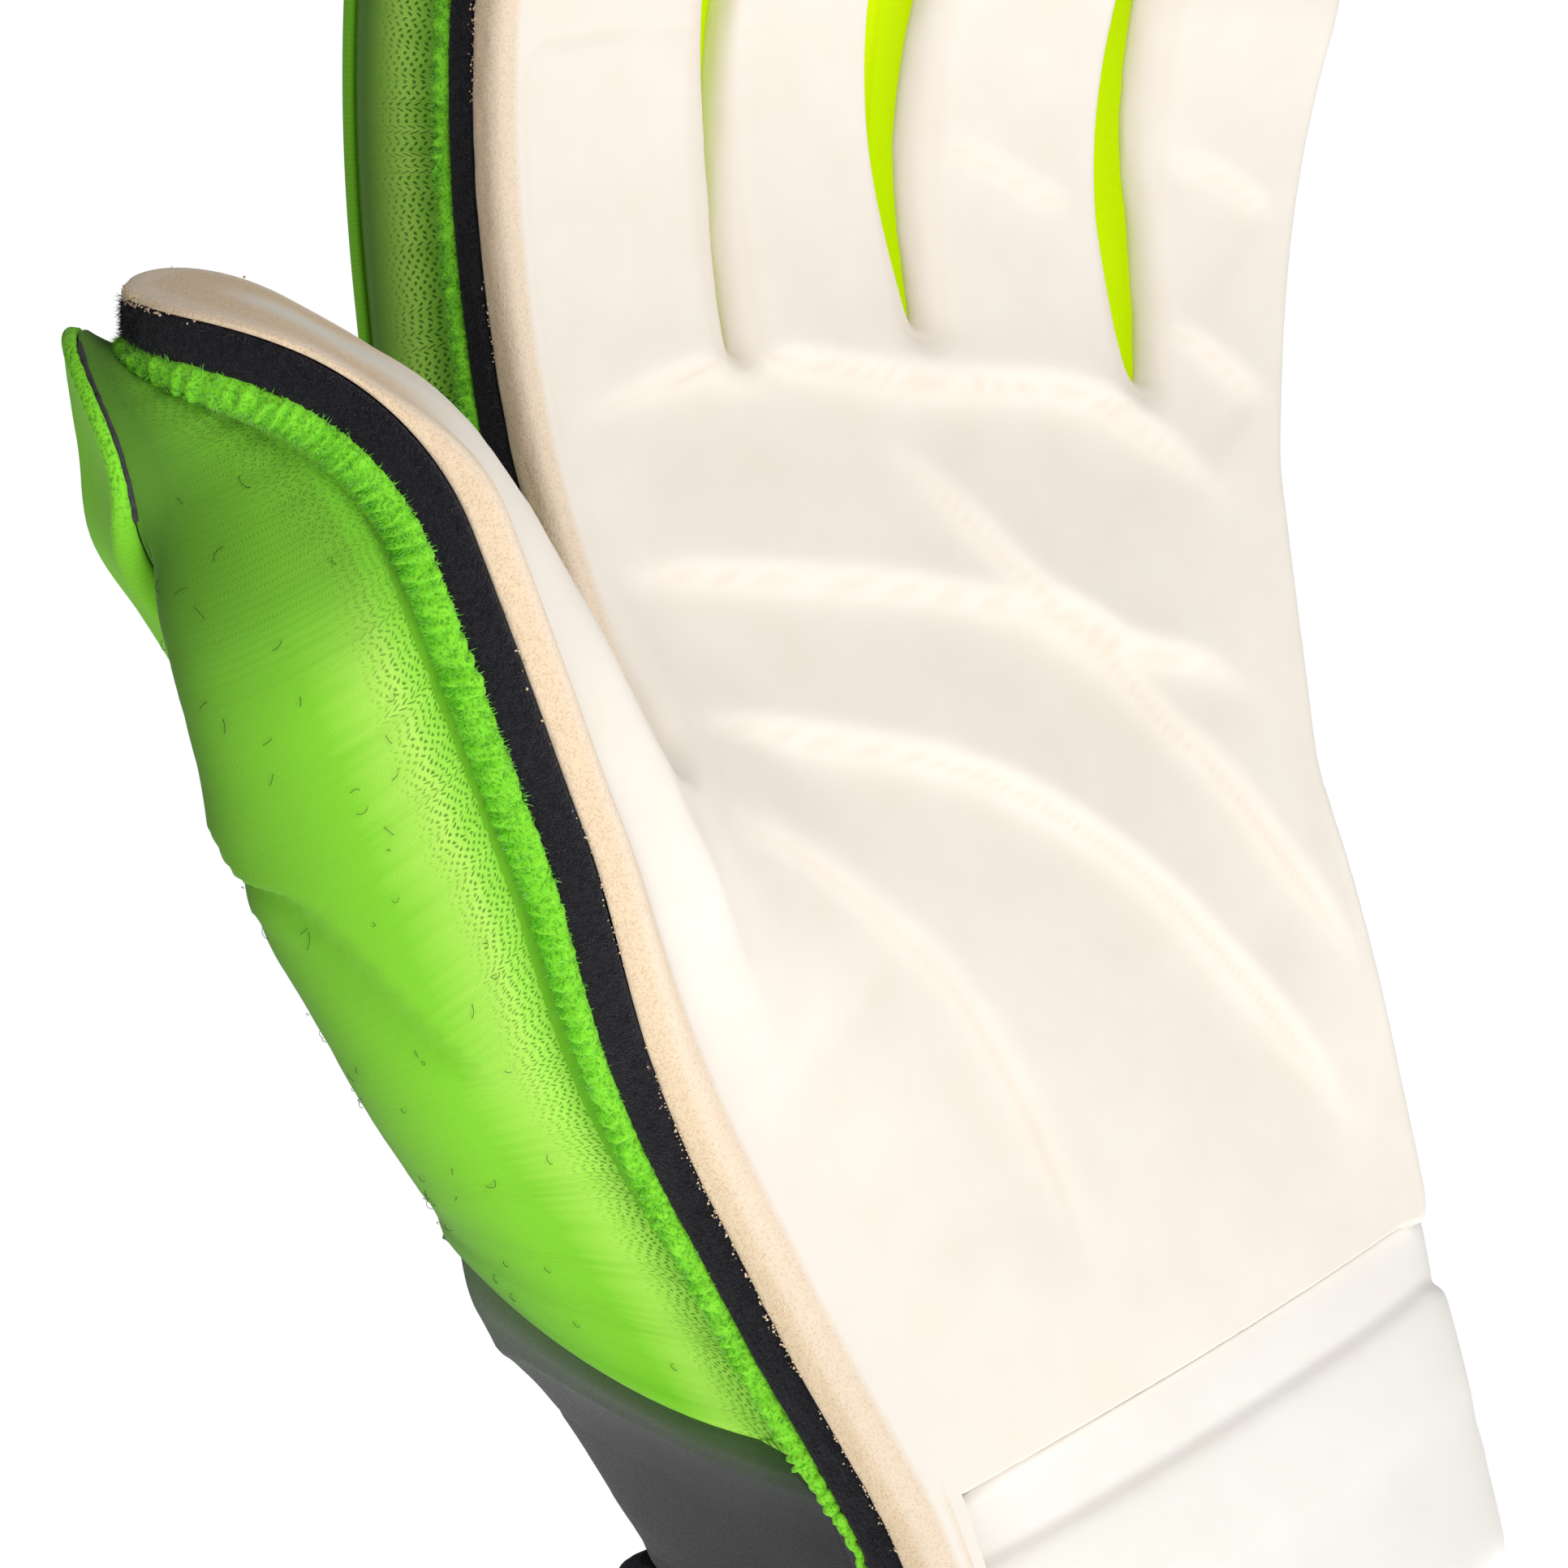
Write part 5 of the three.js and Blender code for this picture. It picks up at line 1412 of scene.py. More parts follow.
def wrist_top(degrees, out):
    """The line just under the glove's lower edge, slanting at the front and level at the back"""
    at = loop_point(degrees, np.zeros_like(degrees), out)
    first = RADIAL_SEAM[0][0]
    across = np.clip((at[..., 0] - first) / (ULNAR_SEAM[0][0] - first), 0, 1)
    front = mix(PALM_WRIST["radial_v"], PALM_WRIST["ulnar_v"], across)
    back = mix(BACK_WRIST["radial_v"], BACK_WRIST["ulnar_v"], across)
    share = np.clip((at[..., 2] + WRIST_DEPTH) / (WRIST_DEPTH + FLANGE_BACK), 0, 1)
    return mix(back, front, share) - END_GAP


def cuff_drop(degrees):
    """How much lower the cuff's upper edge is at each angle"""
    around = np.mod(degrees, 360)
    turned = np.clip((around - DROP_TURNS["from"]) / DROP_TURNS["run"], 0, 1)
    drop = mix(CUFF_DROP["front"], CUFF_DROP["back"], turned)
    return drop * over(around, CUFF_DROP) * ease((CUFF_DROP["to"] - around) / CUFF_DROP["run"])


def even_angles(first, last, spacing, v, out, ends=0.0):
    """Angles between two others, evenly spaced along the loop and closer together at the ends"""
    dense = np.linspace(first, last, 3000)
    place = loop_point(dense, v, out)
    run = lengths_along(place)
    stops = np.linspace(0, run[-1], int(run[-1] / spacing) + 1)
    if ends:
        near = ends * np.linspace(0, 1, 14) ** 1.6
        stops = stops[(stops > ends) & (stops < run[-1] - ends)]
        stops = np.concatenate([near, stops, (run[-1] - near)[::-1]])
    return np.interp(stops, run, dense), stops


# The rounded edges of the cuff's top and mouth: distance from the edge, and out from the surface
CUFF_TOP = [(0.0, -1.6), (0.05, -0.8), (0.3, -0.3), (0.9, -0.05), (2.0, 0.0)]
CUFF_MOUTH = [(1.0, -0.1), (0.35, -0.35), (0.05, -0.9), (0.0, -1.5), (0.3, -2.2)]
RIB = {"power": 0.7, "depth": 0.45, "swell": 0.0264, "swell_turn": 0.9, "swell_rows": 6, "end_rows": 2.5}
# How far above the mouth the ribs end and the inside starts, and how far under the top the inside ends
CUFF_ENDS = {"ribs": 1.2, "inside": 2, "top": 1}
CUFF_ROWS = 46
CUFF_INSIDE_ROWS = 9
CUFF_STEP = 0.5
CUFF_MIDDLE = -30


def build_cuff(settings):
    degrees, length = (found[:-1] for found in even_angles(*CUFF_ARC, CUFF_STEP, CUFF_MIDDLE, 0))
    top = wrist_top(degrees, 0.0) - cuff_drop(degrees)
    rows, downs = [], []
    rib_phase = length / length[-1] * round(length[-1] / settings.rib_pitch) * 2 * math.pi
    rib = np.abs(np.sin(rib_phase / 2)) ** RIB["power"]
    for drop, out in CUFF_TOP:
        rows.append(loop_point(degrees, top - drop, out + 0 * degrees))
        downs.append(drop)
    for k in range(1, CUFF_ROWS):
        v = mix(top - CUFF_TOP[-1][0], -CUFF_LENGTH + CUFF_ENDS["ribs"], k / CUFF_ROWS)
        swell = RIB["swell"] * np.sin(k * RIB["swell_turn"]) * ease(k / RIB["swell_rows"])
        depth = RIB["depth"] * (rib - 1) * ease((CUFF_ROWS - k) / RIB["end_rows"]) + swell
        rows.append(loop_point(degrees, v, depth))
        downs.append(2 + k)
    for drop, out in CUFF_MOUTH:
        rows.append(loop_point(degrees, -CUFF_LENGTH + drop, out + 0 * degrees))
        downs.append(CUFF_LENGTH - drop)
    for k in range(CUFF_INSIDE_ROWS):
        v = mix(-CUFF_LENGTH + CUFF_ENDS["inside"], top - CUFF_ENDS["top"], k / (CUFF_INSIDE_ROWS - 1))
        rows.append(loop_point(degrees, v, -CUFF_WALL + 0 * degrees))
        downs.append(CUFF_LENGTH + 5 * k)
    hand = np.stack(rows)
    count = hand.shape[1]
    index = np.arange(len(rows) * count).reshape(len(rows), count)
    index = np.concatenate([index, index[:1]])
    faces = index_faces(index, True)
    points = bend(hand, False).reshape(-1, 3)
    uv = np.stack([np.tile(length, len(rows)), np.repeat(downs, count)], 1)
    piece = make_piece("wrist_cuff", points, facing_out(points, faces), uv, {"rib": np.tile(rib, len(rows))})
    return dress(piece, "cuff_knit", cuff_material(settings), "cuff")


# Outlines of the sections of the strap and of its tab: how far under the glove's lower edge, and how far
# out from the cuff. The strap has a raised middle behind a groove beside its upper edge
STRAP_PROFILE = [
    (0.25, 1.0), (0.02, 1.5), (0.03, 2.1), (0.3, 2.6), (0.8, 2.8), (1.8, 2.86), (3.2, 2.86), (4.8, 2.84),
    (6.1, 2.8), (6.9, 2.7), (7.4, 2.66), (7.9, 2.85), (8.4, 3.3), (9.0, 3.62), (9.9, 3.78), (12, 3.84),
    (15, 3.88), (18, 3.9), (21, 3.9), (24, 3.9), (27, 3.9), (30, 3.88), (33, 3.85), (35.5, 3.8),
    (37.5, 3.7), (38.7, 3.5), (39.5, 3.1), (39.9, 2.5), (39.98, 1.8), (39.8, 1.1), (39.2, 0.8), (33, 0.8),
    (26, 0.8), (19, 0.8), (12, 0.8), (6, 0.8), (1, 0.8),
]
TAB_PROFILE = [
    (9.7, 4.75), (9.52, 5.0), (9.5, 5.5), (9.6, 5.95), (10, 6.2), (10.8, 6.3), (13, 6.3), (16, 6.3),
    (19, 6.3), (22, 6.3), (25, 6.3), (28, 6.3), (31, 6.3), (33.5, 6.3), (34.8, 6.3), (35.5, 6.2),
    (35.9, 5.95), (36, 5.5), (35.98, 5.0), (35.8, 4.75), (35, 4.6), (28, 4.6), (20, 4.6), (11, 4.6),
]
# The shallow line along the strap's middle
PLEAT = {"at": 23, "sway": 1.5, "sway_run": 31, "width": 1.2, "depth": 0.25}
BAND_MIDDLE = {"v": -25, "out": 3}
CORNER_RUN = 1.3
MOST_PULL = 0.93


def band_piece(name, profile, arc, spacing, corner, relief=None):
    """A strip round the wrist with rounded corners at both ends"""
    degrees, length = even_angles(*arc, spacing, BAND_MIDDLE["v"], BAND_MIDDLE["out"], ends=corner)
    drops = np.array([p[0] for p in profile])
    outs = np.array([p[1] for p in profile])
    low, high = drops.min(), drops.max()
    inner, outer = outs.min(), outs.max()
    sections = []
    for degree, at in zip(degrees, length):
        end = min(at, length[-1] - at)
        pull = 0.0
        if end < corner:
            pull = corner - math.sqrt(max(corner ** 2 - (corner - end) ** 2, 0))
            pull = min(pull, MOST_PULL * corner)
        room = np.clip((drops - low) / (high - low), 0, 1)
        drop = mix(low + pull, high - pull, room)
        flat = ease(min(end / CORNER_RUN, 1)) ** 0.5
        middle = (inner + outer) / 2
        out = mix(middle, outs, 0.25 + 0.75 * flat)
        if relief is not None:
            out = out + relief(at, drop) * (outs > middle) * flat
        turn = np.full(len(drop), degree)
        sections.append(loop_point(turn, wrist_top(turn, out) - drop, out))
    hand = np.stack(sections)
    points = bend(hand, False).reshape(-1, 3)
    stations, size = hand.shape[:2]
    index = np.arange(stations * size).reshape(stations, size)
    faces = [index_faces(index, True), ring_cells(index[0]), ring_cells(index[-1])[:, ::-1]]
    faces = np.concatenate(faces)
    uv = np.stack([np.repeat(length, size), np.tile(drops, stations)], 1)
    return make_piece(name, points, facing_out(points, faces), uv)


def build_strap(settings):
    def relief(at, drop):
        place = np.column_stack([np.full(len(drop), at), drop])
        middle = PLEAT["at"] + PLEAT["sway"] * math.sin(at / PLEAT["sway_run"])
        pleat = np.exp(-((drop - middle) / PLEAT["width"]) ** 2)
        return uneven("strap", place) - PLEAT["depth"] * pleat

    strap = band_piece("wrist_band", STRAP_PROFILE, STRAP_ARC, 0.9, 3, relief)
    dress(strap, "strap", strap_material(settings), "wrist_strap")
    tab = band_piece("band_tab", TAB_PROFILE, TAB_ARC, 0.6, 4)
    dress(tab, "strap", tab_material(settings), "strap_closure")


# Small fibres, threads and crumbs: where they stand beside the seam, and how large they are

FOAM_FUZZ = {"top": -0.45, "height": 3.2, "out": 3.45, "lean": 0.9, "least": 0.25,
             "short": 0.2, "longer": 0.9, "thin": 0.04, "thicker": 0.03}
FRILL_FUZZ = {"first_row": 2, "rows": 9.5, "lean": 0.5, "centre_n": 2.6, "centre_w": -5.7, "sunk": 0.1,
              "short": 0.35, "longer": 0.75, "thin": 0.045, "thicker": 0.03}
TAIL = {"end_row": -0.75, "steps": 70, "thinnest": 0.12, "out": 3.2, "out_wave": 0.25, "under": -4.75,
        "fall": 0.75, "under_wave": 0.2, "radius": 1.15, "uneven": 0.3, "least": 0.05}
SEAM_THREAD = {"shown": 0.4, "out": 0.35, "wave": 0.12, "radius": 0.3, "uneven": 0.06}
HAIR = {"points": 7, "radius": 0.03, "curl": 1.6, "short": 0.5, "longer": 1.5, "lift": 0.1, "arch": 0.25}
CRUMBS = {"clumping": -0.25, "scatter": 0.5, "middle": 0.12, "spread": 0.28, "out": 3.46, "farther": 0.08,
          "small": 0.07, "larger": 0.13, "narrow": 0.6, "wider": 0.8}
TUBE_SIDES = 6


def places_along(net, keep, seed, count):
    """A seeded generator, and random places along the seam where keep is true: a station and a share"""
    random = np.random.default_rng(seed)
    allowed = np.flatnonzero(keep[:net.seam_count - 1])
    return random, random.choice(allowed, count) + random.random(count)


def seam_point(net, q, n, w):
    """Places by the palm's seam, with the outward, along and back directions, bent"""
    ids = net.loop_ids[:net.seam_count]
    uv = at_index(net.uv[ids], q)
    normal = unit(at_index(net.normal[:net.seam_count], q))
    digit = net.loop_digit[np.round(q).astype(int)]
    thumb = digit == 0

    def at(dn, dw, ds=0.0):
        side = np.stack([-normal[:, 1], normal[:, 0]], 1)
        place = uv + normal * np.reshape(n + dn, (-1, 1)) + side * ds
        return bend(on_palm(place, digit, w + dw), thumb)

    root = at(0, 0)
    outward = unit(at(0.5, 0) - root)
    along = unit(at(0, 0, 0.5) - root)
    back = unit(at(0, -0.5) - root)
    return root, outward, along, back


def spikes(roots, tips, width):
    """Thin closed three-sided spikes"""
    axis = unit(tips - roots)
    helper = np.where(np.abs(axis[:, 2:]) < 0.9, [[0.0, 0.0, 1.0]], [[1.0, 0.0, 0.0]])
    side = unit(np.cross(axis, helper))
    other = np.cross(axis, side)
    points = []
    for k in range(3):
        turn = 2 * math.pi * k / 3
        points.append(roots + width[:, None] * (side * math.cos(turn) + other * math.sin(turn)))
    points.append(tips)
    vertices = np.stack(points, 1).reshape(-1, 3)
    base = np.arange(len(roots))[:, None] * 4
    faces = np.concatenate([base + [a, b, c] for a, b, c in ((0, 1, 3), (1, 2, 3), (2, 0, 3), (2, 1, 0))])
    return vertices, faces


def fuzz_piece(name, random, root, tip, kind):
    """Spikes from their roots to their tips, each with its own width and tint"""
    vertices, faces = spikes(root, tip, kind["thin"] + kind["thicker"] * random.random(len(root)))
    tints = np.repeat(random.random(len(root)), 4)
    return make_piece(name, vertices, faces, values={"tint": tints})


def build_foam_fuzz(settings, palm, crisp):
    random, q = places_along(palm, crisp, 5, settings.foam_fuzz)
    w = FOAM_FUZZ["top"] - FOAM_FUZZ["height"] * random.random(len(q))
    root, outward, along, back = seam_point(palm, q, FOAM_FUZZ["out"] + 0 * q, w)
    lean = random.normal(size=(len(q), 2)) * FOAM_FUZZ["lean"]
    reach = FOAM_FUZZ["short"] + FOAM_FUZZ["longer"] * random.random(len(q)) ** 2
    way = unit(outward + along * lean[:, :1] + back * lean[:, 1:])
    tip = root + way * (reach + FOAM_FUZZ["least"])[:, None]
    piece = fuzz_piece("backing_fuzz", random, root, tip, FOAM_FUZZ)
    dress(piece, "foam", fuzz_material("black fuzz", settings.foam_colour, 0.16))


def build_frill_fuzz(settings, palm, crisp):
    first = int(THUMB_GUSSET_END[0] * palm.fine) + palm.tab_stations + 2
    frilled = crisp & (np.arange(len(crisp)) > first)
    random, q = places_along(palm, frilled, 6, settings.knit_fuzz)
    row = FRILL_FUZZ["first_row"] + FRILL_FUZZ["rows"] * random.random(len(q))
    n = np.interp(row, range(len(PALM_FRILL)), [r[0] for r in PALM_FRILL]) - FRILL_FUZZ["sunk"]
    w = np.interp(row, range(len(PALM_FRILL)), [r[1] for r in PALM_FRILL])
    root, outward, along, back = seam_point(palm, q, n, w)
    lean = random.normal(size=(len(q), 3)) * FRILL_FUZZ["lean"]
    out = n - FRILL_FUZZ["centre_n"] + lean[:, 0]
    down = FRILL_FUZZ["centre_w"] - w + lean[:, 1]
    reach = FRILL_FUZZ["short"] + FRILL_FUZZ["longer"] * random.random(len(q)) ** 2
    way = unit(outward * out[:, None] + back * down[:, None] + along * lean[:, 2:])
    piece = fuzz_piece("seam_fuzz", random, root, root + way * reach[:, None], FRILL_FUZZ)
    dress(piece, "knit", fuzz_material("green fuzz", settings.frill_colour, 0.6))


def build_crumbs(settings, palm, crisp):
    """Eight-sided crumbs in clumps between the latex and the foam"""
    random, q = places_along(palm, crisp, 7, settings.crumbs)
    clump = wander(q, 3, 7) > CRUMBS["clumping"] + CRUMBS["scatter"] * random.random(len(q))
    q = q[clump]
    w = CRUMBS["middle"] + CRUMBS["spread"] * random.normal(size=len(q))
    out = CRUMBS["out"] + CRUMBS["farther"] * random.random(len(q))
    root, outward, along, back = seam_point(palm, q, out, w)
    size = CRUMBS["small"] + CRUMBS["larger"] * random.random(len(q)) ** 2
    corners = np.array([(1, 0, 0), (-1, 0, 0), (0, 1, 0), (0, -1, 0), (0, 0, 1), (0, 0, -1)], float)
    stretch = CRUMBS["narrow"] + CRUMBS["wider"] * random.random((len(q), 6, 1))
    basis = np.stack([outward, along, back], 1)
    offsets = np.einsum("kc,nci->nki", corners, basis) * stretch * size[:, None, None]
    vertices = (root[:, None] + offsets).reshape(-1, 3)
    sides = [(0, 2, 4), (2, 1, 4), (1, 3, 4), (3, 0, 4), (2, 0, 5), (1, 2, 5), (3, 1, 5), (0, 3, 5)]
    base = np.arange(len(q))[:, None] * 6
    faces = np.concatenate([base + list(side) for side in sides])
    piece = make_piece("edge_crumbs", vertices, faces, values={"tint": np.repeat(size, 6)})
    dress(piece, "latex", fuzz_material("latex crumbs", settings.cut_colour, 1.2))


def build_fibres(settings):
    palm, _ = nets(settings.sheet_cells)
    crisp = palm.rolled < 0.4
    for build in (build_foam_fuzz, build_frill_fuzz, build_crumbs):
        build(settings, palm, crisp)


def tubes(paths, radii):
    """Thin closed tubes along rows of points, each with a radius at every point"""
    around = TUBE_SIDES
    ahead = unit(np.gradient(paths, axis=1))
    helper = np.where(np.abs(ahead[..., 2:]) < 0.9, [[[0.0, 0.0, 1.0]]], [[[1.0, 0.0, 0.0]]])
    side = unit(np.cross(ahead, helper))
    other = np.cross(ahead, side)
    turn = np.arange(around) * 2 * math.pi / around
    ring = side[..., None, :] * np.cos(turn)[:, None] + other[..., None, :] * np.sin(turn)[:, None]
    points = paths[..., None, :] + ring * radii[..., None, None]
    count, steps = paths.shape[:2]
    index = np.arange(count * steps * around).reshape(count, steps, around)
    faces = [index_faces(index[i], True) for i in range(count)]
    faces += [np.array([i[0, [0, 1, 2, 3]], i[0, [0, 3, 4, 5]], i[-1, [3, 2, 1, 0]], i[-1, [5, 4, 3, 0]]])
              for i in index]
    points = points.reshape(-1, 3)
    return points, facing_out(points, np.concatenate(faces))


def build_seam_thread(settings, grid, raw):
    """The grey thread along the raw back seam of the thumb's tip"""
    shown = np.flatnonzero(raw > SEAM_THREAD["shown"])[:-8:2]
    line = grid[shown, -1]
    out = unit(line - grid[shown, WALL_ROWS // 2])
    steps = np.arange(len(line))
    path = line + out * SEAM_THREAD["out"]
    path[:, 2] += SEAM_THREAD["wave"] * wander(steps, 41, 3)
    radii = SEAM_THREAD["radius"] + SEAM_THREAD["uneven"] * wander(steps, 43, 2)
    points, faces = tubes(path[None], radii[None])
    piece = make_piece("flange_thread", points, faces)
    dress(piece, "wrist_knit", thread_material("grey thread", settings.wrist_colour))


def build_frill_tail(settings):
    """The frill past the thumb's wall, which thins out along the wrist panel"""
    palm, _ = nets(settings.sheet_cells)
    first, last = THUMB_GUSSET_END[0] * palm.fine + 0.2, TAIL["end_row"] * palm.fine
    q = np.linspace(first, last, TAIL["steps"]) + palm.tab_stations
    fade = np.linspace(1, TAIL["thinnest"], len(q))
    steps = np.arange(len(q))
    n = TAIL["out"] + TAIL["out_wave"] * wander(steps, 47, 3)
    w = TAIL["under"] - TAIL["fall"] * fade + TAIL["under_wave"] * wander(steps, 49, 4)
    path = seam_point(palm, q, n, w)[0]
    radii = fade * (TAIL["radius"] + TAIL["uneven"] * wander(steps, 53, 3)) + TAIL["least"]
    points, faces = tubes(path[None], radii[None])
    piece = make_piece("frill_tail", points, faces, points[:, :2], {"frill": np.ones(len(points))})
    dress(piece, "knit", knit_material(settings, "side knit"))


def build_hairs(settings, grid):
    """Short curled hairs just above the thumb's wall"""
    random = np.random.default_rng(17)
    count = settings.stray_hairs
    i = random.integers(20, len(grid) - 60, count)
    j = random.integers(2, WALL_ROWS - 2, count)
    start = grid[i, j]
    along = unit(grid[i + 4, j] - start)
    down = unit(grid[i, j + 1] - start)
    up = unit(np.cross(along, down))
    middle = (grid[i, 0] + grid[i, -1]) / 2
    up = up * np.sign(((start - middle) * up).sum(1))[:, None]
    turn = random.random(count) * 2 * math.pi
    curl = random.normal(size=count) * HAIR["curl"]
    length = HAIR["short"] + HAIR["longer"] * random.random(count)
    step = (length / (HAIR["points"] - 1))[:, None]
    path = []
    for k in range(HAIR["points"]):
        share = k / (HAIR["points"] - 1)
        angle = turn + curl * share
        way = along * np.cos(angle)[:, None] + down * np.sin(angle)[:, None]
        start = start + way * step
        path.append(start + up * (HAIR["lift"] + HAIR["arch"] * math.sin(share * math.pi)))
    points, faces = tubes(np.stack(path, 1), np.full((count, HAIR["points"]), HAIR["radius"]))
    piece = make_piece("stray_hairs", points, faces)
    dress(piece, "wrist_knit", thread_material("stray hair", settings.foam_colour))


def build_threads(settings):
    grid, raw = _walls["thumb_outer_side"]
    build_seam_thread(settings, grid, raw)
    build_frill_tail(settings)
    build_hairs(settings, grid)


# Materials

def linear(r, g, b):
    """A colour given as screen values from 0 to 255"""
    parts = [c / 255 for c in (r, g, b)]
    return tuple(c / 12.92 if c <= 0.04045 else ((c + 0.055) / 1.055) ** 2.4 for c in parts)


class Graph:
    """Adds and joins the nodes of a material or a node group"""

    def __init__(self, tree):
        self.tree = tree

    def add(self, kind, inputs=(), **settings):
        node = self.tree.nodes.new(kind)
        for key, value in settings.items():
            setattr(node, key, value)
        for key, value in dict(inputs).items():
            self.put(node.inputs[key], value)
        return node

    def put(self, socket, value):
        if isinstance(value, bpy.types.NodeSocket):
            self.tree.links.new(value, socket)
        elif socket.type == "RGBA" and len(value) == 3:
            socket.default_value = (*value, 1)
        else:
            socket.default_value = value

    def math(self, operation, a, b=0.0):
        node = self.add("ShaderNodeMath", {0: a, 1: b}, operation=operation)
        return node.outputs[0]

    def times(self, a, b):
        return self.math("MULTIPLY", a, b)

    def plus(self, a, b):
        return self.math("ADD", a, b)

    def minus(self, a, b):
        return self.math("SUBTRACT", a, b)

    def mix(self, share, a, b):
        node = self.add("ShaderNodeMix", data_type="RGBA")
        self.put(node.inputs[0], share)
        self.put(node.inputs[6], a)
        self.put(node.inputs[7], b)
        return node.outputs[2]

    def noise(self, vector, scale, detail=2.0, roughness=0.5):
        node = self.add("ShaderNodeTexNoise", {"Vector": vector, "Scale": scale, "Detail": detail,
                                               "Roughness": roughness})
        return node.outputs[0]

    def spread(self, value, low, high, to_low=0.0, to_high=1.0):
        node = self.add("ShaderNodeMapRange", {0: value, 1: low, 2: high, 3: to_low, 4: to_high})
        return node.outputs[0]

    def attribute(self, name):
        return self.add("ShaderNodeAttribute", attribute_name=name).outputs["Fac"]

    def part_of(self, vector, k):
        return self.add("ShaderNodeSeparateXYZ", {0: vector}).outputs[k]


def node_group(name, inputs, outputs, fill):
    """A shader node group with named sockets, made once"""
    group = bpy.data.node_groups.get(name)
    if group:
        return group
    group = bpy.data.node_groups.new(name, "ShaderNodeTree")
    for label, kind, default in inputs:
        socket = group.interface.new_socket(label, in_out="INPUT", socket_type=kind)
        if default is not None:
            socket.default_value = default
    for label, kind in outputs:
        group.interface.new_socket(label, in_out="OUTPUT", socket_type=kind)
    graph = Graph(group)
    start = graph.add("NodeGroupInput")
    end = graph.add("NodeGroupOutput")
    for label, value in fill(graph, start.outputs).items():
        group.links.new(value, end.inputs[label])
    return group


FLOAT, VECTOR = "NodeSocketFloat", "NodeSocketVector"


# The grain of each surface: its features in a metre, fine and coarse
GRAIN = {"latex": (3600, 130), "suede": (3600, 1100), "strap": (3400, 120), "tab": (3400, 300),
         "foam": (4200, 1300), "frill": (2400, 80), "wrist": (2600, 150), "cuff": (2400, 200),
         "fuzz": (2600, 500), "thread": (5200, 1800)}
# How deep the fine relief of each surface is, in metres
RELIEF = {"latex": 0.0005, "strap": 0.0005, "tab": 0.0003, "foam": 0.0007, "knit": 0.00012,
          "wrist": 0.00015, "cuff": 0.0003, "thread": 0.0002}
# Darker tones, as factors of red, green and blue: the latex's face, the painted shade in its folds, its cut
# edge, the strap
FACE_SHADE = (0.93, 0.9, 0.85)
FOLD_SHADE_TONE = (0.84, 0.74, 0.62)
CUT_DARK = (0.74, 0.66, 0.58)
STRAP_SHADE = (0.95, 0.945, 0.93)
# The knit's pattern for each loop: rows of holes across and up, turn of the dashes, slant of the weave
HOLES_ACROSS = 0.4
HOLES_UP = 0.37
DASH_TURN = 3.1
WEAVE_SLANT = 0.55
# Widths in millimetres: a loop of the wrist's and of the cuff's knit, a rib of the closing tab
WRIST_PITCH = 0.4
CUFF_PITCH = 0.6
TAB_RIB = 1.1


def knit_group():
    """A fine knit: open holes in rows, upright ribs and a slanted weave, each as a share from 0 to 1"""
    def fill(g, i):
        x, y = (g.math("DIVIDE", g.part_of(i["Pattern"], k), i["Pitch"]) for k in (0, 1))
        drift = g.times(g.noise(i["Pattern"], 0.3, 1), 1.5)
        x = g.plus(x, g.times(drift, 0.3))
        turn = 2 * math.pi
        across = g.math("COSINE", g.times(x, turn * HOLES_ACROSS))
        up = g.math("COSINE", g.times(y, turn * HOLES_UP))
        hole = g.spread(g.times(across, up), 0.35, 0.75)
        rib = g.math("COSINE", g.times(y, turn))
        gaps = g.spread(g.math("COSINE", g.times(x, DASH_TURN)), 0.1, 0.7)
        dash = g.times(g.spread(rib, 0.2, 0.9), gaps)
        lean = g.plus(g.times(x, WEAVE_SLANT), y)
        weave = g.spread(g.math("COSINE", g.times(lean, turn)), -1, 1)
        return {"Hole": hole, "Rib": g.spread(rib, -1, 1), "Dash": dash, "Weave": weave}

    return node_group("fine knit", [("Pattern", VECTOR, None), ("Pitch", FLOAT, 0.4)],
                      [("Hole", FLOAT), ("Rib", FLOAT), ("Dash", FLOAT), ("Weave", FLOAT)], fill)


def grain_group():
    """Fine irregular grain over a coarser one, as a height and as a tint"""
    def fill(g, i):
        fine = g.noise(i["Place"], i["Fine"], 3, 0.6)
        coarse = g.noise(i["Place"], i["Coarse"], 2, 0.5)
        height = g.plus(g.times(fine, 0.6), g.times(coarse, 0.4))
        return {"Height": height, "Tint": g.spread(coarse, 0.3, 0.7), "Fine": fine}

    return node_group("soft grain", [("Place", VECTOR, None), ("Fine", FLOAT, 3000), ("Coarse", FLOAT, 600)],
                      [("Height", FLOAT), ("Tint", FLOAT), ("Fine", FLOAT)], fill)


def new_material(name, roughness, sheen=0.0, sheen_tint=None, specular=0.3):
    material = bpy.data.materials.new(name)
    material.use_nodes = True
    graph = Graph(material.node_tree)
    shader = material.node_tree.nodes["Principled BSDF"]
    shader.inputs["Roughness"].default_value = roughness
    shader.inputs["Specular IOR Level"].default_value = specular
    shader.inputs["Sheen Weight"].default_value = sheen
    shader.inputs["Sheen Roughness"].default_value = 0.45
    if sheen_tint:
        shader.inputs["Sheen Tint"].default_value = (*sheen_tint, 1)
    place = graph.add("ShaderNodeTexCoord")
    return material, graph, shader, place.outputs["Object"], place.outputs["UV"]


def use_group(graph, group, inputs):
    node = graph.add("ShaderNodeGroup", node_tree=group)
    for key, value in inputs.items():
        graph.put(node.inputs[key], value)
    return node.outputs


def grain_of(graph, place, kind):
    fine, coarse = GRAIN[kind]
    return use_group(graph, grain_group(), {"Place": place, "Fine": fine, "Coarse": coarse})


def knit_of(graph, pattern, pitch):
    return use_group(graph, knit_group(), {"Pattern": pattern, "Pitch": pitch})


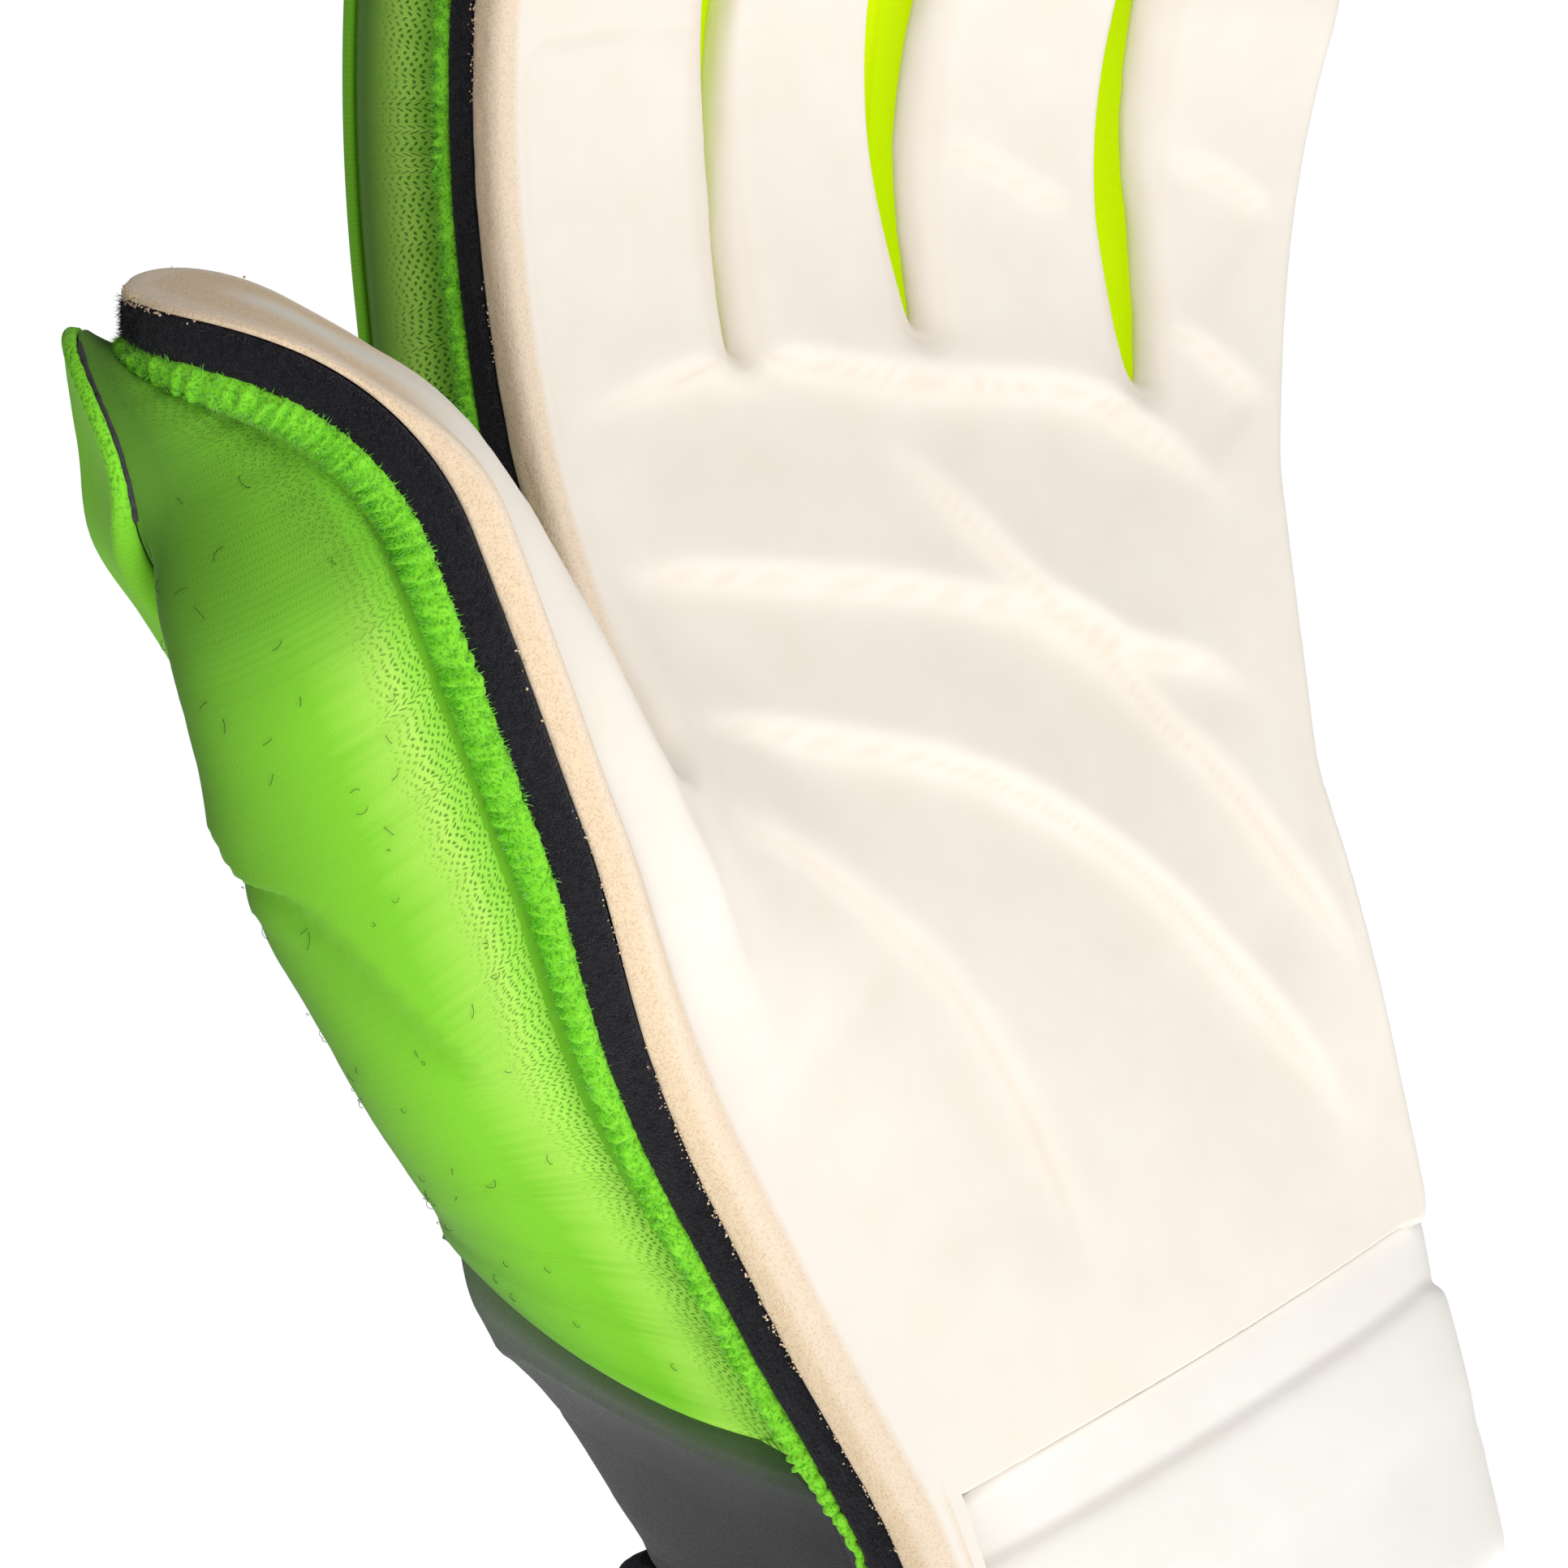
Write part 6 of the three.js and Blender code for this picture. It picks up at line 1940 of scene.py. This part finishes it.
def scaled(colour, *factors, plus=0.0):
    """A colour times one factor, or one for each channel, never brighter than 1"""
    if len(factors) == 1:
        factors = factors * 3
    return tuple(min(1, c * factor + plus) for c, factor in zip(colour, factors))


def bump(graph, shader, height, distance):
    node = graph.add("ShaderNodeBump", {"Strength": 1.0, "Distance": distance, "Height": height})
    graph.put(shader.inputs["Normal"], node.outputs[0])


def paint(graph, shader, colour):
    graph.put(shader.inputs["Base Color"], colour)


def latex_material(settings):
    material, g, shader, place, _ = new_material("cream latex", 0.6, 0.08)
    face, suede = settings.latex_colour, settings.cut_colour
    grain = grain_of(g, place, "latex")
    pile = grain_of(g, place, "suede")
    shade = scaled(face, *FACE_SHADE)
    colour = g.mix(g.times(grain["Tint"], 0.35), face, shade)
    # Painted shade in the folds and on the rolled lips: a warmer, darker tone of the latex
    painted_fold_shade = g.math("POWER", g.attribute("painted_fold_shade"), 1.4)
    fold_shade_colour = scaled(face, *FOLD_SHADE_TONE)
    colour = g.mix(g.times(painted_fold_shade, 0.55), colour, fold_shade_colour)
    dark = scaled(suede, *CUT_DARK)
    light = scaled(suede, 1.06)
    rough_cut = g.mix(pile["Tint"], light, suede)
    rough_cut = g.mix(g.times(g.spread(pile["Fine"], 0.5, 0.36), 0.6), rough_cut, dark)
    cut = g.attribute("cut")
    paint(g, shader, g.mix(cut, colour, rough_cut))
    g.put(shader.inputs["Roughness"], g.spread(cut, 0, 1, 0.58, 0.95))
    height = g.plus(g.times(grain["Height"], g.spread(cut, 0, 1, 0.04, 0)),
                    g.times(pile["Height"], g.times(cut, 0.5)))
    bump(g, shader, height, RELIEF["latex"])
    return material


def strap_material(settings):
    material, g, shader, place, _ = new_material("white latex", 0.55, 0.05)
    white = settings.strap_colour
    grain = grain_of(g, place, "strap")
    shade = scaled(white, *STRAP_SHADE)
    paint(g, shader, g.mix(g.times(grain["Tint"], 0.5), white, shade))
    bump(g, shader, g.times(grain["Height"], 0.06), RELIEF["strap"])
    return material


def tab_material(settings):
    material, g, shader, place, uv = new_material("closing tab", 0.75, 0.15)
    white = settings.strap_colour
    rib = g.math("SINE", g.times(g.part_of(uv, 1), 2 * math.pi / TAB_RIB))
    grain = grain_of(g, place, "tab")
    shade = scaled(white, 0.86)
    paint(g, shader, g.mix(g.spread(rib, -1, 0.3, 0.7, 0), white, shade))
    bump(g, shader, g.plus(g.times(rib, 0.3), grain["Height"]), RELIEF["tab"])
    return material


def foam_material(settings):
    material, g, shader, place, _ = new_material("black foam edge", 1.0, 0.25, (0.5, 0.5, 0.55), 0.1)
    black = settings.foam_colour
    grain = grain_of(g, place, "foam")
    grey = scaled(black, 3.4, plus=0.006)
    fluff = g.times(g.spread(grain["Fine"], 0.52, 0.72), 0.8)
    colour = g.mix(fluff, g.mix(grain["Tint"], black, scaled(black, 1.9)), grey)
    paint(g, shader, colour)
    bump(g, shader, grain["Height"], RELIEF["foam"])
    return material


# Tones of the green knit: in its holes, the painted shade low on a wall (also used darker toward the thumb's
# tip), the painted highlight in the band beside the frill, and the painted shade by the hem
DEEP = (0.3, 0.45, 0.4)
DULL = (0.42, 0.37, 0.95)
PAINTED_HIGHLIGHT = (2.5, 1.42, 5.5)
HEM_SHADE = (0.5, 0.38, 3.2)
# From where to where down a wall the holes fade out, and the painted highlight band fades in and out again
HOLES_END = (13, 18)
HIGHLIGHT_START = (9, 14)
HIGHLIGHT_END = (14, 23)
# Painted shade on a wall toward its back: from which to which share of its depth it deepens, and how strong
# it gets
WALL_SHADE_SPAN = (0.22, 0.75)
WALL_SHADE_BY = 0.92
KNIT_LOOK = {"roughness": 0.75, "sheen": 0.12, "sheen_tint": (0.85, 0.95, 0.7), "specular": 0.15}


def finger_material(settings):
    """The bright knit between the fingers, which fades into the green one at their tips; it glows with a
    painted light, and has painted shade toward each wall's back
    """
    kept = bpy.data.materials.get("finger knit")
    if kept:
        return kept
    material, g, shader, _, uv = new_material("finger knit", **KNIT_LOOK)
    bright, green = settings.gap_colour, settings.knit_colour
    meet = g.attribute("meet")
    knit = knit_of(g, uv, settings.knit_pitch)
    deep, dull = scaled(green, *DEEP), scaled(green, *DULL)
    wall = g.spread(g.attribute("wall"), *WALL_SHADE_SPAN)
    # Bright between the fingers and green at their tips, with painted shade toward each wall's back
    colour = g.mix(meet, bright, g.mix(g.times(wall, WALL_SHADE_BY), green, dull))
    colour = g.mix(g.times(knit["Weave"], 0.08), colour, deep)
    paint(g, shader, colour)
    # Painted glow: the bright knit gives off light in its own colour, fading out at the tips
    g.put(shader.inputs["Emission Color"], g.mix(meet, bright, (0, 0, 0)))
    shader.inputs["Emission Strength"].default_value = settings.gap_glow
    bump(g, shader, g.times(knit["Weave"], 0.12), RELIEF["knit"])
    return material


def knit_material(settings, name, banded=True):
    """The green knit; a wall has a band of holes, a painted highlight strip along the palm's seam, and
    painted shade toward its back and by the thumb's hem
    """
    kept = bpy.data.materials.get(name)
    if kept:
        return kept
    material, g, shader, place, uv = new_material(name, **KNIT_LOOK)
    green = settings.knit_colour
    fresh = settings.frill_colour
    knit = knit_of(g, uv, settings.knit_pitch)
    grain = grain_of(g, place, "frill")
    deep, dull = scaled(green, *DEEP), scaled(green, *DULL)
    pale, hem_shade = scaled(green, *PAINTED_HIGHLIGHT), scaled(green, *HEM_SHADE)
    wall, tip, frill = g.attribute("wall"), g.attribute("tip"), g.attribute("frill")
    down = g.part_of(uv, 1)
    near = g.spread(down, *HOLES_END, 1, 0) if banded else 0.0
    plain = g.minus(1, tip)
    lit = g.times(g.spread(down, *HIGHLIGHT_START, 0.2, 1), g.spread(down, *HIGHLIGHT_END, 1, 0)) if banded else 0.0
    # Painted highlight in the band beside the frill, weaker toward the thumb's tip
    colour = g.mix(g.times(lit, g.spread(tip, 0, 1, 0.85, 0.1)), green, pale)
    # Painted shade toward the wall's back
    colour = g.mix(g.times(g.spread(wall, *WALL_SHADE_SPAN), WALL_SHADE_BY), colour, dull)
    colour = g.mix(g.times(tip, 0.45), colour, dull)
    # Painted shade by the thumb wall's hem
    shade_by_hem = g.times(g.attribute("hem"), g.spread(wall, 0.1, 0.55))
    colour = g.mix(g.times(shade_by_hem, 0.85), colour, hem_shade)
    colour = g.mix(g.times(knit["Hole"], g.times(near, plain)), colour, deep)
    colour = g.mix(g.times(knit["Weave"], g.times(plain, 0.1)), colour, deep)
    dashes = g.times(knit["Dash"], g.times(tip, 0.5))
    ribs = g.times(g.times(knit["Rib"], tip), 0.12)
    colour = g.mix(g.plus(ribs, dashes), colour, deep)
    colour = g.mix(g.times(frill, 0.9), colour, fresh)
    speck = g.times(g.spread(grain["Fine"], 0.5, 0.36), g.times(frill, 0.7))
    colour = g.mix(speck, colour, deep)
    paint(g, shader, colour)
    loops = g.minus(g.times(knit["Weave"], 0.12), g.times(knit["Hole"], near))
    height = g.plus(g.times(loops, g.minus(1, frill)),
                    g.times(grain["Height"], g.spread(frill, 0, 1, 0.4, 3)))
    bump(g, shader, height, RELIEF["knit"])
    return material


def wrist_material(settings):
    material, g, shader, place, uv = new_material("grey stretch knit", 0.6, 0.12, (0.6, 0.6, 0.66), 0.3)
    grey = settings.wrist_colour
    knit = knit_of(g, uv, WRIST_PITCH)
    grain = grain_of(g, place, "wrist")
    dark = scaled(grey, 0.4)
    colour = g.mix(g.times(grain["Tint"], 0.25), grey, dark)
    colour = g.mix(g.times(knit["Weave"], 0.25), colour, dark)
    # Painted shadow of the thumb wall's hem on the panel just below it, in a dark green
    under = scaled(settings.knit_colour, 0.22)
    below = g.part_of(uv, 0)
    hem = g.spread(below, 0.5, 8, 0.85, 0)
    colour = g.mix(g.spread(below, 10, 30, 0, 0.75), colour, dark)
    paint(g, shader, g.mix(hem, colour, under))
    bump(g, shader, g.plus(g.times(knit["Weave"], 0.5), grain["Height"]), RELIEF["wrist"])
    return material


def cuff_material(settings):
    material, g, shader, place, uv = new_material("dark elastic rib", 0.8, 0.2, (0.45, 0.45, 0.6), 0.2)
    navy = settings.cuff_colour
    knit = knit_of(g, uv, CUFF_PITCH)
    grain = grain_of(g, place, "cuff")
    light = scaled(navy, 1.9, plus=0.003)
    colour = g.mix(g.times(knit["Weave"], g.attribute("rib")), navy, light)
    colour = g.mix(g.times(grain["Tint"], 0.4), colour, scaled(navy, 0.5))
    paint(g, shader, colour)
    bump(g, shader, g.plus(g.times(knit["Weave"], 0.6), grain["Height"]), RELIEF["cuff"])
    return material


def fuzz_material(name, colour, lift):
    material, g, shader, place, _ = new_material(name, 0.9, 0.1, None, 0.15)
    base = colour
    tint = g.attribute("tint")
    light = tuple(min(1, c + (1 - c) * 0.35 * lift) for c in base)
    grain = grain_of(g, place, "fuzz")
    colour = g.mix(g.math("POWER", tint, 2), base, light)
    colour = g.mix(g.times(grain["Tint"], 0.2), colour, scaled(base, 0.6))
    paint(g, shader, colour)
    return material


def thread_material(name, colour):
    material, g, shader, place, _ = new_material(name, 0.7, 0.1, None, 0.3)
    grain = grain_of(g, place, "thread")
    dark = scaled(colour, 0.4)
    paint(g, shader, g.mix(grain["Tint"], colour, dark))
    bump(g, shader, grain["Height"], RELIEF["thread"])
    return material


# Stage: camera, floor and light

def camera_frame(settings):
    """The camera's place, and its directions to the right, up and back"""
    turn, rise, roll = settings.view_azimuth, settings.view_elevation, settings.view_roll
    back = Vector((-math.sin(turn) * math.cos(rise), -math.cos(turn) * math.cos(rise), math.sin(rise)))
    right_level = (-back).cross(Vector((0, 0, 1))).normalized()
    up_level = right_level.cross(-back)
    right = math.cos(roll) * right_level + math.sin(roll) * up_level
    up = -math.sin(roll) * right_level + math.cos(roll) * up_level
    position = Vector(LOOK_AT) + back * settings.view_distance
    return position, right, up, back


def add_light(name, view, where, watts, colour):
    """A round light, placed from the camera and turned to the glove"""
    position, right, up, back = view
    light = bpy.data.lights.new(name, "AREA")
    light.shape = "DISK"
    light.size = where["size"]
    light.energy = watts
    light.color = colour
    lamp = bpy.data.objects.new(name, light)
    bpy.context.scene.collection.objects.link(lamp)
    lamp.location = position + right * where["right"] + up * where["up"] + back * where["back"]
    lamp.rotation_euler = (Vector(LIT_AT) - lamp.location).to_track_quat("-Z", "Y").to_euler()


def add_camera(view):
    position, right, up, back = view
    data = bpy.data.cameras.new("photo_view")
    data.sensor_width = SENSOR
    data.lens = FOCAL_PIXELS * SENSOR / PHOTO_PIXELS
    data.clip_start = 0.01
    camera = bpy.data.objects.new("photo_view", data)
    bpy.context.scene.collection.objects.link(camera)
    rows = [(right[k], up[k], back[k], position[k]) for k in range(3)]
    camera.matrix_world = Matrix((*rows, (0, 0, 0, 1)))
    bpy.context.scene.camera = camera


def add_floor():
    bpy.ops.object.select_all(action="DESELECT")
    height = FIRST_BOUNDS[0][2] - FLOOR["under"]
    bpy.ops.mesh.primitive_plane_add(size=FLOOR["size"], location=(0, 0, height))
    floor = bpy.context.object
    floor.name = "floor"
    material, g, shader, place, _ = new_material("pale floor", 0.9)
    tone = g.noise(place, 3.0, 2)
    paint(g, shader, g.mix(tone, (0.93, 0.93, 0.93), (0.9, 0.9, 0.9)))
    shader.inputs["Emission Color"].default_value = (1, 1, 1, 1)
    shader.inputs["Emission Strength"].default_value = 1.0
    floor.data.materials.append(material)


def add_world(settings):
    """White surroundings, dimmer as a light than as the camera sees them"""
    world = bpy.data.worlds.new("white studio")
    bpy.context.scene.world = world
    world.use_nodes = True
    g = Graph(world.node_tree)
    plain = world.node_tree.nodes["Background"]
    plain.inputs[0].default_value = (1, 1, 1, 1)
    seen = g.add("ShaderNodeLightPath").outputs["Is Camera Ray"]
    g.put(plain.inputs[1], g.spread(seen, 0, 1, settings.room_light, 1))


def build_stage(settings):
    view = camera_frame(settings)
    add_camera(view)
    add_floor()
    add_light("key", view, KEY_LIGHT, settings.key_watts, (1, 0.99, 0.97))
    add_light("fill", view, FILL_LIGHT, settings.fill_watts, (1, 1, 1))
    add_world(settings)
    bpy.context.scene.view_settings.view_transform = "Standard"


# Settings, operators and panel

def size_of(name, description, default, low, high):
    return FloatProperty(name=name, description=description, default=default, min=low, max=high)


def count_of(name, description, default, low, high):
    return IntProperty(name=name, description=description, default=default, min=low, max=high)


def angle_of(name, description, degrees):
    return FloatProperty(name=name, description=description, default=math.radians(degrees), subtype="ANGLE")


def colour_of(name, description, *screen):
    """A colour's property; its default is given as screen values"""
    return FloatVectorProperty(name=name, description=description, size=3, subtype="COLOR",
                               default=linear(*screen))


class GloveSettings(bpy.types.PropertyGroup):
    """Sizes and colours that a user would change; lengths in millimetres"""
    palm_cells: count_of("Palm fineness", "Cells of the latex in a cell of the pattern", 9, 2, 12)
    sheet_cells: count_of("Sheet fineness", "Cells of the other layers in a cell of the pattern", 6, 2, 10)
    crease_depth: size_of("Crease depth", "Scale of the folds pressed in the palm", 1.7, 0, 2)
    frill_height: size_of("Frill height", "Height of the waves in the raw knit edges, mm", 0.42, 0, 1)
    frill_period: size_of("Frill period", "Length of one wave in the raw knit edges, mm", 1.6, 0.8, 6)
    seam_step: size_of("Seam step", "Spacing of the points along the seams, mm", 0.27, 0.15, 2)
    knit_pitch: size_of("Knit pitch", "Width of one loop of the green knit, mm", 0.42, 0.2, 2)
    rib_pitch: size_of("Rib pitch", "Width of one rib of the cuff, mm", 1.7, 0.6, 6)
    foam_fuzz: count_of("Foam fuzz", "Fibres that stand out of the foam's edge", 16000, 10, 40000)
    knit_fuzz: count_of("Knit fuzz", "Fibres that stand out of the frills", 20000, 10, 40000)
    crumbs: count_of("Crumbs", "Latex crumbs between latex and foam", 3500, 10, 20000)
    stray_hairs: count_of("Stray hairs", "Short dark hairs that cling to the knit", 70, 1, 1000)
    latex_colour: colour_of("Latex", "Smooth face of the palm", 244, 237, 228)
    cut_colour: colour_of("Cut latex", "Raw edge of the latex", 236, 212, 182)
    foam_colour: colour_of("Foam", "Black backing foam", 24, 23, 28)
    knit_colour: colour_of("Knit", "Green stretch knit", 126, 203, 44)
    frill_colour: colour_of("Frill", "Raw edge of the green knit", 138, 232, 52)
    gap_colour: colour_of("Finger sides", "Bright knit between the fingers", 228, 246, 8)
    wrist_colour: colour_of("Wrist panel", "Grey stretch panel", 68, 67, 70)
    cuff_colour: colour_of("Cuff", "Dark elastic cuff", 34, 32, 48)
    strap_colour: colour_of("Strap", "White latex strap", 243, 240, 235)
    gap_glow: size_of("Finger side glow", "Light let through the thin knit between the fingers", 0.2, 0, 2)
    view_azimuth: angle_of("View azimuth", "Camera's turn round the glove", 38.06)
    view_elevation: angle_of("View elevation", "Camera's height over the glove", -7.82)
    view_roll: angle_of("View roll", "Camera's turn about its own line", -13.09)
    view_distance: FloatProperty(name="View distance", description="Camera to the glove's middle",
                                 default=0.52025, unit="LENGTH")
    key_watts: size_of("Key light", "Power of the light by the camera, W", 1.95, 0, 100)
    fill_watts: size_of("Fill light", "Power of the light at the side, W", 0.38, 0, 100)
    room_light: size_of("Room light", "Brightness of the white surroundings", 0.18, 0, 10)


def glove_settings(context):
    return context.scene.glove_settings


class GLOVE_OT_stage(bpy.types.Operator):
    """Sets up the camera, the pale floor and the soft light"""
    bl_idname = "glove.stage"
    bl_label = "Stage"

    def execute(self, context):
        build_stage(glove_settings(context))
        return {"FINISHED"}


class GLOVE_OT_latex(bpy.types.Operator):
    """Builds the smooth latex palm with its folds and its raw cut edge"""
    bl_idname = "glove.latex"
    bl_label = "Latex palm"

    def execute(self, context):
        build_latex(glove_settings(context))
        return {"FINISHED"}


class GLOVE_OT_foam(bpy.types.Operator):
    """Builds the black foam behind the latex"""
    bl_idname = "glove.foam"
    bl_label = "Foam backing"

    def execute(self, context):
        build_foam(glove_settings(context))
        return {"FINISHED"}


class GLOVE_OT_back(bpy.types.Operator):
    """Builds the green knit back of the hand"""
    bl_idname = "glove.back"
    bl_label = "Back of the hand"

    def execute(self, context):
        build_back(glove_settings(context))
        return {"FINISHED"}


class GLOVE_OT_gussets(bpy.types.Operator):
    """Builds the six side walls with their frilled seams"""
    bl_idname = "glove.gussets"
    bl_label = "Side walls"

    def execute(self, context):
        for part in GUSSETS:
            build_gusset(glove_settings(context), part)
        return {"FINISHED"}


class GLOVE_OT_threads(bpy.types.Operator):
    """Adds the grey seam thread at the thumb's tip, the frill's tail and a few stray hairs"""
    bl_idname = "glove.threads"
    bl_label = "Threads"

    def execute(self, context):
        build_threads(glove_settings(context))
        return {"FINISHED"}


class GLOVE_OT_fibres(bpy.types.Operator):
    """Adds the fine fibres and crumbs along the cut edges"""
    bl_idname = "glove.fibres"
    bl_label = "Fibres and crumbs"

    def execute(self, context):
        build_fibres(glove_settings(context))
        return {"FINISHED"}


class GLOVE_OT_wrist(bpy.types.Operator):
    """Builds the grey stretch panel and the dark cuff"""
    bl_idname = "glove.wrist"
    bl_label = "Wrist panel and cuff"

    def execute(self, context):
        build_wrist_panel(glove_settings(context))
        build_cuff(glove_settings(context))
        return {"FINISHED"}


class GLOVE_OT_strap(bpy.types.Operator):
    """Builds the white wrist strap and its closing tab"""
    bl_idname = "glove.strap"
    bl_label = "Wrist strap"

    def execute(self, context):
        build_strap(glove_settings(context))
        return {"FINISHED"}


OPERATORS = (GLOVE_OT_stage, GLOVE_OT_latex, GLOVE_OT_foam, GLOVE_OT_back, GLOVE_OT_gussets, GLOVE_OT_threads,
             GLOVE_OT_fibres, GLOVE_OT_wrist, GLOVE_OT_strap)


class GLOVE_PT_panel(bpy.types.Panel):
    """Lists the steps that build the glove"""
    bl_idname = "GLOVE_PT_panel"
    bl_label = "Goalkeeper glove"
    bl_space_type = "VIEW_3D"
    bl_region_type = "UI"
    bl_category = "Glove"

    def draw(self, context):
        settings = glove_settings(context)
        for step in OPERATORS:
            self.layout.operator(step.bl_idname)
        for name in settings.bl_rna.properties.keys():
            if name not in ("rna_type", "name"):
                self.layout.prop(settings, name)


CLASSES = (GloveSettings, *OPERATORS, GLOVE_PT_panel)


def register():
    for item in CLASSES:
        bpy.utils.register_class(item)
    bpy.types.Scene.glove_settings = PointerProperty(type=GloveSettings)


def unregister():
    del bpy.types.Scene.glove_settings
    for item in reversed(CLASSES):
        bpy.utils.unregister_class(item)


def main():
    register()
    bpy.ops.object.select_all(action="DESELECT")
    bpy.ops.glove.stage()
    bpy.ops.glove.latex()
    bpy.ops.glove.foam()
    bpy.ops.glove.back()
    bpy.ops.glove.gussets()
    bpy.ops.glove.threads()
    bpy.ops.glove.fibres()
    bpy.ops.glove.wrist()
    bpy.ops.glove.strap()


if __name__ == "__main__":
    main()
